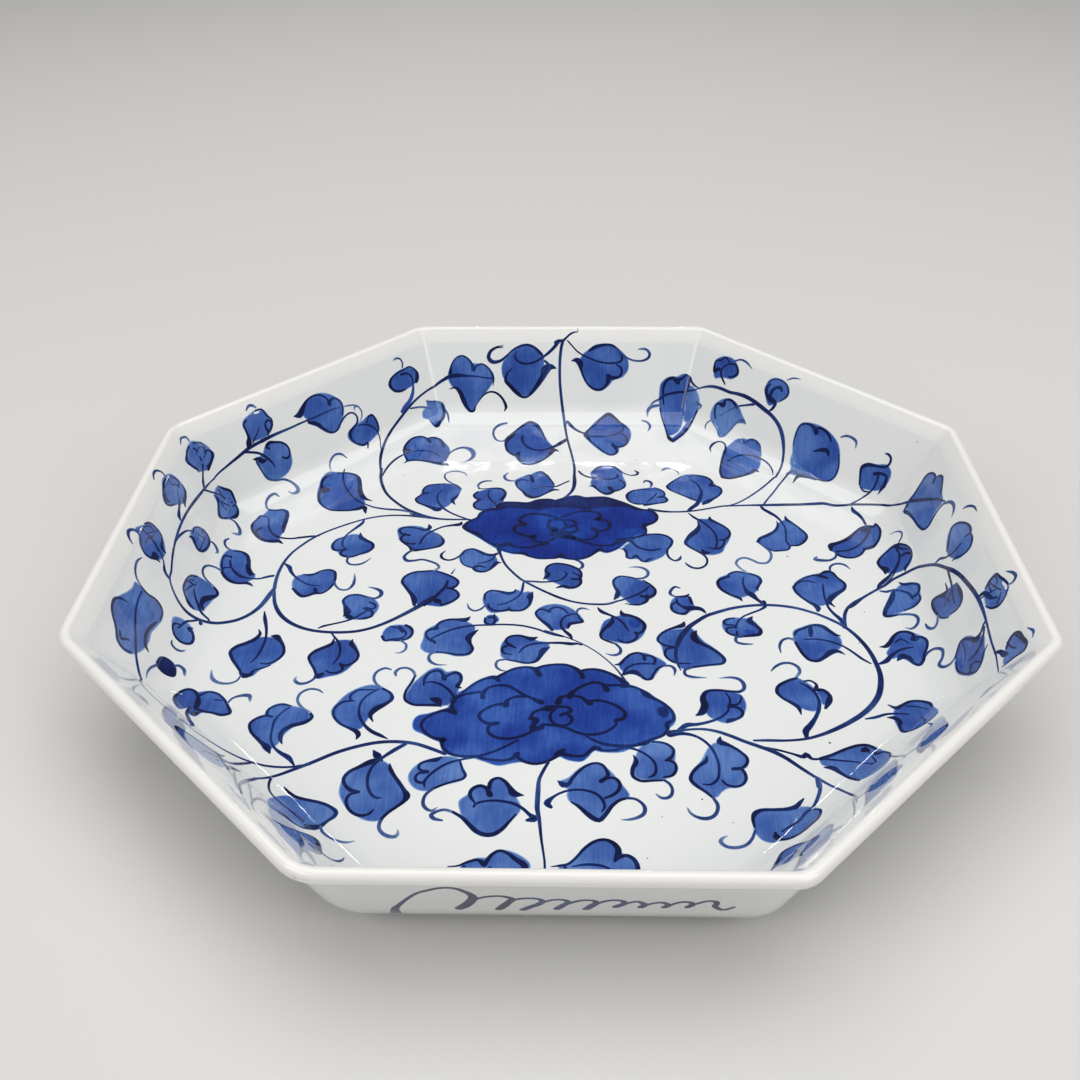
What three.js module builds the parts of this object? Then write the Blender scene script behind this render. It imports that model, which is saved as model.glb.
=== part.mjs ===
// Octagonal serving dish in blue-and-white porcelain: a moulded eight-sided body with flaring
// walls and a thick rolled lip, a foot ring luted under its floor, and the clear glaze over both.
// Millimetres, +Z up. The origin is on the table, at the middle of the foot.
// +Y points to the side of the octagon that lies furthest from the viewer.

import * as THREE from 'three';

// Driving sizes. They are those of the biscuit clay unless they say otherwise.
const SIDES = 8;
const ACROSS_FLATS = 300; // glazed, outside of the lip, flat to flat
const DISH_HEIGHT = 46; // glazed, table to the top of the lip
const GLAZE = 0.4; // thickness of the glaze coat

const FLOOR_THICKNESS = 6; // between the well and the underside
const FOOT_HEIGHT = 5; // table to the underside of the floor

const CREST_WIDTH = 2.4; // level top of the lip, in from its outer side
const LIP_DEPTH = 3.4; // height of the rolled outer side
const LIP_ROUNDING = 1.55; // rounds at the top and the bottom of that side
const LIP_OVERHANG = 2.6; // how far the lip stands out past the outer wall
const UNDERCUT_DROP = 0.5; // how far the lip's underside slopes down to the wall
const BEVEL_WIDTH = 4; // level width of the slope from the crest to the inner wall
const BEVEL_DROP = 5; // how far that slope falls
const BEVEL_ROUNDING = 1.6; // softens both edges of the slope

const WALL_FLARE = 17.3; // how far the inner wall leans out from the floor to the bevel
const COVE_RADIUS = 15; // where the floor turns up into the wall
const HEEL_THICKNESS = 10.5; // level, from the corner of the well out to the heel
const HEEL_HEIGHT = 10; // underside up to the heel, where the outer wall turns in
const HEEL_TUCK = 7.3; // how far the outer wall tucks in below the heel
const HEEL_RADIUS = 45; // the slow turn at the heel
const BASE_RADIUS = 11; // the quick turn into the underside

const OUTER_CORNER = 11; // plan radius of the octagon's corners at the lip
const HEEL_CORNER = 10; // plan radius of the corners at the heel
const INNER_CORNER = 5; // plan radius of the creases between the inner walls
const FOOT_CORNER = 40; // plan radius of the foot's soft corners

const FOOT_ACROSS = 196; // outside of the foot where it meets the floor
const FOOT_TOP_WIDTH = 9; // its width there
const FOOT_TREAD_WIDTH = 5; // width of its foot on the table
const FOOT_CHAMFER = 1; // at both edges of the tread
const BARE_HEIGHT = 2.2; // the glaze stops this far above the table

const ARC_STEPS = 4; // steps in a profile's round
const CORNER_STEPS = 4; // steps in a corner of the plan
const LEAST_CORNER = 0.2; // plan corners are never sharper than this

const PORCELAIN = new THREE.MeshStandardMaterial({ color: 0xf3f1ea, roughness: 0.75, metalness: 0 });
const CLEAR_GLAZE = new THREE.MeshStandardMaterial({ color: 0xeef1f1, roughness: 0.08, metalness: 0 });

const HALF_TURN = Math.PI;
const SIDE_ANGLE = (2 * HALF_TURN) / SIDES;

// A station of a profile: apothem a, height z and plan corner radius r.
const station = (a, z, r) => ({ a, z, r });

// The stations of a round at a corner, tangent to the lines that run from it to its neighbours.
function round(before, corner, after, radius) {
  const apex = new THREE.Vector2(corner.a, corner.z);
  const back = new THREE.Vector2(before.a, before.z).sub(apex).normalize();
  const on = new THREE.Vector2(after.a, after.z).sub(apex).normalize();
  const half = Math.acos(THREE.MathUtils.clamp(back.dot(on), -1, 1)) / 2;
  const middle = back.clone().add(on).normalize();
  const centre = apex.clone().addScaledVector(middle, radius / Math.sin(half));
  const start = apex.clone().addScaledVector(back, radius / Math.tan(half)).sub(centre);
  const sweep = Math.sign(on.cross(back)) * (HALF_TURN - 2 * half);
  const stations = [];
  for (let i = 0; i <= ARC_STEPS; i += 1) {
    const p = start.clone().rotateAround(new THREE.Vector2(), (sweep * i) / ARC_STEPS).add(centre);
    stations.push(station(p.x, p.y, corner.r));
  }
  return stations;
}

// Moves an open profile to its left by a distance, with mitred corners. The plan corners grow with it.
function offset(profile, distance) {
  const lefts = [];
  for (let i = 0; i + 1 < profile.length; i += 1) {
    const along = new THREE.Vector2(profile[i + 1].a - profile[i].a, profile[i + 1].z - profile[i].z).normalize();
    lefts.push(new THREE.Vector2(-along.y, along.x));
  }
  return profile.map((p, i) => {
    const before = lefts[Math.max(i - 1, 0)];
    const after = lefts[Math.min(i, lefts.length - 1)];
    const mitre = before.clone().add(after);
    mitre.multiplyScalar((2 * distance) / mitre.lengthSq());
    return station(p.a === 0 ? 0 : p.a + mitre.x, p.z + mitre.y, p.r + mitre.x);
  });
}

// The points of one rounded octagon.
function planRing({ a, z, r }) {
  const points = [];
  const radius = Math.max(r, LEAST_CORNER);
  const reach = (a - radius) / Math.cos(SIDE_ANGLE / 2);
  for (let corner = 0; corner < SIDES; corner += 1) {
    const middle = SIDE_ANGLE * (corner + 0.5);
    for (let i = 0; i <= CORNER_STEPS; i += 1) {
      const angle = middle + SIDE_ANGLE * (i / CORNER_STEPS - 0.5);
      points.push([
        reach * Math.cos(middle) + radius * Math.cos(angle),
        reach * Math.sin(middle) + radius * Math.sin(angle),
        z,
      ]);
    }
  }
  return points;
}

// Skins a profile round the octagon. A closed profile joins its last station to its first; an open
// one starts and ends on the axis. The profile runs with the solid on its right.
function skin(profile, closed) {
  const positions = [];
  const rings = profile.map((p) => {
    const points = p.a === 0 ? [[0, 0, p.z]] : planRing(p);
    const first = positions.length / 3;
    points.forEach((point) => positions.push(...point));
    return { first, count: points.length, p };
  });
  const faces = [];
  const join = (low, high) => {
    const count = Math.max(low.count, high.count);
    const at = (ring, j) => ring.first + (ring.count === 1 ? 0 : j % ring.count);
    // Neighbouring solids share this skin, so the diagonal goes by place and not by direction.
    const leading = low.p.a < high.p.a || (low.p.a === high.p.a && low.p.z < high.p.z);
    for (let j = 0; j < count; j += 1) {
      const [a, b, c, d] = [at(low, j), at(low, j + 1), at(high, j + 1), at(high, j)];
      if (low.count === 1) faces.push(a, d, c);
      else if (high.count === 1) faces.push(a, d, b);
      else if (leading) faces.push(a, d, c, a, c, b);
      else faces.push(a, d, b, d, c, b);
    }
  };
  for (let i = 0; i + 1 < rings.length; i += 1) join(rings[i], rings[i + 1]);
  if (closed) join(rings[rings.length - 1], rings[0]);
  const geometry = new THREE.BufferGeometry();
  geometry.setAttribute('position', new THREE.Float32BufferAttribute(positions, 3));
  geometry.setIndex(faces);
  geometry.computeVertexNormals();
  return geometry;
}

// Biscuit heights and apothems that several pieces share.
const WELL_Z = FOOT_HEIGHT + FLOOR_THICKNESS;
const LIP_Z = DISH_HEIGHT - GLAZE;
const LIP_APOTHEM = ACROSS_FLATS / 2 - GLAZE;
const CREST_APOTHEM = LIP_APOTHEM - CREST_WIDTH;
const WELL_APOTHEM = CREST_APOTHEM - BEVEL_WIDTH - WALL_FLARE;
const TREAD_APOTHEM = (FOOT_ACROSS - FOOT_TOP_WIDTH) / 2;

// The inside, from the middle of the well up to the crest of the lip.
function wellProfile() {
  const middle = station(0, WELL_Z, 0);
  const corner = station(WELL_APOTHEM, WELL_Z, INNER_CORNER);
  const wallTop = station(WELL_APOTHEM + WALL_FLARE, LIP_Z - BEVEL_DROP, INNER_CORNER);
  const crest = station(CREST_APOTHEM, LIP_Z, OUTER_CORNER - CREST_WIDTH);
  const lipSide = station(LIP_APOTHEM, LIP_Z, OUTER_CORNER);
  return [
    middle,
    ...round(middle, corner, wallTop, COVE_RADIUS),
    ...round(corner, wallTop, crest, BEVEL_ROUNDING),
    ...round(wallTop, crest, lipSide, BEVEL_ROUNDING),
  ];
}

// The lip's rolled side, the outer wall, the heel and the round under it, down to the underside.
function outerProfile() {
  const crest = station(CREST_APOTHEM, LIP_Z, OUTER_CORNER);
  const edge = station(LIP_APOTHEM, LIP_Z, OUTER_CORNER);
  const lipBottom = station(LIP_APOTHEM, LIP_Z - LIP_DEPTH, OUTER_CORNER);
  const wallTop = station(LIP_APOTHEM - LIP_OVERHANG, lipBottom.z - UNDERCUT_DROP, OUTER_CORNER - LIP_OVERHANG);
  const heel = station(WELL_APOTHEM + HEEL_THICKNESS, FOOT_HEIGHT + HEEL_HEIGHT, HEEL_CORNER);
  const base = station(heel.a - HEEL_TUCK, FOOT_HEIGHT, HEEL_CORNER);
  const footTop = station(FOOT_ACROSS / 2, FOOT_HEIGHT, FOOT_CORNER);
  return [
    ...round(crest, edge, lipBottom, LIP_ROUNDING),
    ...round(edge, lipBottom, wallTop, LIP_ROUNDING),
    wallTop,
    ...round(wallTop, heel, base, HEEL_RADIUS),
    ...round(heel, base, footTop, BASE_RADIUS),
  ];
}

// One side of the foot, from the floor down to where the glaze stops, and on to the tread.
// Side 1 is the outside and side -1 the inside.
function footSide(side) {
  const half = { top: FOOT_TOP_WIDTH / 2, tread: FOOT_TREAD_WIDTH / 2 };
  const slope = (half.top - half.tread) / (FOOT_HEIGHT - FOOT_CHAMFER);
  const at = (reach, z) => station(TREAD_APOTHEM + side * reach, z, FOOT_CORNER - half.top + side * reach);
  return [
    at(half.top, FOOT_HEIGHT),
    at(half.tread + slope * (BARE_HEIGHT - FOOT_CHAMFER), BARE_HEIGHT),
    at(half.tread, FOOT_CHAMFER),
    at(half.tread - FOOT_CHAMFER, 0),
  ];
}

// The glazed part of one side of the foot.
const glazedSide = (side) => footSide(side).slice(0, 2);

function dishBody() {
  return skin([...wellProfile(), ...outerProfile(), station(0, FOOT_HEIGHT, 0)], false);
}

function footRing() {
  return skin([...footSide(1), ...footSide(-1).reverse()], true);
}

// The coat over the well, the lip, the outer wall and the outside of the foot.
function mainGlaze() {
  const covered = [...wellProfile(), ...outerProfile(), ...glazedSide(1)];
  return skin([...offset(covered, GLAZE), ...covered.reverse()], false);
}

// The coat over the inside of the foot and the underside within it.
function footWellGlaze() {
  const covered = [...glazedSide(-1).reverse(), station(0, FOOT_HEIGHT, 0)];
  return skin([...offset(covered, GLAZE).reverse(), ...covered].reverse(), false);
}

function piece(name, geometry, material) {
  const mesh = new THREE.Mesh(geometry, material);
  mesh.name = name;
  return mesh;
}

const dish = new THREE.Group();
dish.name = 'octagonal_dish';
dish.add(
  piece('dish_body', dishBody(), PORCELAIN),
  piece('foot_ring', footRing(), PORCELAIN),
  piece('glaze_coat', mainGlaze(), CLEAR_GLAZE),
  piece('foot_well_glaze', footWellGlaze(), CLEAR_GLAZE),
);

export default dish;
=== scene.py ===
"""Dresses the octagonal porcelain plate: clear glaze, bare foot and brushed cobalt peony scrolls."""

from __future__ import annotations

import logging
import math
from collections.abc import Callable
from dataclasses import dataclass, replace
from enum import Enum

import bpy
import numpy as np
from mathutils import Matrix, Vector
from mathutils.bvhtree import BVHTree
from mathutils.geometry import delaunay_2d_cdt

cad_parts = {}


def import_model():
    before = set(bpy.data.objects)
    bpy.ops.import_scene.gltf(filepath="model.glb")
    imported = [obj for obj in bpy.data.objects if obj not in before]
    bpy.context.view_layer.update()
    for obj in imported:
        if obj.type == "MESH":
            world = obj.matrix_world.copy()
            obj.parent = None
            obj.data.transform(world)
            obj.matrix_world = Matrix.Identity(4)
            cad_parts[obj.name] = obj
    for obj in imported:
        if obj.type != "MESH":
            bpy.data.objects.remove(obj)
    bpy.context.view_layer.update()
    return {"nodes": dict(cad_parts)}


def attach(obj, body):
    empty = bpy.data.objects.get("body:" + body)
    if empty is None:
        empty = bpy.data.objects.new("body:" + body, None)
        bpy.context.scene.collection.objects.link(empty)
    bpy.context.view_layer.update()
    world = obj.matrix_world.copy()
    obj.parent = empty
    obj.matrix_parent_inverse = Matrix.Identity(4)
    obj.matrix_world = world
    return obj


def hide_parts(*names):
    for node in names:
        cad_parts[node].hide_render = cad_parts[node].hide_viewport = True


log = logging.getLogger("plate")

MM = 0.001
SIDES = 8
SIDE_ANGLE = 2 * math.pi / SIDES
BODY = "root"

# How round each corner is against the middling one, anticlockwise from the one past +X.
CORNER_SHARES = (0.75, 0.7, 0.75, 1.1, 1.15, 1.4, 0.85, 0.7)
UNEVEN_CORNER_MM = 12.0  # no more than this much of a corner's radius is made uneven

SWAY_SCALE = 14.0  # how fast the hand-made unevenness changes over the plate, per metre
WELD = 1e-6  # points nearer than this become one, in metres
PLAN_STEP = 2.0  # the longest run between the stations that a plan is measured on, in millimetres
LEAST_ARC_STEPS = 3
UPWARD = 0.1  # the least normal Z of a face that counts as the inside of the plate
GRAIN_SIZES = (0.5, 1.3)  # the smallest and the largest grain against the middling one

# Guards against a division by nothing.
LEAST_GAP = 1e-3
LEAST_LENGTH = 1e-6
LEAST_SQUARE = 1e-9

# A Mix node has several sockets of one name, so its colour sockets go by number.
MIX_SHARE, MIX_FIRST, MIX_SECOND = 0, 6, 7
MIX_RESULT = 2
CDT_TRIANGLES_INSIDE = 1

BODY_CREASE_DEG = 42.0
STROKE_CREASE_DEG = 30.0
GRAIN_CREASE_DEG = 80.0

Colour = tuple[float, float, float]
Span = tuple[float, float]
Spot = tuple[float, float, float]
Face = tuple[int, ...]


@dataclass
class Wiring:
    """Adds nodes to one tree and joins them by the names of their sockets."""

    tree: bpy.types.NodeTree

    def socket(self, name: str, kind: str, value: object = None, output: bool = False) -> None:
        """Gives the tree a named socket of its own.

        Args:
            name: what the socket is called.
            kind: the socket's type, without its NodeSocket prefix.
            value: its default.
            output: whether it leads out of the tree.
        """
        made = self.tree.interface.new_socket(
            name, in_out="OUTPUT" if output else "INPUT", socket_type="NodeSocket" + kind
        )
        if value is not None:
            made.default_value = value

    def node(
        self, kind: str, inputs: dict[str | int, object] | None = None, **settings: object
    ) -> bpy.types.Node:
        """Adds a node and fills or links its inputs.

        Args:
            kind: the node's type.
            inputs: a value or another node's socket, by input name or number.
            **settings: the node's own properties.

        Returns:
            The node.
        """
        made = self.tree.nodes.new(kind)
        for name, value in settings.items():
            setattr(made, name, value)
        for name, value in (inputs or {}).items():
            if isinstance(value, bpy.types.NodeSocket):
                self.tree.links.new(value, made.inputs[name])
            else:
                made.inputs[name].default_value = value
        return made

    def math(self, operation: str, *values: object) -> bpy.types.NodeSocket:
        """Adds a math node and gives its result."""
        return self.node("ShaderNodeMath", dict(enumerate(values)), operation=operation).outputs[0]

    def between(self, value: object, span: Span, to: Span) -> bpy.types.NodeSocket:
        """Maps a range of a value smoothly to another range.

        Args:
            value: the socket that is mapped.
            span: where the first range starts and ends.
            to: the results at its start and its end.

        Returns:
            The mapped value.
        """
        made = self.node("ShaderNodeMapRange", {"Value": value}, interpolation_type="SMOOTHSTEP")
        for name, number in zip(("From Min", "From Max", "To Min", "To Max"), (*span, *to)):
            made.inputs[name].default_value = number
        return made.outputs["Result"]

    def noise(self, where: object, scale: float, detail: float = 2.0) -> bpy.types.NodeSocket:
        """Adds a noise that varies over the object and gives its strength."""
        return self.node("ShaderNodeTexNoise", {"Vector": where, "Scale": scale, "Detail": detail}).outputs[0]

    def blend(self, share: object, first: object, second: object, how: str = "MIX") -> bpy.types.NodeSocket:
        """Mixes two colours.

        Args:
            share: how much of the second one there is.
            first: a colour or a socket.
            second: the other one.
            how: the way they are mixed.

        Returns:
            The mixed colour.
        """
        made = self.tree.nodes.new("ShaderNodeMix")
        made.data_type, made.blend_type = "RGBA", how
        for number, value in ((MIX_SHARE, share), (MIX_FIRST, first), (MIX_SECOND, second)):
            if isinstance(value, bpy.types.NodeSocket):
                self.tree.links.new(value, made.inputs[number])
            else:
                made.inputs[number].default_value = value
        return made.outputs[MIX_RESULT]


@dataclass(frozen=True)
class WhiteGround:
    """The white under the glaze, mottled, and a little bluer and darker in the cove: partly glaze that pools
    there, partly painted shade in the crease. The lip is painted lighter and warmer, as painted light on the
    top.

    Heights are over the table, in metres.
    """

    clay: Colour = (0.80, 0.805, 0.79)
    # Partly painted shade: this darker, bluer white stands for glaze pooled in the cove and for the shade
    # that falls there; the random mottle uses it too.
    pool_and_shade: Colour = (0.70, 0.735, 0.725)
    # Painted light: a lighter, warmer white on the lip, as light falls on the top of the plate.
    lip: Colour = (0.85, 0.835, 0.80)
    mottle_scale: float = 22.0
    mottle_span: Span = (0.35, 0.75)
    mottle_share: float = 0.22
    # Heights over which the lip is painted lighter.
    lit_lip_heights: Span = (0.0395, 0.0445)
    # The cove band that is painted darker: where it fades out going up, and where it rises from the floor.
    pool_and_shade_fade_heights: Span = (0.0116, 0.016)
    pool_and_shade_rise_heights: Span = (0.0112, 0.0118)
    pool_and_shade_share: float = 0.55

    def group(self) -> bpy.types.NodeTree:
        """Makes the shader node group.

        Returns:
            The group.
        """
        tree = bpy.data.node_groups.new("white_under_glaze_with_painted_light", "ShaderNodeTree")
        wiring = Wiring(tree)
        wiring.socket("Coordinates", "Vector")
        wiring.socket("Clay", "Color", (*self.clay, 1))
        wiring.socket("Pool And Shade", "Color", (*self.pool_and_shade, 1))
        wiring.socket("Lit Lip", "Color", (*self.lip, 1))
        wiring.socket("Colour", "Color", output=True)
        given = wiring.node("NodeGroupInput").outputs
        height = wiring.node("ShaderNodeSeparateXYZ", {0: given["Coordinates"]}).outputs["Z"]
        cloud = wiring.noise(given["Coordinates"], self.mottle_scale, detail=3.0)
        # Painted light: the white turns lighter and warmer towards the lip at the top.
        up = wiring.between(height, self.lit_lip_heights, (0.0, 1.0))
        # The cove band: glaze pooling there, and painted shade in the crease between wall and floor.
        low = wiring.between(height, self.pool_and_shade_fade_heights, (1.0, 0.0))
        rim = wiring.math("MULTIPLY", low, wiring.between(height, self.pool_and_shade_rise_heights, (0.0, self.pool_and_shade_share)))
        patch = wiring.between(cloud, self.mottle_span, (0.0, self.mottle_share))
        mottle_pool_and_shade = wiring.blend(wiring.math("MAXIMUM", rim, patch), given["Clay"], given["Pool And Shade"])
        wiring.node("NodeGroupOutput", {0: wiring.blend(up, mottle_pool_and_shade, given["Lit Lip"])})
        return tree


@dataclass(frozen=True)
class BrushedCobalt:
    """Cobalt under the glaze: a stain that grows deeper with its thickness, as coloured glass does.

    The brush leaves streaks and pools in it, and at its edges it thins out into its ground.
    """

    strand_scale: Spot = (1500.0, 110.0, 110.0)
    strand_span: Span = (0.35, 0.7)
    cloud_scale: float = 62.0
    cloud_span: Span = (0.32, 0.68)
    grain_scale: float = 1600.0
    grain_span: Span = (0.2, 0.8)
    grain_share: float = 0.1

    def group(self) -> bpy.types.NodeTree:
        """Makes the shader node group.

        Returns:
            The group.
        """
        tree = bpy.data.node_groups.new("brushed_cobalt", "ShaderNodeTree")
        wiring = Wiring(tree)
        wiring.socket("Coordinates", "Vector")
        wiring.socket("White", "Color", (0.8, 0.8, 0.8, 1))
        wiring.socket("Ground", "Color", (0.1, 0.2, 0.6, 1))
        wiring.socket("Painted Ground", "Float", 0.0)
        wiring.socket("Pigment", "Color", (0.1, 0.2, 0.6, 1))
        wiring.socket("Cover", "Float", 1.0)
        wiring.socket("Streaks", "Float", 0.2)
        wiring.socket("Clouds", "Float", 0.2)
        wiring.socket("Colour", "Color", output=True)
        given = wiring.node("NodeGroupInput").outputs
        where = given["Coordinates"]
        calc = wiring.math
        strands = wiring.node(
            "ShaderNodeVectorMath", {0: where, 1: self.strand_scale}, operation="MULTIPLY"
        ).outputs[0]
        both_ways = (-0.5, 0.5)
        streak = wiring.between(wiring.noise(strands, 1.0, detail=3.0), self.strand_span, both_ways)
        cloud = wiring.between(wiring.noise(where, self.cloud_scale, detail=4.0), self.cloud_span, both_ways)
        streaks, clouds = calc("MULTIPLY", streak, given["Streaks"]), calc("MULTIPLY", cloud, given["Clouds"])
        uneven = calc("ADD", streaks, clouds)
        grainy = (-self.grain_share, self.grain_share)
        grain = wiring.between(wiring.noise(where, self.grain_scale, detail=1.0), self.grain_span, grainy)
        cover = calc("MULTIPLY", given["Cover"], calc("ADD", grain, 1.0))
        cover = wiring.between(cover, (0.0, 1.0), (0.0, 1.0))
        ground = wiring.blend(given["Painted Ground"], given["White"], given["Ground"])
        layers = (
            (ground, calc("SUBTRACT", 1.0, cover)),
            (given["Pigment"], calc("MULTIPLY", cover, calc("ADD", 1.0, uneven))),
        )
        below, above = (
            wiring.node("ShaderNodeGamma", {"Color": colour, "Gamma": depth}).outputs[0]
            for colour, depth in layers
        )
        wiring.node("NodeGroupOutput", {0: wiring.blend(1.0, below, above, "MULTIPLY")})
        return tree


@dataclass(frozen=True)
class GlazeSkin:
    """The glassy skin of the glaze: its faint waves and the places where it is less bright."""

    swell_scale: float = 70.0
    ripple_scale: float = 420.0
    ripple_share: float = 0.12
    dull_scale: float = 160.0
    dull_span: Span = (0.3, 0.8)
    roughness: Span = (0.03, 0.08)

    def group(self) -> bpy.types.NodeTree:
        """Makes the shader node group.

        Returns:
            The group.
        """
        tree = bpy.data.node_groups.new("glaze_skin", "ShaderNodeTree")
        wiring = Wiring(tree)
        wiring.socket("Coordinates", "Vector")
        wiring.socket("Height", "Float", output=True)
        wiring.socket("Roughness", "Float", output=True)
        where = wiring.node("NodeGroupInput").outputs["Coordinates"]
        swell = wiring.noise(where, self.swell_scale, detail=1.0)
        ripple = wiring.noise(where, self.ripple_scale, detail=1.0)
        height = wiring.math("ADD", swell, wiring.math("MULTIPLY", ripple, self.ripple_share))
        dull = wiring.noise(where, self.dull_scale, detail=3.0)
        rough = wiring.between(dull, self.dull_span, self.roughness)
        wiring.node("NodeGroupOutput", {0: height, 1: rough})
        return tree


@dataclass(frozen=True)
class Finish:
    """A finish of the plate: its shader and how the glaze lies over it."""

    name: str
    refraction: float = 1.5
    wave_strength: float = 0.3
    wave_depth: float = 0.00025

    def start(self) -> tuple[bpy.types.Material, Wiring, bpy.types.Node, bpy.types.NodeSocket]:
        """Makes an empty material with its shader and its Object coordinates.

        Returns:
            The material, its wiring, the shader and the coordinates.
        """
        made = bpy.data.materials.new(self.name)
        made.use_nodes = True
        wiring = Wiring(made.node_tree)
        shader = made.node_tree.nodes["Principled BSDF"]
        shader.inputs["IOR"].default_value = self.refraction
        where = wiring.node("ShaderNodeTexCoord").outputs["Object"]
        return made, wiring, shader, where

    def glaze_over(self, wiring: Wiring, shader: bpy.types.Node, where: bpy.types.NodeSocket) -> None:
        """Joins the glassy skin of the glaze to a shader.

        Args:
            wiring: of the material.
            shader: its Principled BSDF.
            where: its Object coordinates.
        """
        skin = wiring.node("ShaderNodeGroup", node_tree=bpy.data.node_groups["glaze_skin"])
        wiring.tree.links.new(where, skin.inputs["Coordinates"])
        waves = {
            "Strength": self.wave_strength, "Distance": self.wave_depth, "Height": skin.outputs["Height"],
        }
        bump = wiring.node("ShaderNodeBump", waves)
        wiring.tree.links.new(bump.outputs["Normal"], shader.inputs["Normal"])
        wiring.tree.links.new(skin.outputs["Roughness"], shader.inputs["Roughness"])

    def white(self, wiring: Wiring, where: bpy.types.NodeSocket) -> bpy.types.NodeSocket:
        """The colour of the glazed white clay at each place, with the painted shade in the cove and the
        painted light on the lip.

        Args:
            wiring: of the material.
            where: its Object coordinates.

        Returns:
            The colour's socket.
        """
        group = wiring.node("ShaderNodeGroup", node_tree=bpy.data.node_groups["white_under_glaze_with_painted_light"])
        wiring.tree.links.new(where, group.inputs["Coordinates"])
        return group.outputs["Colour"]


@dataclass(frozen=True)
class GlazeFinish(Finish):
    """The clear glaze over the white clay."""

    def material(self) -> bpy.types.Material:
        """Makes the material.

        Returns:
            The material.
        """
        made, wiring, shader, where = self.start()
        wiring.tree.links.new(self.white(wiring, where), shader.inputs["Base Color"])
        self.glaze_over(wiring, shader, where)
        return made


@dataclass(frozen=True)
class CobaltFinish(Finish):
    """Brushed cobalt under the glaze. Each stroke carries its own pigment and cover."""

    streaks: float = 0.3
    clouds: float = 0.3

    def material(self) -> bpy.types.Material:
        """Makes the material.

        Returns:
            The material.
        """
        made, wiring, shader, where = self.start()
        group = wiring.node("ShaderNodeGroup", node_tree=bpy.data.node_groups["brushed_cobalt"])
        group.inputs["Streaks"].default_value = self.streaks
        group.inputs["Clouds"].default_value = self.clouds
        read = {
            name: wiring.node("ShaderNodeAttribute", attribute_name=name).outputs
            for name in ("pigment", "ground", "painted", "cover")
        }
        for name, source in (
            ("Coordinates", where), ("White", self.white(wiring, where)), ("Ground", read["ground"]["Color"]),
            ("Painted Ground", read["painted"]["Fac"]), ("Pigment", read["pigment"]["Color"]),
            ("Cover", read["cover"]["Fac"]),
        ):
            wiring.tree.links.new(source, group.inputs[name])
        wiring.tree.links.new(group.outputs["Colour"], shader.inputs["Base Color"])
        self.glaze_over(wiring, shader, where)
        return made


@dataclass(frozen=True)
class ClayFinish(Finish):
    """Bare fired clay, or anything matt and grainy on it."""

    pale: Colour = (0.72, 0.66, 0.55)
    flashed: Colour = (0.62, 0.42, 0.24)
    speckle: Colour = (0.3, 0.22, 0.15)
    flash_scale: float = 28.0
    flash_span: Span = (0.42, 0.72)
    flash_share: float = 0.75
    speckle_span: Span = (0.55, 0.75)
    speckle_share: float = 0.3
    grain_scale: float = 2200.0
    grain_span: Span = (0.3, 0.7)
    grain_strength: float = 0.5
    grain_depth: float = 0.0001
    dull: float = 0.8
    dull_range: float = 0.1

    def material(self) -> bpy.types.Material:
        """Makes the material.

        Returns:
            The material.
        """
        made, wiring, shader, where = self.start()
        cloud = wiring.noise(where, self.flash_scale, detail=3.0)
        fine = wiring.noise(where, self.grain_scale, detail=2.0)
        flash = wiring.between(cloud, self.flash_span, (0.0, self.flash_share))
        mixed = wiring.blend(flash, (*self.pale, 1), (*self.flashed, 1))
        specks = wiring.between(fine, self.speckle_span, (0.0, self.speckle_share))
        speckled = wiring.blend(specks, mixed, (*self.speckle, 1))
        wiring.tree.links.new(speckled, shader.inputs["Base Color"])
        dullest = self.dull + self.dull_range
        rough = wiring.between(fine, self.grain_span, (self.dull - self.dull_range, dullest))
        wiring.tree.links.new(rough, shader.inputs["Roughness"])
        grains = {"Strength": self.grain_strength, "Distance": self.grain_depth, "Height": fine}
        bump = wiring.node("ShaderNodeBump", grains)
        wiring.tree.links.new(bump.outputs["Normal"], shader.inputs["Normal"])
        return made


@dataclass(frozen=True)
class Station:
    """One ring of the plate's profile, in millimetres: apothem, height and plan corner radius."""

    a: float
    z: float
    r: float

    def towards(self, other: Station, share: float) -> Station:
        """The station at a share of the way to another one."""
        pairs = ((self.a, other.a), (self.z, other.z), (self.r, other.r))
        return Station(*(mine + (theirs - mine) * share for mine, theirs in pairs))

    def gap(self, other: Station) -> float:
        """The straight distance to another station in the profile."""
        return math.hypot(other.a - self.a, other.z - self.z)


Profile = list[Station]


def rounded(
    before: Station, corner: Station, after: Station, radius: float, step_deg: float = 5.0
) -> Profile:
    """The stations of a round at a corner of a profile.

    Args:
        before: the station that the profile comes from.
        corner: the sharp corner.
        after: the station that it goes on to.
        radius: of the round.
        step_deg: the turn between two stations.

    Returns:
        The stations from tangent point to tangent point.
    """
    apex = Vector((corner.a, corner.z))
    back = (Vector((before.a, before.z)) - apex).normalized()
    on = (Vector((after.a, after.z)) - apex).normalized()
    half = math.acos(max(-1.0, min(1.0, back.dot(on)))) / 2
    centre = apex + (back + on).normalized() * (radius / math.sin(half))
    start = apex + back * (radius / math.tan(half)) - centre
    turn = math.copysign(math.pi - 2 * half, on.x * back.y - on.y * back.x)
    count = max(LEAST_ARC_STEPS, round(abs(math.degrees(turn)) / step_deg))
    points = (centre + Matrix.Rotation(turn * i / count, 2) @ start for i in range(count + 1))
    return [Station(p.x, p.y, corner.r) for p in points]


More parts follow.
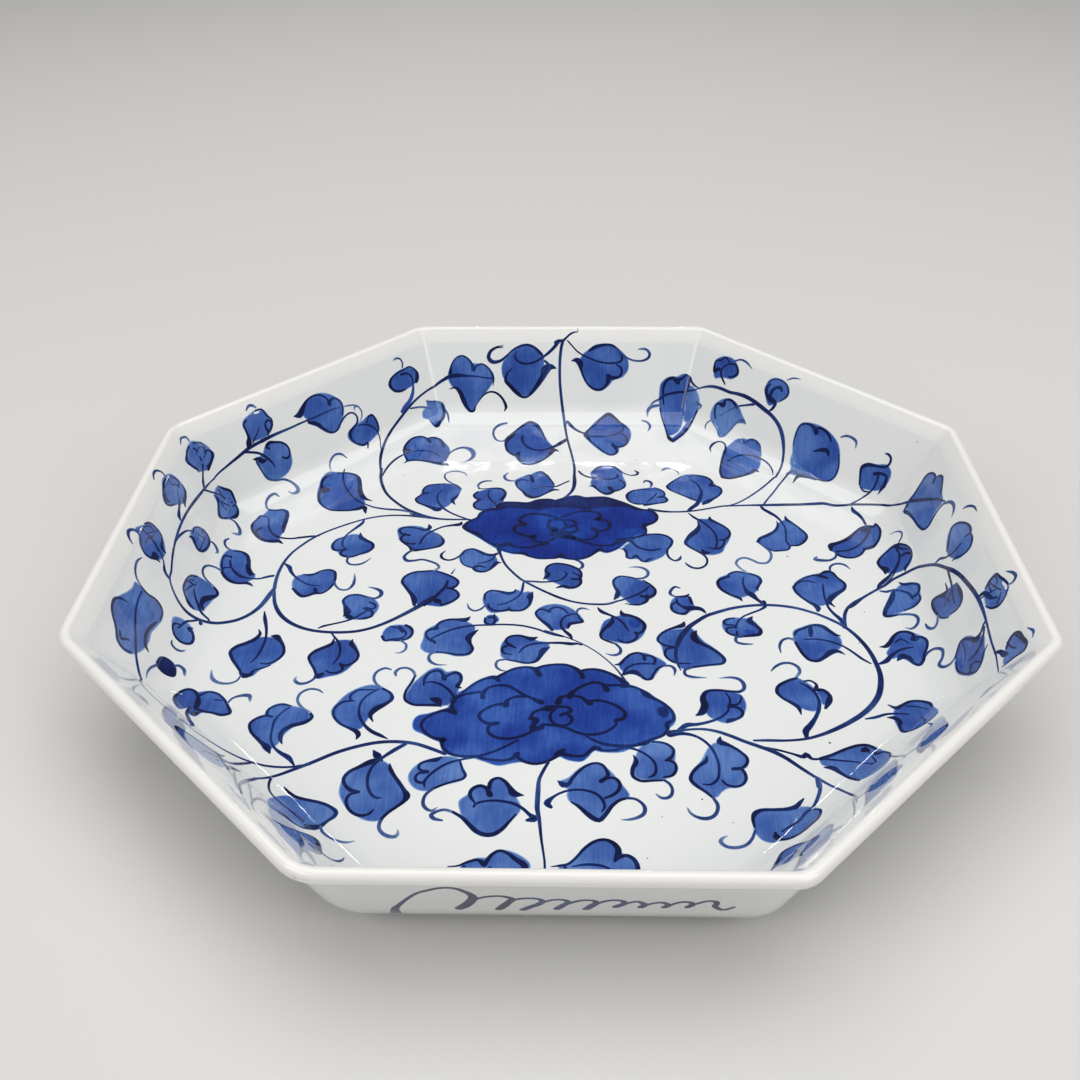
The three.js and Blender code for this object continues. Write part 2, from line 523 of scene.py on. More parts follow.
def offset(profile: Profile, distance: float) -> Profile:
    """Moves an open profile to its left, with mitred corners and plan corners that grow with it.

    Args:
        profile: the stations.
        distance: how far they move.

    Returns:
        The moved stations.
    """
    lefts = []
    for first, second in zip(profile, profile[1:]):
        along = Vector((second.a - first.a, second.z - first.z)).normalized()
        lefts.append(Vector((-along.y, along.x)))
    moved = []
    for i, place in enumerate(profile):
        mitre = lefts[max(i - 1, 0)] + lefts[min(i, len(lefts) - 1)]
        mitre *= 2 * distance / mitre.length_squared
        moved.append(Station(place.a + mitre.x if place.a else 0.0, place.z + mitre.y, place.r + mitre.x))
    return moved


def spaced(profile: Profile, step: float = 8.0) -> Profile:
    """Adds stations so that no straight run of a profile is longer than a step.

    Args:
        profile: the stations.
        step: the longest run in millimetres.

    Returns:
        The stations with the added ones.
    """
    filled = [profile[0]]
    for first, second in zip(profile, profile[1:]):
        count = max(1, math.ceil(first.gap(second) / step))
        filled += [first.towards(second, i / count) for i in range(1, count + 1)]
    return filled


@dataclass(frozen=True)
class PlateForm:
    """The plate's sizes in millimetres, those of the bare clay unless they say otherwise."""

    across_flats: float = 300.0  # glazed
    height: float = 46.0  # glazed
    glaze: float = 0.4
    floor_thickness: float = 6.0
    foot_height: float = 5.0
    crest_width: float = 2.4
    lip_depth: float = 3.4
    lip_rounding: float = 1.55
    lip_overhang: float = 2.6
    undercut_drop: float = 0.5
    bevel_width: float = 4.0
    bevel_drop: float = 5.0
    bevel_rounding: float = 1.6
    wall_flare: float = 17.3
    cove_radius: float = 15.0
    heel_thickness: float = 10.5
    heel_height: float = 10.0
    heel_tuck: float = 7.3
    heel_radius: float = 45.0
    base_radius: float = 11.0
    outer_corner: float = 11.0
    heel_corner: float = 10.0
    inner_corner: float = 5.0
    foot_corner: float = 40.0
    foot_across: float = 196.0
    foot_top_width: float = 9.0
    foot_tread_width: float = 5.0
    foot_chamfer: float = 1.0
    bare_height: float = 2.2

    @property
    def lip_z(self) -> float:
        """Height of the bare lip."""
        return self.height - self.glaze

    @property
    def lip_apothem(self) -> float:
        """Apothem of the bare lip's outer side."""
        return self.across_flats / 2 - self.glaze

    @property
    def well_apothem(self) -> float:
        """Apothem of the sharp corner between the floor and the wall."""
        return self.lip_apothem - self.crest_width - self.bevel_width - self.wall_flare

    def well(self) -> Profile:
        """The inside, from the middle of the floor up to the crest of the lip.

        Returns:
            The stations of the bare clay.
        """
        floor = self.foot_height + self.floor_thickness
        middle = Station(0, floor, 0)
        corner = Station(self.well_apothem, floor, self.inner_corner)
        top = Station(corner.a + self.wall_flare, self.lip_z - self.bevel_drop, self.inner_corner)
        crest = Station(self.lip_apothem - self.crest_width, self.lip_z, self.outer_corner - self.crest_width)
        side = Station(self.lip_apothem, self.lip_z, self.outer_corner)
        return [
            middle,
            *rounded(middle, corner, top, self.cove_radius, step_deg=3.0),
            *rounded(corner, top, crest, self.bevel_rounding, step_deg=7.0),
            *rounded(top, crest, side, self.bevel_rounding, step_deg=7.0),
        ]

    def outside(self) -> Profile:
        """The lip's side, the outer wall, the heel and the round under it.

        Returns:
            The stations of the bare clay.
        """
        crest = Station(self.lip_apothem - self.crest_width, self.lip_z, self.outer_corner)
        edge = Station(self.lip_apothem, self.lip_z, self.outer_corner)
        under = Station(edge.a, self.lip_z - self.lip_depth, self.outer_corner)
        tucked = self.lip_overhang
        top = Station(edge.a - tucked, under.z - self.undercut_drop, self.outer_corner - tucked)
        heel_z = self.foot_height + self.heel_height
        heel = Station(self.well_apothem + self.heel_thickness, heel_z, self.heel_corner)
        base = Station(heel.a - self.heel_tuck, self.foot_height, self.heel_corner)
        foot = Station(self.foot_across / 2, self.foot_height, self.foot_corner)
        return [
            *rounded(crest, edge, under, self.lip_rounding, step_deg=9.0),
            *rounded(edge, under, top, self.lip_rounding, step_deg=9.0),
            top,
            *rounded(top, heel, base, self.heel_radius, step_deg=4.0),
            *rounded(heel, base, foot, self.base_radius, step_deg=5.0),
        ]

    def foot_side(self, side: int) -> Profile:
        """One side of the foot, from the floor to the tread.

        Args:
            side: 1 for the outside and -1 for the inside.

        Returns:
            The stations.
        """
        top, tread = self.foot_top_width / 2, self.foot_tread_width / 2
        slope = (top - tread) / (self.foot_height - self.foot_chamfer)
        middle = (self.foot_across - self.foot_top_width) / 2
        stops = (
            (top, self.foot_height),
            (tread + slope * (self.bare_height - self.foot_chamfer), self.bare_height),
            (tread, self.foot_chamfer),
            (tread - self.foot_chamfer, 0.0),
        )
        return [Station(middle + side * d, z, self.foot_corner - top + side * d) for d, z in stops]

    def coat(self) -> Profile:
        """The glaze over the well, the lip, the outer wall and the outside of the foot."""
        covered = spaced([*self.well(), *self.outside(), *self.foot_side(1)[:2]])
        return [*offset(covered, self.glaze), *reversed(covered)]

    def foot_well_coat(self) -> Profile:
        """The glaze inside the foot."""
        covered = spaced([*reversed(self.foot_side(-1)[:2]), Station(0, self.foot_height, 0)])
        return [*reversed(covered), *offset(covered, self.glaze)]

    def foot(self) -> Profile:
        """The foot ring, once round its section."""
        around = [*self.foot_side(1), *reversed(self.foot_side(-1))]
        return [*around, around[0]]


def bend_group() -> bpy.types.NodeTree:
    """Bends flat work round the octagon: X counts sides, Y is the apothem and Z the height.

    Returns:
        The node group.
    """
    tree = bpy.data.node_groups.new("bend_round_octagon", "GeometryNodeTree")
    wiring = Wiring(tree)
    wiring.socket("Flat", "Vector")
    wiring.socket("Corner", "Float", 0.01)
    wiring.socket("Sides", "Float", float(SIDES))
    wiring.socket("Flat Share", "Float", 0.9)
    wiring.socket("Place", "Vector", output=True)
    given = wiring.node("NodeGroupInput").outputs
    flat = wiring.node("ShaderNodeSeparateXYZ", {0: given["Flat"]}).outputs
    calc = wiring.math
    turn = calc("DIVIDE", 2 * math.pi, given["Sides"])
    side = calc("FLOOR", calc("ADD", flat["X"], 0.5))
    along = calc("SUBTRACT", flat["X"], side)
    half = calc("MULTIPLY", given["Flat Share"], 0.5)
    level = calc("MAXIMUM", calc("MINIMUM", along, half), calc("MULTIPLY", half, -1.0))
    extra = calc("DIVIDE", calc("SUBTRACT", along, level), calc("SUBTRACT", 1.0, given["Flat Share"]))
    facing = calc("MULTIPLY", side, turn)
    bearing = calc("MULTIPLY", calc("ADD", side, extra), turn)
    slide = calc("MULTIPLY", calc("DIVIDE", level, half), calc("TANGENT", calc("MULTIPLY", turn, 0.5)))
    swayed = calc("MINIMUM", given["Corner"], UNEVEN_CORNER_MM * MM)
    uneven = calc("MULTIPLY", corner_share(wiring, flat["X"]), swayed)
    corner = calc("ADD", given["Corner"], uneven)
    reach = calc("SUBTRACT", flat["Y"], corner)

    def across(near: str, far: str, sign: float) -> bpy.types.NodeSocket:
        """One coordinate: the sharp octagon's point and the corner's round added to it.

        Args:
            near: the function of an angle that gives this coordinate.
            far: the function that gives the other one.
            sign: which way the slide along the side counts.

        Returns:
            The coordinate.
        """
        aside = calc("MULTIPLY", calc("MULTIPLY", calc(far, facing), slide), sign)
        sharp = calc("MULTIPLY", reach, calc("ADD", calc(near, facing), aside))
        return calc("ADD", sharp, calc("MULTIPLY", corner, calc(near, bearing)))

    places = {0: across("COSINE", "SINE", -1.0), 1: across("SINE", "COSINE", 1.0), 2: flat["Z"]}
    wiring.node("NodeGroupOutput", {0: wiring.node("ShaderNodeCombineXYZ", places).outputs[0]})
    return tree


def corner_share(wiring: Wiring, lap: bpy.types.NodeSocket) -> bpy.types.NodeSocket:
    """How much rounder or sharper the nearest corner is than the middling one.

    Args:
        wiring: of the tree.
        lap: the way round the plate, counted in sides.

    Returns:
        The share that is added to the corner's radius.
    """
    number = wiring.math("FLOORED_MODULO", wiring.math("FLOOR", lap), float(SIDES))
    place = wiring.math("DIVIDE", wiring.math("ADD", number, 0.5), float(SIDES))
    curve = wiring.node("ShaderNodeFloatCurve", {"Value": place})
    knots = [((i + 0.5) / SIDES, share / 2) for i, share in enumerate(CORNER_SHARES)]
    line = curve.mapping.curves[0].points
    line[0].location, line[1].location = knots[0], knots[-1]
    for knot in knots[1:-1]:
        line.new(*knot)
    curve.mapping.update()
    return wiring.math("SUBTRACT", wiring.math("MULTIPLY", curve.outputs[0], 2.0), 1.0)


def finished(wiring: Wiring, work: bpy.types.NodeSocket, finish: bpy.types.NodeSocket) -> None:
    """Gives a tree's work its material and leads it out."""
    dressed = wiring.node("GeometryNodeSetMaterial", {"Geometry": work, "Material": finish})
    wiring.node("NodeGroupOutput", {0: dressed.outputs[0]})


def throw_tree() -> bpy.types.NodeTree:
    """Repeats one side of flat work, bends it round the octagon and gives it a hand-made unevenness.

    Returns:
        The tree.
    """
    tree = bpy.data.node_groups.new("throw_octagon", "GeometryNodeTree")
    wiring = Wiring(tree)
    wiring.socket("Side", "Geometry")
    wiring.socket("Sides", "Int", SIDES)
    wiring.socket("Flat Share", "Float", 0.9)
    wiring.socket("Uneven Level", "Float", 0.001)
    wiring.socket("Uneven Height", "Float", 0.003)
    wiring.socket("Finish", "Material")
    wiring.socket("Plate", "Geometry", output=True)
    given = wiring.node("NodeGroupInput").outputs
    line = wiring.node("GeometryNodeMeshLine", {"Count": given["Sides"], "Offset": (1.0, 0.0, 0.0)})
    copies = wiring.node(
        "GeometryNodeInstanceOnPoints", {"Points": line.outputs[0], "Instance": given["Side"]}
    )
    whole = wiring.node("GeometryNodeRealizeInstances", {0: copies.outputs[0]})
    corner = wiring.node("GeometryNodeInputNamedAttribute", {"Name": "corner"}, data_type="FLOAT")
    bend = wiring.node("GeometryNodeGroup", node_tree=bpy.data.node_groups["bend_round_octagon"])
    for name, source in (
        ("Flat", wiring.node("GeometryNodeInputPosition").outputs[0]), ("Corner", corner.outputs[0]),
        ("Sides", given["Sides"]), ("Flat Share", given["Flat Share"]),
    ):
        wiring.tree.links.new(source, bend.inputs[name])
    bent = wiring.node("GeometryNodeSetPosition", {"Geometry": whole.outputs[0], "Position": bend.outputs[0]})
    joined = wiring.node("GeometryNodeMergeByDistance", {"Geometry": bent.outputs[0], "Distance": WELD})
    now = wiring.node("GeometryNodeInputPosition").outputs[0]
    sway = wiring.noise(now, SWAY_SCALE, detail=1.0)
    level = wiring.math("SUBTRACT", 1.0, wiring.math("MULTIPLY", sway, given["Uneven Level"]))
    lower = wiring.math("SUBTRACT", 1.0, wiring.math("MULTIPLY", sway, given["Uneven Height"]))
    scale = wiring.node("ShaderNodeCombineXYZ", {0: level, 1: level, 2: lower}).outputs[0]
    moved = wiring.node("ShaderNodeVectorMath", {0: now, 1: scale}, operation="MULTIPLY").outputs[0]
    swayed = wiring.node("GeometryNodeSetPosition", {"Geometry": joined.outputs[0], "Position": moved})
    real = wiring.node("GeometryNodeRealizeInstances", {0: swayed.outputs[0]})
    finished(wiring, real.outputs[0], given["Finish"])
    return tree


def flattened(
    wiring: Wiring, width: bpy.types.NodeSocket, flatness: bpy.types.NodeSocket
) -> bpy.types.NodeSocket:
    """The scale of a grain that is as wide as one value says and lower by another."""
    height = wiring.math("MULTIPLY", width, flatness)
    return wiring.node("ShaderNodeCombineXYZ", {0: width, 1: width, 2: height}).outputs[0]


def scatter_tree() -> bpy.types.NodeTree:
    """Scatters small flattened grains over a surface.

    Returns:
        The tree.
    """
    tree = bpy.data.node_groups.new("scatter_grains", "GeometryNodeTree")
    wiring = Wiring(tree)
    wiring.socket("Surface", "Geometry")
    wiring.socket("Density", "Float", 100.0)
    wiring.socket("Grain Radius", "Float", 0.0002)
    wiring.socket("Flatness", "Float", 0.4)
    wiring.socket("Seed", "Int", 3)
    wiring.socket("Finish", "Material")
    wiring.socket("Grains", "Geometry", output=True)
    given = wiring.node("NodeGroupInput").outputs
    points = wiring.node(
        "GeometryNodeDistributePointsOnFaces",
        {"Mesh": given["Surface"], "Density": given["Density"], "Seed": given["Seed"]},
    )
    grain = wiring.node("GeometryNodeMeshIcoSphere", {"Radius": given["Grain Radius"], "Subdivisions": 1})
    sizes = {2: GRAIN_SIZES[0], 3: GRAIN_SIZES[1], "Seed": given["Seed"]}
    width = wiring.node("FunctionNodeRandomValue", sizes, data_type="FLOAT").outputs[1]
    scale = flattened(wiring, width, given["Flatness"])
    laid = wiring.node(
        "GeometryNodeInstanceOnPoints",
        {
            "Points": points.outputs["Points"], "Instance": grain.outputs[0],
            "Rotation": points.outputs["Rotation"], "Scale": scale,
        },
    )
    real = wiring.node("GeometryNodeRealizeInstances", {0: laid.outputs[0]})
    finished(wiring, real.outputs[0], given["Finish"])
    return tree


def set_tree() -> bpy.types.NodeTree:
    """Sets a flat speck on each point of a mesh, as wide as the point says in millimetres.

    Returns:
        The tree.
    """
    tree = bpy.data.node_groups.new("set_specks", "GeometryNodeTree")
    wiring = Wiring(tree)
    wiring.socket("Places", "Geometry")
    wiring.socket("Flatness", "Float", 0.2)
    wiring.socket("Finish", "Material")
    wiring.socket("Specks", "Geometry", output=True)
    given = wiring.node("NodeGroupInput").outputs
    speck = wiring.node("GeometryNodeMeshIcoSphere", {"Radius": 0.5 * MM, "Subdivisions": 2})
    width = wiring.node("GeometryNodeInputNamedAttribute", {"Name": "width"}, data_type="FLOAT").outputs[0]
    scale = flattened(wiring, width, given["Flatness"])
    laid = wiring.node(
        "GeometryNodeInstanceOnPoints",
        {"Points": given["Places"], "Instance": speck.outputs[0], "Scale": scale},
    )
    real = wiring.node("GeometryNodeRealizeInstances", {0: laid.outputs[0]})
    finished(wiring, real.outputs[0], given["Finish"])
    return tree


def grown(
    name: str, start: bpy.types.Mesh, tree: bpy.types.NodeTree, values: dict[str, object]
) -> bpy.types.Object:
    """Runs a geometry tree on a mesh and keeps its result as a plain mesh.

    Args:
        name: of the finished piece.
        start: the mesh that the tree works on.
        tree: the tree.
        values: its inputs by name.

    Returns:
        The finished piece, with no modifier left on it.
    """
    piece = bpy.data.objects.new(name, start)
    bpy.context.scene.collection.objects.link(piece)
    modifier = piece.modifiers.new("grow", "NODES")
    modifier.node_group = tree
    for item in tree.interface.items_tree:
        if item.in_out == "INPUT" and item.name in values:
            modifier[item.identifier] = values[item.name]
    graph = bpy.context.evaluated_depsgraph_get()
    result = bpy.data.meshes.new_from_object(piece.evaluated_get(graph))
    piece.modifiers.remove(modifier)
    piece.data = result
    result.name = name
    bpy.data.meshes.remove(start)
    return piece


def smooth(mesh: bpy.types.Mesh, crease_deg: float = BODY_CREASE_DEG) -> None:
    """Shades a mesh smooth but for its creases."""
    mesh.shade_smooth()
    mesh.set_sharp_from_angle(angle=math.radians(crease_deg))


@dataclass(frozen=True)
class Plate:
    """The body of the plate: its two coats of glaze and its bare foot."""

    form: PlateForm = PlateForm()
    flat_share: float = 0.9
    corner_steps: int = 5
    flat_steps: int = 12

    def columns(self) -> list[float]:
        """Spaces the columns of one side.

        Returns:
            Where they stand, from the middle of a corner at -0.5 to that of the next at 0.5.
        """
        half = self.flat_share / 2
        corner = [-0.5 + (0.5 - half) * i / self.corner_steps for i in range(self.corner_steps)]
        level = [-half + self.flat_share * i / self.flat_steps for i in range(self.flat_steps + 1)]
        return [*corner, *level, *(-c for c in reversed(corner))]

    def side(self, profile: Profile) -> bpy.types.Mesh:
        """Lays out one side flat: X across the side, Y the apothem and Z the height.

        Args:
            profile: the stations with the solid on their right.

        Returns:
            The mesh, with each point's corner radius as an attribute.
        """
        columns = self.columns()
        points = [(x, s.a * MM, s.z * MM) for s in profile for x in columns]
        wide = len(columns)
        faces = [
            (i * wide + j, (i + 1) * wide + j, (i + 1) * wide + j + 1, i * wide + j + 1)
            for i in range(len(profile) - 1) for j in range(wide - 1)
        ]
        mesh = bpy.data.meshes.new("side")
        mesh.from_pydata(points, [], faces)
        corners = mesh.attributes.new("corner", "FLOAT", "POINT")
        corners.data.foreach_set("value", [s.r * MM for s in profile for _ in columns])
        return mesh

    def turn(self, name: str, profile: Profile, finish: bpy.types.Material) -> bpy.types.Object:
        """Makes one piece of the plate from its profile.

        Args:
            name: of the piece.
            profile: its stations.
            finish: its material.

        Returns:
            The piece.
        """
        values = {"Sides": SIDES, "Flat Share": self.flat_share, "Finish": finish}
        piece = grown(name, self.side(profile), bpy.data.node_groups["throw_octagon"], values)
        piece.data.attributes.remove(piece.data.attributes["corner"])
        smooth(piece.data)
        return piece

    def build(self, glaze: bpy.types.Material, clay: bpy.types.Material) -> dict[str, bpy.types.Object]:
        """Makes the coats and the foot and lets them take the place of the plain nodes.

        Args:
            glaze: the finish of both coats.
            clay: the finish of the foot.

        Returns:
            The pieces by the node that each replaces.
        """
        plan = {
            "glaze_coat": ("plate_glaze", self.form.coat(), glaze, "clear_glaze"),
            "foot_well_glaze": ("underside_glaze", self.form.foot_well_coat(), glaze, "clear_glaze"),
            "foot_ring": ("bare_foot", self.form.foot(), clay, "biscuit_porcelain"),
        }
        made = {}
        for node, (name, profile, finish, slot) in plan.items():
            piece = self.turn(name, profile, finish)
            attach(piece, BODY)
            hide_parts(node)
            log.info("%s: %d faces", name, len(piece.data.polygons))
            made[node] = piece
        return made


class Brush(Enum):
    """The painter's brushes, by the letter that starts a stroke in the pattern sheet."""

    WASH = "w"
    PALE = "p"
    DEEP = "d"
    RICH = "r"
    NAVY = "n"
    SWEEP = "l"
    OUTLINE = "o"
    VEIN = "v"
    TENDRIL = "t"
    STEM = "s"

    @property
    def pigment(self) -> Colour:
        """The colour that this brush leaves under the glaze."""
        return {
            Brush.WASH: (0.037, 0.098, 0.36),
            Brush.PALE: (0.066, 0.145, 0.42),
            Brush.DEEP: (0.016, 0.058, 0.31),
            Brush.RICH: (0.003, 0.029, 0.25),
            Brush.NAVY: (0.002, 0.008, 0.09),
            Brush.SWEEP: (0.03, 0.08, 0.32),
            Brush.OUTLINE: (0.0008, 0.0075, 0.066),
            Brush.VEIN: (0.001, 0.010, 0.088),
            Brush.TENDRIL: (0.030, 0.065, 0.21),
            Brush.STEM: (0.006, 0.021, 0.115),
        }[self]

    @property
    def fills(self) -> bool:
        """Whether it fills an area instead of drawing a line."""
        return self in (Brush.WASH, Brush.PALE, Brush.DEEP, Brush.RICH, Brush.NAVY)

    @property
    def fading(self) -> float:
        """How much of its cover is gone where a stroke runs out."""
        return 0.55 if self is Brush.TENDRIL else 0.0

    @property
    def shrinking(self) -> float:
        """How much narrower its line comes out than the sheet says, in millimetres."""
        return 0.2 if self in (Brush.OUTLINE, Brush.VEIN, Brush.STEM) else 0.0


@dataclass(frozen=True)
class Stroke:
    """One stroke: its brush and its points in plan, as X, Y and width in millimetres."""

    brush: Brush
    points: np.ndarray


@dataclass(frozen=True)
class Sprig:
    """A group of leaves, flowers or stems, written down stroke by stroke.

    A letter picks the brush. Each point after it is X,Y or X,Y,width on the unrolled plan of the well,
    in millimetres from its middle. A width holds until the next one.
    """

    name: str
    rows: str

    def strokes(self) -> list[Stroke]:
        """Reads the strokes out of the rows.

        Returns:
            The strokes in their order.
        """
        read: list[tuple[Brush, list[Spot]]] = []
        width = 1.0
        for word in self.rows.split():
            if word.isalpha():
                read.append((Brush(word), []))
                width = 1.0
                continue
            x, y, *given = (float(part) for part in word.split(","))
            width = given[0] if given else width
            read[-1][1].append((x, y, width))
        return [Stroke(brush, np.array(points)) for brush, points in read]


def through(points: np.ndarray, step: float, closed: bool) -> np.ndarray:
    """Draws a smooth curve through points, as a hand does.

    Args:
        points: rows of X, Y and any more values.
        step: the distance between the curve's points.
        closed: whether it comes back to its start.

    Returns:
        The curve's rows.
    """
    knots = np.vstack([points[-1:], points, points[:2]]) if closed else np.vstack(
        [2 * points[:1] - points[1:2], points, 2 * points[-1:] - points[-2:-1]]
    )
    gaps = np.maximum(np.hypot(*np.diff(knots[:, :2], axis=0).T), LEAST_GAP) ** 0.5
    curve = []
    for i in range(1, len(knots) - 2):
        p0, p1, p2, p3 = knots[i - 1:i + 3]
        d0, d1, d2 = gaps[i - 1:i + 2]
        m1 = ((p1 - p0) / d0 - (p2 - p0) / (d0 + d1) + (p2 - p1) / d1) * d1
        m2 = ((p2 - p1) / d1 - (p3 - p1) / (d1 + d2) + (p3 - p2) / d2) * d1
        count = max(2, math.ceil(d1 * d1 / step))
        t = (np.arange(count) / count)[:, None]
        curve.append(
            (2 * t**3 - 3 * t**2 + 1) * p1 + (t**3 - 2 * t**2 + t) * m1
            + (3 * t**2 - 2 * t**3) * p2 + (t**3 - t**2) * m2
        )
    if not closed:
        curve.append(points[-1:])
    return np.vstack(curve)


def edge_distance(places: np.ndarray, ring: np.ndarray) -> np.ndarray:
    """How far each place lies from a closed outline.

    Args:
        places: rows of X and Y.
        ring: the outline's points.

    Returns:
        The distances.
    """
    start, along = ring, np.roll(ring, -1, axis=0) - ring
    length = np.maximum((along**2).sum(1), LEAST_SQUARE)
    share = np.clip(((places[:, None] - start) * along).sum(2) / length, 0, 1)
    near = start + share[:, :, None] * along
    return np.sqrt(((places[:, None] - near) ** 2).sum(2)).min(1)


def inside(places: np.ndarray, ring: np.ndarray) -> np.ndarray:
    """Which places lie inside a closed outline.

    Args:
        places: rows of X and Y.
        ring: the outline's points.

    Returns:
        True or False for each.
    """
    after = np.roll(ring, -1, axis=0)
    x, y = places[:, :1], places[:, 1:]
    spans = (ring[:, 1] > y) != (after[:, 1] > y)
    rise = np.where(after[:, 1] == ring[:, 1], LEAST_SQUARE, after[:, 1] - ring[:, 1])
    crossing = ring[:, 0] + (y - ring[:, 1]) * (after[:, 0] - ring[:, 0]) / rise
    return (spans & (x < crossing)).sum(1) % 2 == 1


@dataclass
class WellPlan:
    """Takes the unrolled plan of the well to the glazed surface."""

    form: PlateForm
    skin: BVHTree

    def __post_init__(self) -> None:
        """Works out how far each station lies from the middle, measured over the surface."""
        stations = offset(spaced(self.form.well(), PLAN_STEP), self.form.glaze)
        self.apothem = np.array([s.a for s in stations])
        self.level = np.array([s.z for s in stations])
        self.run = np.concatenate([[0], np.cumsum(np.hypot(np.diff(self.apothem), np.diff(self.level)))])

    def guess(self, plan: np.ndarray) -> np.ndarray:
        """Takes plan places to the sharp-cornered well.

        Args:
            plan: rows of X and Y in millimetres.

        Returns:
            Rows of X, Y and Z in millimetres.
        """
        bearings = np.arange(SIDES) * SIDE_ANGLE
        normals = np.stack([np.cos(bearings), np.sin(bearings)], 1)
        reach = plan @ normals.T
        side = reach.argmax(1)
        far = reach.max(1)
        normal = normals[side]
        along = np.stack([-normal[:, 1], normal[:, 0]], 1)
        apothem = np.interp(far, self.run, self.apothem)
        slide = (plan * along).sum(1) * apothem / np.maximum(far, LEAST_LENGTH)
        level = np.interp(far, self.run, self.level)
        return np.column_stack([normal * apothem[:, None] + along * slide[:, None], level])

    def lay(self, plan: np.ndarray, *lifts: np.ndarray | float) -> list[list[Vector]]:
        """Lays plan places on the glaze at one or more heights over it.

        Args:
            plan: rows of X and Y in millimetres.
            *lifts: how far over the glaze, in millimetres.

        Returns:
            The places in metres for each lift.
        """
        found = [self.skin.find_nearest(Vector(p) * MM) for p in self.guess(plan)]
        return [
            [spot + normal * (up * MM) for (spot, normal, _, _), up in zip(found, heights)]
            for heights in (np.broadcast_to(lift, len(plan)) for lift in lifts)
        ]


class Paint:
    """Collects the strokes of one brush load and turns them into one piece."""

    def __init__(self, name: str, plan: WellPlan) -> None:
        """Starts with nothing painted.

        Args:
            name: of the piece.
            plan: where the strokes go.
        """
        self.name = name
        self.plan = plan
        self.points: list[Vector] = []
        self.faces: list[Face] = []
        self.pigments: list[tuple[float, ...]] = []
        self.grounds: list[tuple[float, ...]] = []
        self.painted: list[float] = []
        self.covers: list[float] = []

    def add(
        self, points: list[Vector], faces: list[Face], pigment: Colour, cover: np.ndarray,
        grounds: list[Colour | None],
    ) -> None:
        """Adds a stroke's shell.

        Args:
            points: its places in metres.
            faces: by the numbers of its own points.
            pigment: its colour.
            cover: how fully the pigment covers its ground at each point.
            grounds: the colour that it is painted over at each point, or None for the white.
        """
        first = len(self.points)
        self.points += points
        self.faces += [tuple(first + i for i in face) for face in faces]
        self.pigments += [(*pigment, 1.0)] * len(points)
        self.grounds += [(*(ground or pigment), 1.0) for ground in grounds]
        self.painted += [0.0 if ground is None else 1.0 for ground in grounds]
        self.covers += list(cover)

    def mesh(self) -> bpy.types.Mesh:
        """Makes the mesh, with what each point carries of the paint as attributes.

        Returns:
            The mesh.
        """
        mesh = bpy.data.meshes.new(self.name)
        mesh.from_pydata(self.points, [], self.faces)
        for name, colours in (("pigment", self.pigments), ("ground", self.grounds)):
            layer = mesh.attributes.new(name, "FLOAT_COLOR", "POINT")
            layer.data.foreach_set("color", [part for colour in colours for part in colour])
        for name, values in (("painted", self.painted), ("cover", self.covers)):
            mesh.attributes.new(name, "FLOAT", "POINT").data.foreach_set("value", values)
        return mesh

    def piece(self, finish: bpy.types.Material) -> bpy.types.Object:
        """Makes the piece.

        Args:
            finish: its material.

        Returns:
            The piece.
        """
        mesh = self.mesh()
        mesh.materials.append(finish)
        smooth(mesh, STROKE_CREASE_DEG)
        made = bpy.data.objects.new(self.name, mesh)
        bpy.context.scene.collection.objects.link(made)
        return made


@dataclass
class Grounds:
    """Remembers the filled areas, so that what is painted over one knows its colour."""

    areas: list[tuple[np.ndarray, Colour]]

    def under(self, places: np.ndarray, skip: int | None = None) -> list[Colour | None]:
        """Looks up the colour under each place.

        Args:
            places: rows of X and Y in plan.
            skip: the number of an area that doesn't count, nor do later ones.

        Returns:
            The colour of the last area that holds the place, or None on the white.
        """
        low, high = places.min(0), places.max(0)
        found: list[Colour | None] = [None] * len(places)
        for ring, colour in self.areas[:skip]:
            if (ring.max(0) < low).any() or (ring.min(0) > high).any():
                continue
            for i in np.flatnonzero(inside(places, ring)):
                found[i] = colour
        return found


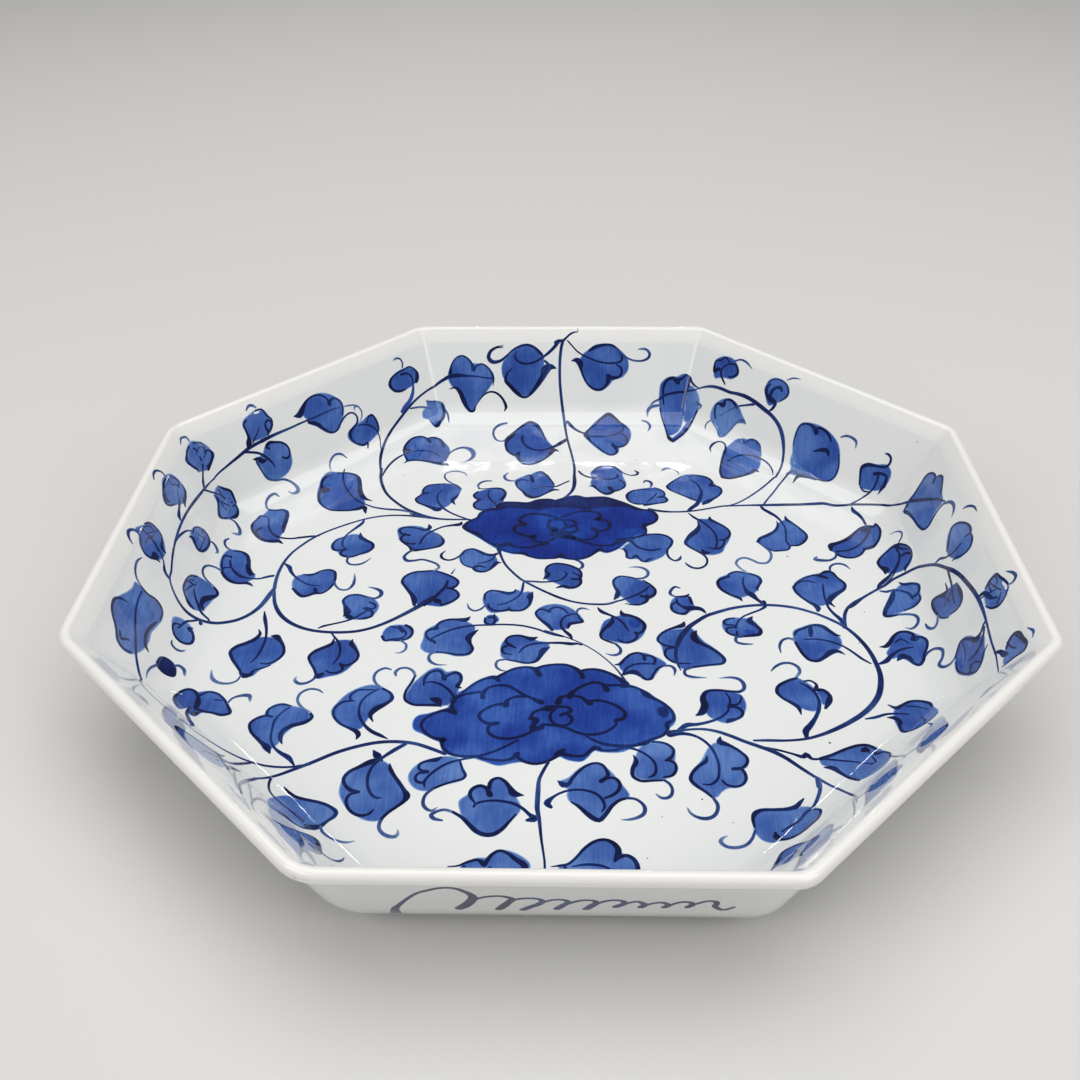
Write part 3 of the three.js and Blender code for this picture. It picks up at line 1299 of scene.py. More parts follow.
@dataclass(frozen=True)
class LineWork:
    """Draws lines: outlines, veins, tendrils and stems."""

    step: float = 0.9
    least_width: float = 0.3
    end_degs: tuple[float, ...] = (30.0, 58.0, 80.0)
    lift: float = 0.05
    lift_rise: float = 0.002
    lift_steps: int = 9
    sunk: float = -0.06
    edge_cover: float = 0.4
    body_share: float = 0.62
    tail: float = 0.35

    def course(self, stroke: Stroke) -> tuple[np.ndarray, ...]:
        """Follows a line with the brush.

        Args:
            stroke: the line.

        Returns:
            For each step the place in plan, half the width, the heading and the share of ink.
        """
        curve = through(stroke.points, self.step, False)
        path, half = curve[:, :2], np.maximum(curve[:, 2] - stroke.brush.shrinking, self.least_width) / 2
        heading = np.gradient(path, axis=0)
        heading /= np.maximum(np.hypot(*heading.T), LEAST_LENGTH)[:, None]
        run = np.concatenate([[0], np.cumsum(np.hypot(*np.diff(path, axis=0).T))])
        return path, half, heading, 1 - stroke.brush.fading * self.tails(run / run[-1])

    def round_off(
        self, path: np.ndarray, half: np.ndarray, heading: np.ndarray, ink: np.ndarray
    ) -> tuple[np.ndarray, ...]:
        """Gives a line round ends.

        Args:
            path: its places in plan.
            half: half its width at each place.
            heading: its direction there.
            ink: the share of ink there.

        Returns:
            The same four, with the steps of both ends.
        """
        angles = np.radians(self.end_degs)
        for end, sign in ((0, -1.0), (-1, 1.0)):
            beyond = path[end] + sign * heading[end] * (half[end] * np.sin(angles))[:, None]
            narrow, still = half[end] * np.cos(angles), np.repeat(heading[end:][:1], len(angles), axis=0)
            tail = np.repeat(ink[end:][:1], len(angles))
            if end == 0:
                path, half = np.vstack([beyond[::-1], path]), np.concatenate([narrow[::-1], half])
                heading, ink = np.vstack([still, heading]), np.concatenate([tail, ink])
            else:
                path, half = np.vstack([path, beyond]), np.concatenate([half, narrow])
                heading, ink = np.vstack([heading, still]), np.concatenate([ink, tail])
        return path, half, heading, ink

    def draw(self, paint: Paint, stroke: Stroke, order: int, grounds: Grounds) -> None:
        """Adds one line to the paint.

        Args:
            paint: the piece that it belongs to.
            stroke: the line.
            order: its number, so that crossing lines don't share a height.
            grounds: the filled areas under it.
        """
        path, half, heading, ink = self.round_off(*self.course(stroke))
        left = np.column_stack([-heading[:, 1], heading[:, 0]])
        across = np.array([1.0, self.body_share, -self.body_share, -1.0])
        plan = (path[:, None] + left[:, None] * (half[:, None] * across)[:, :, None]).reshape(-1, 2)
        top = self.lift + self.lift_rise * (order % self.lift_steps)
        high, low = paint.plan.lay(plan, top, self.sunk)
        points: list[Vector] = []
        wide = len(across)
        for i in range(0, len(high), wide):
            points += [*high[i:i + wide], low[i + wide - 1], low[i]]
        ring = wide + 2
        faces = [
            (i * ring + j, i * ring + (j + 1) % ring, (i + 1) * ring + (j + 1) % ring, (i + 1) * ring + j)
            for i in range(len(path) - 1) for j in range(ring)
        ]
        last = (len(path) - 1) * ring
        faces += [tuple(reversed(range(ring))), tuple(last + j for j in range(ring))]
        cover = np.array([self.edge_cover, 1, 1, self.edge_cover, self.edge_cover, self.edge_cover])
        seen = grounds.under(plan)
        under = [seen[i + j] for i in range(0, len(seen), wide) for j in (0, 1, 2, 3, 3, 0)]
        paint.add(points, faces, stroke.brush.pigment, (ink[:, None] * cover).reshape(-1), under)

    def tails(self, share: np.ndarray) -> np.ndarray:
        """How far a stroke has run out, from 0 before its tail to 1 at its end."""
        return np.clip((share - 1 + self.tail) / self.tail, 0, 1)


def closed_shell(cells: list[list[int]], count: int) -> list[Face]:
    """Closes the faces of an area into a thin shell: its top, its underside and the rim between them.

    Args:
        cells: the faces of its top.
        count: how many points the top has. Those of the underside follow in the same order.

    Returns:
        All faces of the shell.
    """
    faces: list[Face] = []
    rim: dict[tuple[int, int], bool] = {}
    for cell in cells:
        faces += [tuple(cell), tuple(count + i for i in reversed(cell))]
        for first, second in zip(cell, (*cell[1:], cell[0])):
            rim[(first, second)] = (second, first) not in rim
            if not rim[(first, second)]:
                rim[(second, first)] = False
    bare = [edge for edge, alone in rim.items() if alone]
    return faces + [(second, first, count + first, count + second) for first, second in bare]


@dataclass(frozen=True)
class WashWork:
    """Fills leaves and petals with thin colour."""

    step: float = 0.9
    spread: float = 0.5
    rings: tuple[float, ...] = (0.4, 0.9, 2.2)
    ring_clearance: float = 0.85
    grid: float = 2.0
    grid_start: float = 0.6
    grid_depth: float = 1.5
    weld: float = 1e-4
    soft: float = 0.8
    lift: float = 0.008
    lift_rise: float = 0.0015
    sunk: float = -0.06

    def outline(self, stroke: Stroke) -> np.ndarray:
        """The smooth closed outline of a filled area."""
        return through(stroke.points[:, :2], self.step, True)

    def net(self, edge: np.ndarray, out: np.ndarray) -> np.ndarray:
        """Puts places inside an area: in rings along its edge and in a staggered grid further in.

        Args:
            edge: its outline.
            out: the way out of it at each of the outline's points.

        Returns:
            The outline's points and after them those inside.
        """
        low, high = edge.min(0), edge.max(0)
        xs, ys = (np.arange(low[i] + self.grid_start, high[i], self.grid) for i in (0, 1))
        grid = np.stack(np.meshgrid(xs, ys), -1)
        grid[::2, :, 0] += self.grid / 2
        layers = [(depth, edge - out * depth) for depth in self.rings]
        layers.append((self.rings[-1] * self.grid_depth, grid.reshape(-1, 2)))
        kept = []
        for depth, places in layers:
            clear = inside(places, edge) & (edge_distance(places, edge) > depth * self.ring_clearance)
            kept.append(places[clear])
        return np.vstack([edge, *kept])

    def fill(self, paint: Paint, stroke: Stroke, order: int, grounds: Grounds, area: int) -> None:
        """Adds one filled area to the paint.

        Args:
            paint: the piece that it belongs to.
            stroke: its outline.
            order: its number in the piece, so that areas that overlap don't share a height.
            grounds: all filled areas.
            area: this one's number among them.
        """
        line = self.outline(stroke)
        after = np.roll(line, -1, axis=0)
        if (line[:, 0] * after[:, 1] - after[:, 0] * line[:, 1]).sum() < 0:
            line = line[::-1]
        heading = np.roll(line, -1, axis=0) - np.roll(line, 1, axis=0)
        heading /= np.maximum(np.hypot(*heading.T), LEAST_LENGTH)[:, None]
        out = np.column_stack([heading[:, 1], -heading[:, 0]])
        edge = line + out * self.spread
        flat = [Vector(p) for p in self.net(edge, out)]
        ring = [list(range(len(line)))]
        spots, _, cells, _, _, _ = delaunay_2d_cdt(flat, [], ring, CDT_TRIANGLES_INSIDE, self.weld)
        plan = np.array([tuple(p) for p in spots])
        depth = edge_distance(plan, edge)
        top, bottom = paint.plan.lay(plan, self.lift + self.lift_rise * order, self.sunk)
        faces = closed_shell(cells, len(plan))
        cover = np.clip(depth / self.soft, 0, 1)
        under = grounds.under(plan, area)
        paint.add([*top, *bottom], faces, stroke.brush.pigment, np.tile(cover, 2), under * 2)


@dataclass(frozen=True)
class Painting:
    """The whole peony scroll of the well."""

    lines: LineWork = LineWork()
    washes: WashWork = WashWork()

    def paint(self, plan: WellPlan, wash: bpy.types.Material, line: bpy.types.Material) -> None:
        """Paints every sprig: first its filled areas and then its lines.

        Args:
            plan: where the strokes go.
            wash: the finish of the filled areas.
            line: the finish of the lines.
        """
        strokes = {sprig.name: sprig.strokes() for sprig in SHEET}
        filling = [stroke for drawn in strokes.values() for stroke in drawn if stroke.brush.fills]
        grounds = Grounds([(self.washes.outline(stroke), stroke.brush.pigment) for stroke in filling])
        order = area = 0
        for name, drawn in strokes.items():
            filled, lined = Paint(name + "_wash", plan), Paint(name + "_lines", plan)
            fills = [stroke for stroke in drawn if stroke.brush.fills]
            for i, stroke in enumerate(fills):
                self.washes.fill(filled, stroke, i, grounds, area)
                area += 1
            for stroke in drawn:
                if not stroke.brush.fills:
                    self.lines.draw(lined, stroke, order, grounds)
                    order += 1
            for paint, finish, slot in ((filled, wash, "cobalt_wash"), (lined, line, "cobalt_line")):
                if paint.faces:
                    piece = paint.piece(finish)
                    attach(piece, BODY)
                    log.info("%s: %d faces", piece.name, len(piece.data.polygons))


@dataclass
class WallPlan:
    """Takes a drawing for one outer wall to flat work that the throwing tree bends round the plate."""

    form: PlateForm
    flat_share: float
    margin: float = 1.0

    def __post_init__(self) -> None:
        """Takes the glazed wall's stations from the heel up to under the lip."""
        stations = offset(spaced(self.form.outside(), PLAN_STEP), self.form.glaze)
        under = self.form.lip_z - self.form.lip_depth - self.margin
        top = min(range(len(stations)), key=lambda i: abs(stations[i].z - under))
        wall = [s for s in stations[top:] if s.z > self.form.foot_height + self.margin][::-1]
        self.level = np.array([s.z for s in wall])
        self.apothem = np.array([s.a for s in wall])
        self.corner = np.array([s.r for s in wall])

    def lay(self, plan: np.ndarray, *lifts: np.ndarray | float) -> list[list[Vector]]:
        """Lays places of the drawing on the wall.

        Args:
            plan: rows of the way along the side and the height over the table, in millimetres.
            *lifts: how far out of the glaze, in millimetres.

        Returns:
            The places for each lift, with X counted in sides.
        """
        apothem, corner = (np.interp(plan[:, 1], self.level, row) for row in (self.apothem, self.corner))
        slide = plan[:, 0] / ((apothem - corner) * math.tan(SIDE_ANGLE / 2))
        return [
            [
                Vector((x * self.flat_share / 2, (a + up) * MM, z * MM))
                for x, a, z, up in zip(slide, apothem, plan[:, 1], np.broadcast_to(lift, len(plan)))
            ]
            for lift in lifts
        ]

    def corners(self, places: list[Vector]) -> list[float]:
        """The plan corner radius at each laid place, in metres."""
        return list(np.interp([p.z / MM for p in places], self.level, self.corner) * MM)


@dataclass(frozen=True)
class OuterScroll:
    """The running scroll that is brushed along each outer wall."""

    lines: LineWork = LineWork(lift=0.03)

    def paint(self, plate: Plate, line: bpy.types.Material) -> None:
        """Draws one side's scroll and repeats it round the plate.

        Args:
            plate: the body that carries it.
            line: its finish.
        """
        plan = WallPlan(plate.form, plate.flat_share)
        paint = Paint("outer_scroll", plan)
        for order, stroke in enumerate(OUTER_SHEET.strokes()):
            self.lines.draw(paint, stroke, order, Grounds([]))
        side = paint.mesh()
        side.attributes.new("corner", "FLOAT", "POINT").data.foreach_set("value", plan.corners(paint.points))
        values = {"Sides": SIDES, "Flat Share": plate.flat_share, "Finish": line}
        piece = grown(OUTER_SHEET.name, side, bpy.data.node_groups["throw_octagon"], values)
        smooth(piece.data, STROKE_CREASE_DEG)
        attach(piece, BODY)
        log.info("%s: %d faces", piece.name, len(piece.data.polygons))


@dataclass(frozen=True)
class KilnMarks:
    """What the firing leaves: iron specks in the glaze and grit round the bare foot.

    Each speck is its place on the unrolled plan of the well and its width, in millimetres.
    """

    specks: tuple[Spot, ...] = (
        (150.6, 69.6, 0.7), (-64, 81, 0.6), (32, 93, 0.5), (85, 26, 0.7), (107, -6.5, 0.5), (102, -23, 0.5),
        (84, -70, 0.8), (43, -93.3, 0.6), (31, -100, 0.4), (51, -102, 0.4), (26, -115, 0.5),
    )
    iron: ClayFinish = ClayFinish(
        "iron_speck", pale=(0.12, 0.09, 0.07), flashed=(0.05, 0.035, 0.03), dull=0.35
    )
    grit: ClayFinish = ClayFinish("kiln_grit", pale=(0.66, 0.58, 0.45), flashed=(0.36, 0.24, 0.15), dull=0.7)
    grit_density: float = 26000.0
    grit_radius: float = 0.00022
    grit_flatness: float = 0.6
    grit_seed: int = 5
    grit_from: float = 0.5
    steep: float = 0.9

    def keep(self, piece: bpy.types.Object) -> None:
        """Finishes one kind of mark and fixes it to the body.

        Args:
            piece: the marks.
        """
        smooth(piece.data, GRAIN_CREASE_DEG)
        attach(piece, BODY)
        log.info("%s: %d faces", piece.name, len(piece.data.polygons))

    def place(self, plan: WellPlan, foot: bpy.types.Mesh) -> None:
        """Lays the specks, and the grit on the steep bare faces of the foot.

        Args:
            plan: of the well.
            foot: the foot ring.
        """
        read = np.array(self.specks)
        places = bpy.data.meshes.new("speck_places")
        places.from_pydata(plan.lay(read[:, :2], 0.0)[0], [], [])
        places.attributes.new("width", "FLOAT", "POINT").data.foreach_set("value", read[:, 2])
        groups = bpy.data.node_groups
        values: dict[str, object] = {"Finish": self.iron.material()}
        self.keep(grown("iron_specks", places, groups["set_specks"], values))
        bottom, top = self.grit_from * MM, plan.form.bare_height * MM
        bare = picked(
            foot, "grit_ground", lambda p: bottom < p.center.z < top and abs(p.normal.z) < self.steep
        )
        values = {
            "Density": self.grit_density, "Grain Radius": self.grit_radius, "Flatness": self.grit_flatness,
            "Seed": self.grit_seed, "Finish": self.grit.material(),
        }
        self.keep(grown("foot_grit", bare, groups["scatter_grains"], values))


def picked(
    mesh: bpy.types.Mesh, name: str, wanted: Callable[[bpy.types.MeshPolygon], bool]
) -> bpy.types.Mesh:
    """Copies the faces of a mesh that a test picks.

    Args:
        mesh: the mesh.
        name: of the copy.
        wanted: the test of a face.

    Returns:
        The copy.
    """
    kept = bpy.data.meshes.new(name)
    faces = [tuple(p.vertices) for p in mesh.polygons if wanted(p)]
    used = sorted({i for face in faces for i in face})
    number = {old: new for new, old in enumerate(used)}
    renumbered = [tuple(number[i] for i in face) for face in faces]
    kept.from_pydata([mesh.vertices[i].co for i in used], [], renumbered)
    return kept


@dataclass(frozen=True)
class Panel:
    """One soft lamp: where it hangs, what it points at, its width and depth and its power in watts."""

    name: str
    place: Spot
    aim: Spot
    size: tuple[float, float]
    power: float

    def hang(self) -> None:
        """Puts the lamp into the scene."""
        lamp = bpy.data.lights.new(self.name, "AREA")
        lamp.shape, lamp.energy = "RECTANGLE", self.power
        lamp.size, lamp.size_y = self.size
        hung = bpy.data.objects.new(self.name, lamp)
        turn = (Vector(self.aim) - Vector(self.place)).to_track_quat("-Z", "Y").to_matrix().to_4x4()
        hung.matrix_world = Matrix.Translation(self.place) @ turn
        bpy.context.scene.collection.objects.link(hung)


@dataclass(frozen=True)
class Studio:
    """The camera that took the picture, a pale floor and plain soft lights."""

    eye: Vector = Vector((0.00346, -0.33439, 0.27704))
    target: Vector = Vector((-0.00563, -0.00966, 0.044))
    roll_deg: float = -0.695
    focal_px: float = 1202.16
    picture_px: float = 1080.0
    sensor_mm: float = 36.0
    nearest: float = 0.01
    floor_reach: float = 4.0
    floor_colour: Colour = (0.68, 0.67, 0.66)
    floor_roughness: float = 0.75
    room: float = 0.22
    panels: tuple[Panel, ...] = (
        Panel("key", (0.05, 0.15, 1.5), (0, 0, 0), (2.0, 1.3), 17.0),
        Panel("left", (-1.0, -0.78, 1.0), (0, 0, 0), (0.9, 0.9), 6.5),
        Panel("right", (1.0, -0.78, 1.0), (0, 0, 0), (0.9, 0.9), 6.5),
    )
    row: Panel = Panel("row", (0.0, 1.12, 0.64), (0, 0.1, 0), (0.06, 0.018), 0.11)
    row_lamps: int = 4
    row_gap: float = 0.095

    def camera(self) -> None:
        """Makes the scene camera at the photograph's viewing angle."""
        data = bpy.data.cameras.new("camera")
        data.sensor_width = self.sensor_mm
        data.lens = self.focal_px / self.picture_px * self.sensor_mm
        data.clip_start = self.nearest
        eye = bpy.data.objects.new("camera", data)
        turn = (self.target - self.eye).to_track_quat("-Z", "Y").to_matrix().to_4x4()
        roll = Matrix.Rotation(math.radians(self.roll_deg), 4, "Z")
        eye.matrix_world = Matrix.Translation(self.eye) @ turn @ roll
        bpy.context.scene.collection.objects.link(eye)
        bpy.context.scene.camera = eye

    def floor(self) -> None:
        """Lays the plain pale floor."""
        mesh = bpy.data.meshes.new("floor")
        far = self.floor_reach
        mesh.from_pydata([(-far, -far, 0), (far, -far, 0), (far, far, 0), (-far, far, 0)], [], [(0, 1, 2, 3)])
        plane = bpy.data.objects.new("floor", mesh)
        bpy.context.scene.collection.objects.link(plane)
        finish = bpy.data.materials.new("pale_floor")
        finish.use_nodes = True
        shader = finish.node_tree.nodes["Principled BSDF"]
        shader.inputs["Base Color"].default_value = (*self.floor_colour, 1)
        shader.inputs["Roughness"].default_value = self.floor_roughness
        mesh.materials.append(finish)

    def lights(self) -> None:
        """Hangs the panels and the row of small lamps, and sets the even room light."""
        for panel in self.panels:
            panel.hang()
        for i in range(self.row_lamps):
            aside = (i - (self.row_lamps - 1) / 2) * self.row_gap
            place = (aside, *self.row.place[1:])
            replace(self.row, name="%s_%d" % (self.row.name, i), place=place).hang()
        world = bpy.data.worlds.new("room")
        world.use_nodes = True
        shade = world.node_tree.nodes["Background"]
        shade.inputs["Color"].default_value = (1, 1, 1, 1)
        shade.inputs["Strength"].default_value = self.room
        bpy.context.scene.world = world
        bpy.context.scene.view_settings.view_transform = "Standard"


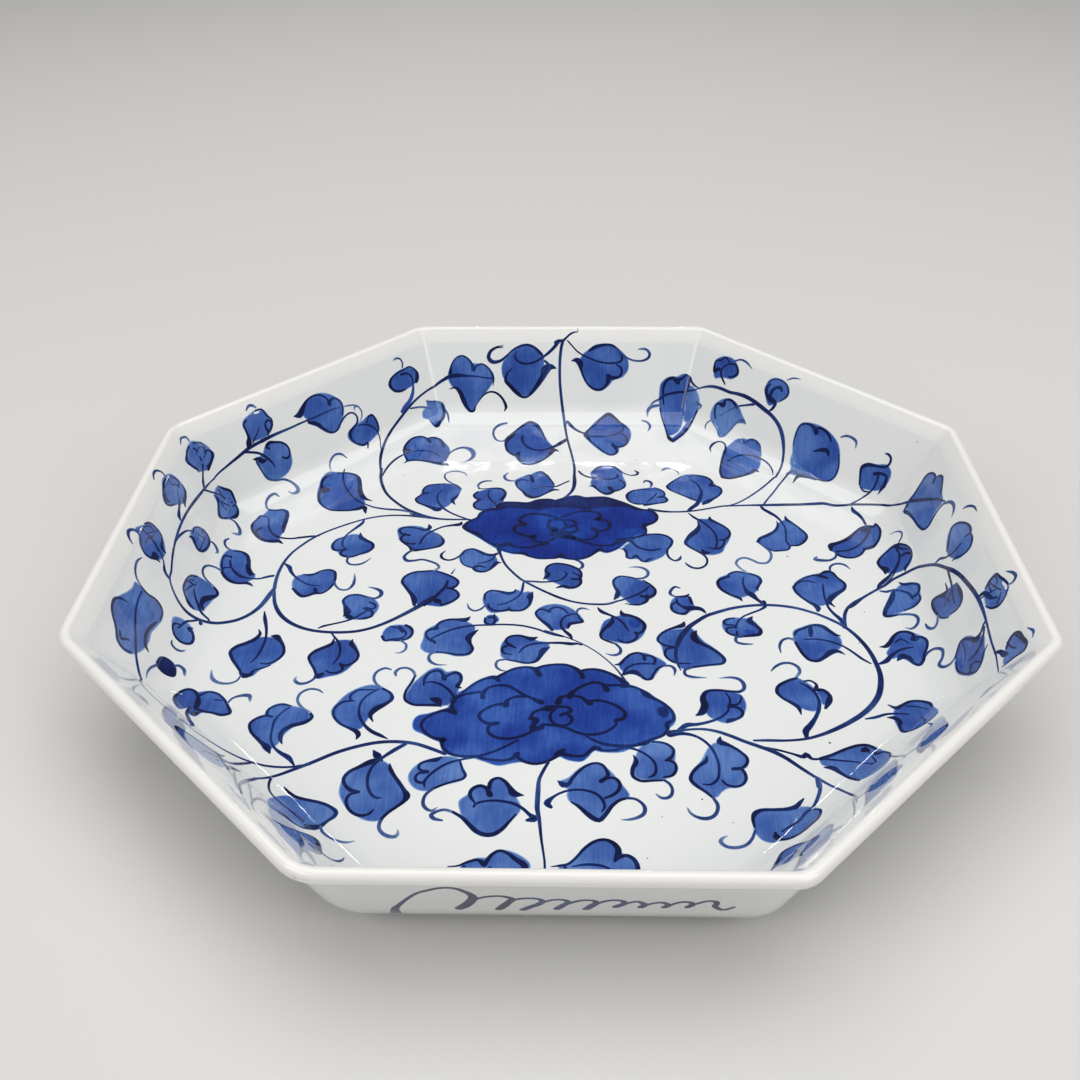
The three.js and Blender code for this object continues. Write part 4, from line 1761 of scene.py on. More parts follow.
SHEET: tuple[Sprig, ...] = (
    Sprig("back_left", """
w -27,149.5 -21,155.5 -16,157 -11,155.5 -8,152 -8.5,145 -11.5,139 -15.5,135 -20,137.5 -25,141.5 -27,145 o
-27.5,157,.3 -30.5,156.4,.8 -33.4,154.5,1.6 -34.2,152,2 -32.8,150.2,1.6 -30,149.8,1.2 -27,151.3,1
-22,155.4,1.2 -17,157.2,1.3 -13,156.4 -8.8,153,1.6 o -22.3,147.2,.6 -24.5,145,1 -25.3,142,1.6 -22.5,139,1.9
-19.5,136.3,2 -17,134.6,1.4 -15.2,134.5,1.2 -13,136 -10.5,139,1.6 -8.2,143,2.8 -6.6,146.6,4.4 -4.4,147.7,3
-1.8,147,.6 v -20.9,154.4,.6 -21.6,152.6,.9 -20.6,150.6,1 -18.5,149.4,1.1 -15.5,149 -12,149.8 -8.8,151.5,1.2
-5.3,154,1.6 -2.6,156.5,1.8 -1,158.6,2.2 w -52,143.5 -51.5,148 -49.5,151.3 -47,152.3 -44,151.2 -41.5,149.2
-38.5,148.8 -34.5,147.3 -31.3,144.5 -31,141.5 -33.8,136.5 -37,132 -38.6,128.8 -40.3,128.6 -43.5,133
-46.5,137.3 -50,139.8 o -51.3,145,2 -51.3,148.5,1 -49.6,151.5,.9 -47,152.5 -44,151.3,1 -41.8,149,1.3
-40.6,146.6,2.4 o -40.3,146.4,1.8 -39.5,148,1.1 -37.3,148.9,1 -34.8,147.9 -32.6,145.9,1.1 -31,143,1.3
-30.7,139.5,.4 o -50.5,138,.5 -48,138.6,1.3 -45.5,136.6,2 -43.3,133,2.3 -41.2,129.8,1.8 -39.6,128.2,1.4
-38.2,128.4 -37.6,130.5,.8 -36.3,133 -34.5,135.4,.9 -32.2,136.7,1 -29.8,136.6,1.1 -27.3,135.2,1.2
-25.2,132.8,1.3 -24,130,1.5 -24.6,128.3,.6 v -56,140.5,1.2 -52.5,143,1.8 -48,143.9,2 -43,143.7,1.3
-38,143.4,.9 -34,142.8 -31,142.7,1 s -74.2,105,1.4 -72.6,110.6,1.3 -70.2,117 -67.8,123 -65,128.8,1.2
-62,133.6,1.1 -59,137.6,1.2 -56,140.6,1.6 -52,143.2,2 w -78.6,130.5 -76.5,128.5 -73.3,129 -70,132.3
-67.5,135.5 -66.3,139 -66.6,142 -69.3,143.3 -72,141.8 -75,139 -77.5,135 o -70,132.2,.6 -72.5,129.8,1.3
-75.5,128.6,1.6 -78,129.8,1.8 -78.3,132.5,1.3 -76.5,136.5,.9 -73.5,140 -70.8,143 -69,143,.8 -67,141.8,1.8
-66.3,139,2 -66.5,137.3,1.6 v -74,137.3,1.2 -72,139,1.3 -70,139.2,1.2 -68.3,137.5,1 -67.4,134.5,.9 l
-67.4,135 -67,131,1.6 -67.6,127,1.8 -69,123.5,2 -70,120.6,1.4 t -74.2,141,.8 -74.5,143,.9 -76,144.3,1
-77.8,143.7,.9 -79,142,.5 p -59.8,130 -57.5,131.5 -54.5,132.3 -52,131.3 -51,127.5 -52,123.5 -54,118.6
-55.6,120 -57.5,122 -60,122 -60.6,125 -59.2,128 t -60,130.5,.8 -57.5,131.3 -55.5,132.3,.9 -53,132,1 o
-52.8,131.5 -51.5,129,1.4 -51.3,125.5,1.6 -52.5,122.5 -54,119.3,2.2 -55,119.6,1 -57,121.5,.6 t
-66.5,123.8,.8 -62.5,126.3,1 -59.5,127.4 -57,128,.6 t -51.2,129.2,.8 -49.5,126.5,1 -48.6,122.5,.5 o
-7.2,150.2,1.2 -5.5,148.5,1.6 -7.5,144.8,2.2 -9.5,141.5 -11.5,138.2,2 -13.5,135.8,1.6 o -27.8,156.2,.8
-31,155.8,1 -33.5,153.8,1.4 -34,151.5,2 -32,149.8 -28.5,150.2,1.6 -25,152.8,1.2 v -16.2,112.5,1.4
-15.5,107.5,1.2 -13.2,102.8 -9.2,100.8,1.3 -4.8,101.8 -0.2,105.2,1.2 3,109,1.1
"""),
    Sprig("back_vine", """
s 6.2,80,1.4 6.2,88,1.3 5.2,97,1.2 4,105 3,112.5 2.4,119,1.4 1.6,126,1.5 .7,133 0,140 -.2,146,1.6 0,152,1.7
.6,156.5 1.3,159,1.8 s -2.2,158.2,2 -.5,158.9,1.8 1.3,159,1.6 3,160.4,1.2 5,162 7,162.8,.9 8.6,163,.6
8.3,164.3,.3 w -23,109 -21,114.5 -17,120.3 -13.5,122.8 -10.5,122.3 -8.3,118.5 -6.8,113 -4.5,107 -2.3,102.3
-3.5,98 -7,93.3 -11,90 -14.8,89.5 -17.3,93 -18.8,96.2 -21.5,99 -23,104 o -22.5,108.5,1.8 -20.8,112.5,1.4
-19,117,1.2 -16.3,120.6,1.5 -13,122.7,1.8 -10.2,121,2.2 -8.3,117.5,1.5 -7,113.5,1 -6,109.5,.8 t -23.3,122.2
-26,121.4,1.5 -28.2,119,1.3 -28.8,115.5,1 -28.2,111.8 -26.8,109,1.1 -24.8,108.2,1.2 -23,109.3,1.6 o
-23.3,109,1.4 -21.3,111.9,2.8 -19.3,115.5,1.2 o -22.8,108.5,2 -22.9,104.5,1.3 -22,100.5 -20,97.6,1.4
-18.4,96.8,2 -17,99.2,1.6 o -17.3,98.5,1.4 -17,94.5,1.5 -16,91.5,1.4 -13.8,89.5,1.3 -11,89.9,1.2
-7.5,92.5,1.1 -4.5,96.5,1.4 -2.3,101.2,2.6 -.5,100.2,.8 v -15.6,113.3,.9 -16.4,110.5,1.1 -15.6,107
-13.5,103.7 -11,101.6 -8.3,101 -5.3,102 -2.3,104.4,1.3 .3,107.3,1.5 3,110.5,1.2 w 9,149 10.5,152.5 15,155.7
20,157.5 25,157 29,154.5 31.8,151 31.8,147 29,143.5 24.5,142 22,139.5 19,137.7 15,138.3 11.8,141.7 10,146 o
14,154.8,1.4 17,156.3,2 21,157.2,1.4 25,157,1.3 28,154.8,1.4 29.4,152.3 28.8,150.3,1.3 26,149.4,1.2
22.5,149.3,1.1 18.5,149.9,1 14.5,151.2 11,152.7 8.3,154.3,.9 5.8,156.7 3.6,159 t 27,155.8 29.8,153
32.5,151.2,.9 36,150.3 39.5,150.5,1 42,151.8,1.3 42.6,153.6,1.5 41.2,155.2,1.3 39,155.5,1 37.4,155.2,.5 o
5.4,150.3,.6 7.5,150.6,2.4 9.2,149.6,3.4 9.8,146.5,1.6 11,143,1.2 13,139.8 16,137.8,1.3 19,138,1.4
21.3,140,1.3 22.3,142.5,2.6 21.8,144.2,1.2 o 22.3,143.6,2.4 24.5,142.9,2 27.2,143.4,1.4 28.8,145.3,1.3
28.5,147.2,1.2 26.5,148.6,.9 w 10.8,113.5 12.3,118 16,123.5 20,126.6 22.5,126.9 26,123.3 29.5,120 30.6,115
30,110 28.5,106 25.3,103.5 24.8,100 22.5,97.2 19.5,98.2 16,102.5 12.8,108 o 15.5,121.3 18.3,125,1.3
21.5,126.9,2 23.8,125.5,1.4 26.5,122.5,1 29,119.5,.8 30.6,117.5,.4 o 16,122 13.5,119.5,.8 11.8,116.5,1.6
11.3,113.8,2.6 12.3,110.5,1.8 14,107,1.2 16.5,103 19,99.3,1.3 21.5,97.2,1.5 23.6,98.3 24.2,101,1.4
23.3,103.8,2 22.6,106.3,1.6 o 22.8,104.6,2 25.5,103.6,1.4 28,105.5,1.3 28.9,109,1.2 28.2,112.5,1.1
26.8,114.6,.9 25.3,116,.6 s 2.6,121.5 3.2,123.4,1.2 4.4,121.5,1.8 6.5,118.5,1.6 9,116 11.3,114.6,1.5 v
12,113.3 15,112.4 18.5,112.4 22,113.2 25,115.2 27,117.8,.9 28,120.3,.5
"""),
    Sprig("back_right", """
w 45,136 46.5,140.5 50,143 54,143.3 58,144.6 60,142.5 58.5,138 56,132.5 54.5,127 53,121 50.5,116 47.5,113.5
46,118 45.2,125 44.2,131 p 59,139 61.5,136 62.5,131 61.3,126.5 58.5,123.5 55,121.3 54.2,126 56,132.5 w
57.5,123.5 55,121 52.5,117 49,112 47.5,110 50.5,111.5 54,115.5 57.5,120.5 o 46.2,131.5,.9 46.5,135.5,1.3
47.5,139.5 50,142.4,1.4 52.5,142.8,2 54,141.2,2.6 o 53.3,141.8,2.2 56.5,142.7,1.4 58.5,144.3,1.2
60,142.8,1.4 60.6,140,1.2 62,137.3,1 63.3,136,.6 o 59.5,142,1.4 58.8,139,1.3 57.3,136.5,1.1 55.8,133.2,.9
54.6,130.5,.6 o 44.3,129.7,.9 44.6,126,1 45.8,119.5 46.4,114,1.2 47.3,110.5,2.4 48.3,108.2,1.6 o
48.3,108.6,2 50,110.5,1.8 53.5,115,1.5 56.5,119.5,1.3 58.8,123,1.1 60.8,125.8,1.2 t 61,129.8,.8
61.8,128.5,1.4 62.8,126.8,.9 61,125.9,1 v 44.8,133.8,1.3 47.5,135.5 51,136.3 55,136.8 58,136.6,1.1
62,135.6,1 s 88,80 91.2,85.5,1.2 93.4,91,1.4 94.7,95.5,1.9 95.2,99.5,2.1 94.7,104,1.9 93,108.5,1.8
90.6,112.5,2 87,118,1.9 83.5,122.2 80,125.2,1.7 77,127.3,1.6 73,131.2 69,134 65.5,135.2,1.2 62,135.8,.9 t
45,131,.9 42.5,130.8,1.3 40,130,1.5 38.8,128.5,1.4 38.4,126,.6 t 44.5,133.6 42,132.5,.9 40.2,131,.8 t
36,123.8,.8 38,123,1.2 39.2,121 38.8,118.5,.9 38,116.9,.4 w 71.7,137 72,142 73.4,145 76,145.2 79,144
81.8,141 83,137 82.3,133.3 79,133 76.2,135 73.8,136.3 o 75,139 73.6,140.6,2 72.2,140 72.4,143,1.2
73.8,144.8,1 76,143.8 77.8,144.3 79.2,142.5,.9 79.4,140.5,.8 o 75.5,132,.8 75,134.5,1.1 74.6,137 75.4,139.5
77.5,140.3,1 80,140 82,138.5 82.8,136,1.2 82,133.8,1.6 80,133.6,1.3 78,134.4,1 t 82.2,140.3,.8 85,139.5,.9
87.5,136.8 89.3,132.8,.4 p 65.8,119 67.5,123.5 70,125.3 74.5,125.3 77.5,123 79.3,119.5 80,115 80.3,111
77,112.2 73,110 69.5,108.3 67.8,110 68,114 o 68,118.5,.9 68.4,122,1.1 70,124.8,1.2 71.6,124,1.6
72.8,122.8,2.6 74,124.6,1.4 76,124.2,1.3 77.8,121.8,1.4 78.6,119.2,1.6 t 80.6,110.3,.6 79.8,112.3,1.6
77,112.6,1.2 74,111,.8 71,109.3,.7 68.5,108.8,.6 67.9,112,.5 66,118.5,.7 t 86.5,117,1.3 83,118.2,1
79.5,119.3,.9 75,119.5,.8 70,118.8,.6 t 65.5,118.4,.7 64,118 63,116.6,.6 62.8,115,.3 w 93,113.5 92.6,118
93.6,122 96.3,124 99.5,123 102,120 103.6,116.5 102.5,113.3 99,112.8 95.5,113 o 96,122 94,121.5,2
93.2,118.5,1.8 94.5,115.5,2.6 96,113,2 94,111.3,1.6 92.5,111,1 o 94.2,116.5,1.8 96,118.8 98.5,119.2,1.6
100.2,118,1.8 100.3,116.6,1.2 o 95,123,.9 98,123.4,.8 101,121.5,.9 103.2,118 103,114.5,1 101,113 98,112.8,.7
t 104,120,.6 106.5,119.6,.8 109.8,117.5,.3
"""),
    Sprig("left_corner", """
w -66,100.5 -65.5,105 -63,109.5 -59,111.5 -56,110.5 -52.5,110.8 -49,106.5 -46.6,101 -47,94.5 -48.5,91
-53,90.8 -60,92.8 -63.5,93.2 -65,96.5 o -64,100.8,2.2 -65.6,101.5,1.8 -65.3,105.5,1.1 -63,109.5
-59.3,111.3,1.2 -57,110,1.6 -55.5,107.2,1.8 o -57.5,110.2,1.2 -54.5,111.2,1.4 -51.8,109.8,1.5 -50,106.5
-49.3,103.3,1.2 o -64.8,90.3,.5 -63,92.3,1.6 -59,92.6,1.5 -54.5,91.6,1.8 -50.5,90.3,2.4 -48,90,3.2
-46.2,88.9,1 o -63.5,92.5,1.5 -64.8,95.5,1 -65.7,98.5 -66,101,1.5 t -48,91,2 -47.5,95,1 -46,99
-43.6,101.8,1.3 -41,102.9,1.7 -38.3,101.9,2.3 -36.6,99.3,2.4 -36.2,96,1.9 -37.6,93,1.4 -40.7,90.6,.3 s
-72.6,80,.8 -71.8,85,1.2 -70.3,90,1.4 -68,94.4,1.5 -65.5,97.4,1.2 v -65.5,97.4,1.2 -62.3,99.6,1 -59,100.4,.9
-55.5,100 -52.5,98.2,.8 -50,95.5,.4 s -72.8,80 -74,86,1.2 -75,93,1.4 -75,99,1.5 -74.2,105,1.4 w -114.5,101
-113,105.5 -110,110 -106,112.3 -101.5,113 -98,112.3 -95.8,109 -95.5,104.5 -95.8,100.5 -98.5,97.6 -103,97.2
-108,98.3 -112,98.5 o -116.8,96.4,.5 -114.5,98.3,3 -114,101.5,2.4 -113.3,105.5,1.1 -110.8,109,1
-107.5,110.6,1.1 -104.5,110.4,1.3 -103,109,2.2 o -103.3,110,1.6 -101.8,112.2,1.1 -99,112.5 -96.8,110.7
-96,107.3,1 o -109.5,97.3,1.6 -105.5,98.2,2.2 -101,97.6,1.6 -98,98,1.1 -96.2,100,1 -95.6,103.5 -94.6,107
-92.8,109.6 -91,110.2,1.1 -89.2,109.3,1.2 -88.5,107 -89.6,104 -90.3,101.5,1.6 -89,99.2,1.2 s -127,80.5,1.8
-122.5,85.5,1.5 -117,91,1.2 -112,96.2,1 -108.8,99.3 -105,103.2,.9 -101,107.3,.8 -98,109.7,.5 t -96,111.2,.6
-93,113.2,.7 -90.5,114,.8 -88.3,113 -87.2,110.5,.7 -87.5,108,.5 t -90.3,114,.6 -91.6,112.8,.8 -91.2,111.8,.6
w -91,101 -89.3,105 -86.5,108.5 -84,112.5 -81.5,113 -79,110.5 -78,107.5 -79.5,104 -81.5,100.5 -83.5,98.3
-87.5,98 -90.3,99 o -84.4,109,.9 -84.2,112,1 -82.8,113.3,1.1 -80.8,112 -79,109.8,1 -78.3,107.5,.6 v
-87.5,106,.7 -85,107.8,1 -82,108.3 -79.5,107.8,.9 -77.2,105.3,.8 -76.2,102,.7 -75.6,99.5,.6 o
-90.3,101.5,1.5 -89.3,99.5,1.2 -86.5,98.3,1 -83,98.8,1.3 -81.6,100.5,1.2 -81,98,.8 t -88.8,90.2,.5
-91.3,91,1 -93.8,89.8 -95,87,.9 -95,84.3,.8 -94,82,.5
"""),
    Sprig("right_corner", """
w 69.5,101 73,104 76,105 78,102 80.5,98 83.5,93.5 82.5,88 80,84 75,81 69.5,79.5 66.3,81.5 66.6,88 67.8,94.5
p 77,104.8 80,103 83.3,100.5 84.3,97 83.8,93 81,96.5 78.5,101 o 63.8,99.8,.4 63.6,102.5,1 64.8,105.3,1.4
67,106.6,1.2 69.3,105.6,1 70.2,103,1.1 69.5,99.5,1.3 68,94.5 66.8,89,1.2 66.1,84,1.3 66.5,80.5,1.6 t
76,104.8,.6 77.5,104,.8 78.8,102,1 80.5,102.8,1.1 83,101.3,1 84.3,98.5 84,95,.9 o 81.8,84.3,.8 80.3,85.8,2
79.3,84.5,1.8 76.5,82.3,1.6 72.5,80.3 69,79.3,1.5 66.5,80,1.4 v 70,92.3,.6 72,94.8,1 75.3,96.3,1.1 78.5,95.7
81.5,94,1 84.5,91.2 86.5,88 87.4,84.5,.8 87.3,81.5,.4 w 105,99.3 101,96.5 98,91.5 97,86 99.5,81.5 103,77
106.5,73 110,72.3 113.5,74.5 116,78.5 117.5,84 116,89.5 113,94 109,97.5 p 98,90 95.5,87 95,83.5 94,81.5
97,79 101,76.5 104,74.5 101,79.5 98.5,84 o 98.5,92.5,.6 101.5,96.8,1.1 104.5,99 107.5,98,1.2 109.5,95.8,1.8
110,93,2.6 o 109.5,94.5,1.8 112,94,1.2 114.3,91.5,1.3 115.2,88.5,1.4 115,86.5,.8 o 106.5,86.3 109.5,85.5,1.8
112,84,2.2 112,82,1 o 116.5,80.5,.6 114.5,76,.9 111.5,73.2 108.5,72.5 104,74.8,.8 100,77.3,1 97,78.7,1.8
94.5,75.8,.5 t 93,81,1.4 95,82,1 97,80,.8 100.5,77.8,.6 t 119.8,86.3,.6 122,85.8,1 124.3,84,1.1
125.5,81.5,1.2 124.3,79.5,.5
"""),
    Sprig("left_wall", """
p -137.5,83.5 -136,87.5 -133.5,91 -131,92.3 -128,91.5 -125.3,89.5 -124.5,86 -126,83 -128,81 -130.5,79
-133,79.5 -135.5,81.5 o -136.5,85,.9 -137,82.8,1.1 -135,81.2,1.2 -133,79.5,1.5 -131.8,77.3,3 -131.3,75,1 v
-130.3,78.5 -130,82,.7 -130,85,.5 o -134,90.5,.8 -131.5,92.3,.9 -128.5,91 -126,90.8 -124.8,88.5,1.2 -125,86
o -125,88.5 -126,89.8 -127.5,89.5,1.2 -128,88,1 -127,86.3,1.2 -125.5,85.5,1.4 -125,84,.7 t -137.8,88.7,.6
-137.3,91,1.2 -135.5,92,1.3 -134.2,91.8,1 p -124.5,79.5 -122.5,82 -119.5,83.8 -116,84.2 -113,82 -111,79
-110.8,75.5 -112.5,72 -115.5,69.3 -118.5,68.7 -122,71 -125.5,73.5 -124.3,76.5 o -122.5,79.5 -124,79.5,1.6
-123.5,81.5 -121,83,1.2 -118,84.2,1.1 -115,83.8 -113,81.5,1 -113.5,79.5,1.2 -115.5,79,1 v -132,73.5,1.2
-129,74.8 -126,75.8 -122.5,75.8 -119,75,1 -117,73.8,.5 o -127.5,72.5,.6 -125.5,73.5,2.2 -123,73.8,2
-122,75,.8 t -125.5,72.3,1.4 -122,70.2,1 -118.5,68.6 -115,69.3 -112,71 -109.5,71.3,1.1 -107,70.6,1.3
-105.2,69,1.8 -105.3,67 -107,66,1.3 -108.5,66.5,.8 p -156,66 -153,67.5 -150,68 -147,67.5 -144.5,65 -144.2,61
-146,58 -147.5,55.5 -151,54.5 -154,54.5 -155.5,58 -156.3,62 t -159.3,61,.5 -160.3,64.5,1 -159,66.6
-156.8,66,.9 o -156,63.5 -155.8,60,1.2 -155,57 -154,54.7,2 -151,54.8,1.8 -148.5,55.6,1.6 -147.5,54.8,.6 o
-155,66,.7 -152,67.8,.8 -149.8,67.5 -149.5,66 o -149,66,.8 -147,67,1 -145,66.3,1.8 -144.5,64,1.6 -144.4,60.5
v -153.5,64.3,1.5 -150.5,63.3,1.3 -148,61.2,1.2 -146.5,58.5 -145.3,55,1.1 -144,51.5,1.6 -142.5,49 s
-122,86,1.4 -127,80.5,1.5 -131,75.7,1.7 -134,70.7,1.5 -137,65.6,1.2 -139.8,60.5,1 -141.2,55.5,.9
-142.3,49.5,1.2 -143.3,43,1.4 -144.3,36 -145,29,1.3 -145.2,21 -144.8,14 -144.2,9,1.2 -142.8,2 -141,-4,1.1 p
-137.5,56.5 -134,57.5 -131,57.3 -128,55 -125.5,51.5 -125.3,48 -127,45 -130,42 -131.5,41.8 -133,44
-134.5,47.5 -137,50 o -137.8,56.6,.6 -135,57,1.2 -131.5,57.6,1.1 -129,56 -127.5,54.5,1 o -136.5,55,1.2
-133.5,53.5 -130.5,53 -129,54,.8 o -137.5,50,.8 -135.5,49.8,1.6 -134,47,1.5 -132.8,44,1.6 -131.3,42,2.2
-130,42.6,1.4 -128.5,44,1 o -128,53.5,.8 -126,52,1 -125.4,49,1.6 -126.2,46.5,2 -127.3,45.3,1 v -142,48.5,1.6
-139.5,50.2,1.2 -137,52 -134.5,53.5,1 t -128,44.5 -125.5,44.3 -123.5,42.3,1.2 -122.2,39.8,1.4 -122,37.5,1.6
-123.5,37.2,1.3 -124.8,37,.5 p -159,37 -157.5,40 -154.5,41 -151,40 -148.5,37 -147.5,33 -149,29.5 -151.5,26
-154,23 -156,24.5 -158,29 -159.3,33 o -158.5,35.5,.9 -158.3,32,1.2 -157,28,1.6 -155.3,25.3,2.6 -154,23.3,1.6
-152.3,24.3,1.2 -150.8,27,1 o -157,39,.8 -155,40.3,.9 -153.3,39.8,1 -152.8,38 o -151.5,40.2,.9
-149.5,38.8,1.3 -148.3,36,1.5 -147.8,33,1.8 -146.6,30.8,.8 t -162.2,29.8,.5 -163.3,32.5,1 -163,35.5,1.1
-161,37,1 -159.3,36.4,.9 -158.5,35,.6 v -150,31,.8 -149,28.3,1 -148,25.5,1.6 -147,23,2 -145.8,22.2,1 p
-139.8,20 -140,24 -138.5,27 -135.5,28.5 -132.5,27.5 -131,25 -131,21 -132.5,17.5 -134.5,16.5 -137,18 o
-139.3,22,.9 -139.6,25 -138,27.2 -136.3,27.8,1 -135.5,26.6 o -135.8,28.3,.9 -133,27.5,1 -131.5,25.5,1.2
-131.3,22 -132.5,18.3,1.4 -134.5,16.8,1.5 -136.5,17.8,1.6 -138.5,19.5,2.2 -140,18.8,.8 s -140.2,22.3,.8
-142,20,1 -143.3,16.5,1.2 -144.2,12.5 -144.4,10 t -131.3,25.8,.8 -129.8,26.1,1.1 -128,24.8,1.3 -127,22.8,1.2
-127.6,21.8,.5 v -146.5,57.5,.7 -147.8,61 -149.2,62.5 -151.2,63 -153,63.2,.6 o -151.5,63.2,.6 -152,65
-151.2,66.5,.7 -149.8,66.5 -148.2,65.2 -148,63.2,.6 o -148,65,.6 -147.8,66.8,.7 -146,67 -144.8,65.5
-144.8,63.2 -145.5,61 v -148.2,27.5,.7 -149.5,30.8 -151.2,33.2 -152.5,35.2,.6 o -158.2,36.8,.6
-156.8,35.8,.7 -155.2,35.2 -153.8,37.2 -152,37 o -156.5,39,.6 -154.2,39.8,.7 -152.2,38.8 o -155.5,25.2,1.1
-154.5,25.2,1.8 -153,25.8,1.1 v -148.8,-1.5,.8 -151,-0.2,.7 -153,0.5 -154.5,0.2,.6 o -157.8,0.5,.6
-157.2,3.5,.7 -155.5,5.5 -153.8,5 -155,1.8,.6 o -154.5,-3.8,.6 -154.2,0 -152.8,2.8 o -137,51,.7
-134.5,50.2,.8 -132.2,49 -130.2,48.2,.9 o -133.2,50.5,.8 -130.5,51.2,1.0 -128.5,52,.9 -127.5,53.8,.7 o
-133.5,53,.6 -130.5,55 o -138.2,23.8,.7 -136.2,24 -134.2,24.8 v -133.8,18,.8 -133.8,22.2 -133.8,25.8,.6 v
-114,11.2,.8 -116.5,12.2 -118.8,14.5,.7 -120.2,17.2 -121,19.8 o -115,19,1.1 -113.5,15.2,2.1 -112.2,13,1.5 o
-133.5,-1.8,.7 -132.5,0.8,.8 -130.8,1.5,.7 -130,0.5 o -132.8,-6,.7 -131.5,-2.2,.8 -130,0.5,.7
"""),
    Sprig("left_leaves", """
w -114,55 -111,55.5 -108,55.5 -106,53 -105.5,47 -105.5,41 -106.5,37 -106,34 -109,33.5 -112.5,34.5
-115.5,37.5 -117.5,41 -118.7,45.5 -117.5,49.5 -115.5,52 t -111.8,63,.6 -113.5,63.8,1.2 -115.3,62,1.3
-116,59,1.1 -115.3,56.3,1 -114.3,55.2 o -114.5,55.3 -112,55,1.1 -109,55.5,1.4 -107,54.3,1.6 -106.2,51.5,1.8
-106,47,1.9 -106,43,1.8 -105.5,40,.8 o -114,50.5,.9 -116.5,51.2,1.1 -117.6,48.5 -118.6,45,1.2 -118,42,1.3
-116.5,39.5,1.6 -114,36.5,1.8 -111,34.6,1.6 -108,34.2,2.2 -106.3,34.3,2 -104.3,32.6,.6 o -114.8,43
-116,41.5,1.2 -116.3,39.5,1 v -113,49.5,.8 -112.5,46.5,1 -111.8,43.5,1.1 -110.3,40.3 -108,37.8,1.2
-105.5,36.5 -102,36 -98,36.8,1.5 -94.5,37.5,1.4 -91.5,37.9,1 w -123,27 -119.5,27.7 -116.5,25.5 -115,22
-114,18.5 -112,14.5 -110.5,12 -112,9.5 -115,7.8 -118.5,9 -121.5,11.5 -124,15.5 -124.8,20 -124.3,24.5 t
-125,33.2,.6 -126,31,1.1 -125.3,28.5,1 -123.5,27.2 -121.5,27.2 o -121.5,27.1 -119,27.3,1.2 -116.5,25.5,1.5
-115,22,1.8 -114.3,19 -113.3,16,1.6 -112,13.8,1.8 -110.8,13.3,.8 o -122,23,1.2 -124,23 -124.3,19.5,1
-123.7,16,1.2 o -121,16.8 -122.8,16,1.3 -123,13.8,1.4 -121.3,11.2,1.6 -118.5,9 -115.5,8,1.4 -113,8.3,1.8
-111.5,7.7,1.5 -110,6.3,.5 v -121.8,24,.8 -121.5,20.5,1 -120.5,17.5,1.1 -118,14.5,1.2 -115,12 -112,11
-108.5,10.9 -106,12,1.6 -104,12.6 w -94.5,81 -91,81.7 -87,82 -84,81 -81.5,76.5 -80,71 -78.5,65 -77,60 -78,56
-83,55 -88,55 -92.5,57 -95.5,61.5 -97,67 -97,73 -96.5,78 o -94.5,79.5,1.2 -96,77,1.6 -96.5,74,1.4
-95.5,71,2.2 -93.8,70,3.6 -94.6,68,1.8 o -96,70.5,1.6 -96.3,66.5,1.4 -95.3,61.5 -93,58,1.2 -90,55.5,1.1
-86,55,1.2 -82,55.3,1.4 -79,56.5,2 -77,57.5,2.6 -76,54.5,1.4 -75.6,53,.5 o -91,81.5,.8 -87,82.2,1.2
-84,81.3,1.5 -82,78.5,1.8 -81,74.5,2 -80.3,70,2.3 -79,66,2.4 -77,63.3,1.8 -74.2,62,.5 v -88.7,84.3,.6
-88.7,80.5,1 -87.8,76 -86,71 -83.5,66.5 -80,62 -77,59.5,.9 t -77,59.8,.8 -73,57.5,1 -68,56.2,1.2
-62,55.5,1.3 -58,54,1.2 s -58,53 -53.5,51.2,1.4 -49,50.3,1.6 s -50,50.3,1.8 -54,51,1.6 -59,51.7,1.3
-64,51.9,1.2 -69,51.3 -74,49.8 -79,47.3 -84,44.2 -89,40.6 -93.5,36.3,1.3 -97,31.5 -99.8,26.5 -101.5,21,1.4
-102.3,15,1.5 -102.3,9,1.6 -101.7,3,1.5 -100,-4,1.4 s -101.8,6,1.4 -102.8,2,2.2 -104.3,-3.5,1.8 w -96,8
-95.5,12 -93,13.5 -90,13.2 -87.5,14.5 -85,16.2 -82,15.8 -81,12 -81,8 -82.5,4.5 -85.5,2.3 -88,1.5 -91,1 -94,3
o -93,13.7,.6 -91,13.3,1.4 -89,13.8 -86.8,15.7,1.1 -84,16.5 -81.8,15.3,1.2 -81,12,1.3 -81,8.5,1.2
-82.3,4.8,1.1 -84.5,2.5,1.2 -86.3,2.7,1.5 -87.2,5,1.6 o -86.8,3,1.4 -88.5,1.5,1.6 -91,.7,1.8 -93,2.3,1.6
-95.3,5.2,1.2 v -101,20 -99,18,2 -98,15.5,1.6 -96,12.5,1.2 -93,9.5,1 -89.5,7.3,.9 -86,6.8,.6 t -81,9.5,.9
-80,6.8 -78,4.7,1 -75.5,4.7 -73.9,7.5,1.3 -73.8,11,1 -74.2,14,.4 w -85,31.5 -84.5,35.5 -81.5,37.5 -78.5,39
-76,38.5 -74,35.5 -70.5,33 -69.6,30.5 -71,27.5 -75,25.5 -78,24.3 -81,25.8 -83,28 -84.8,29.3 o -82,37,.6
-84.3,35,1.1 -85.3,31.5,1.3 -84,28.8,1.5 -81.5,28.8,1 -79.8,30,.7 o -79.5,29,.9 -81,28,1.2 -81.3,26.2,1.4
-79.5,24.8,1.5 -77,24.5,1.3 -74,26.2,1.1 -71.3,28,1.2 -69.7,30.3,1.3 -70.3,33,1.4 -73,35,1.9 -75.2,37,2.2
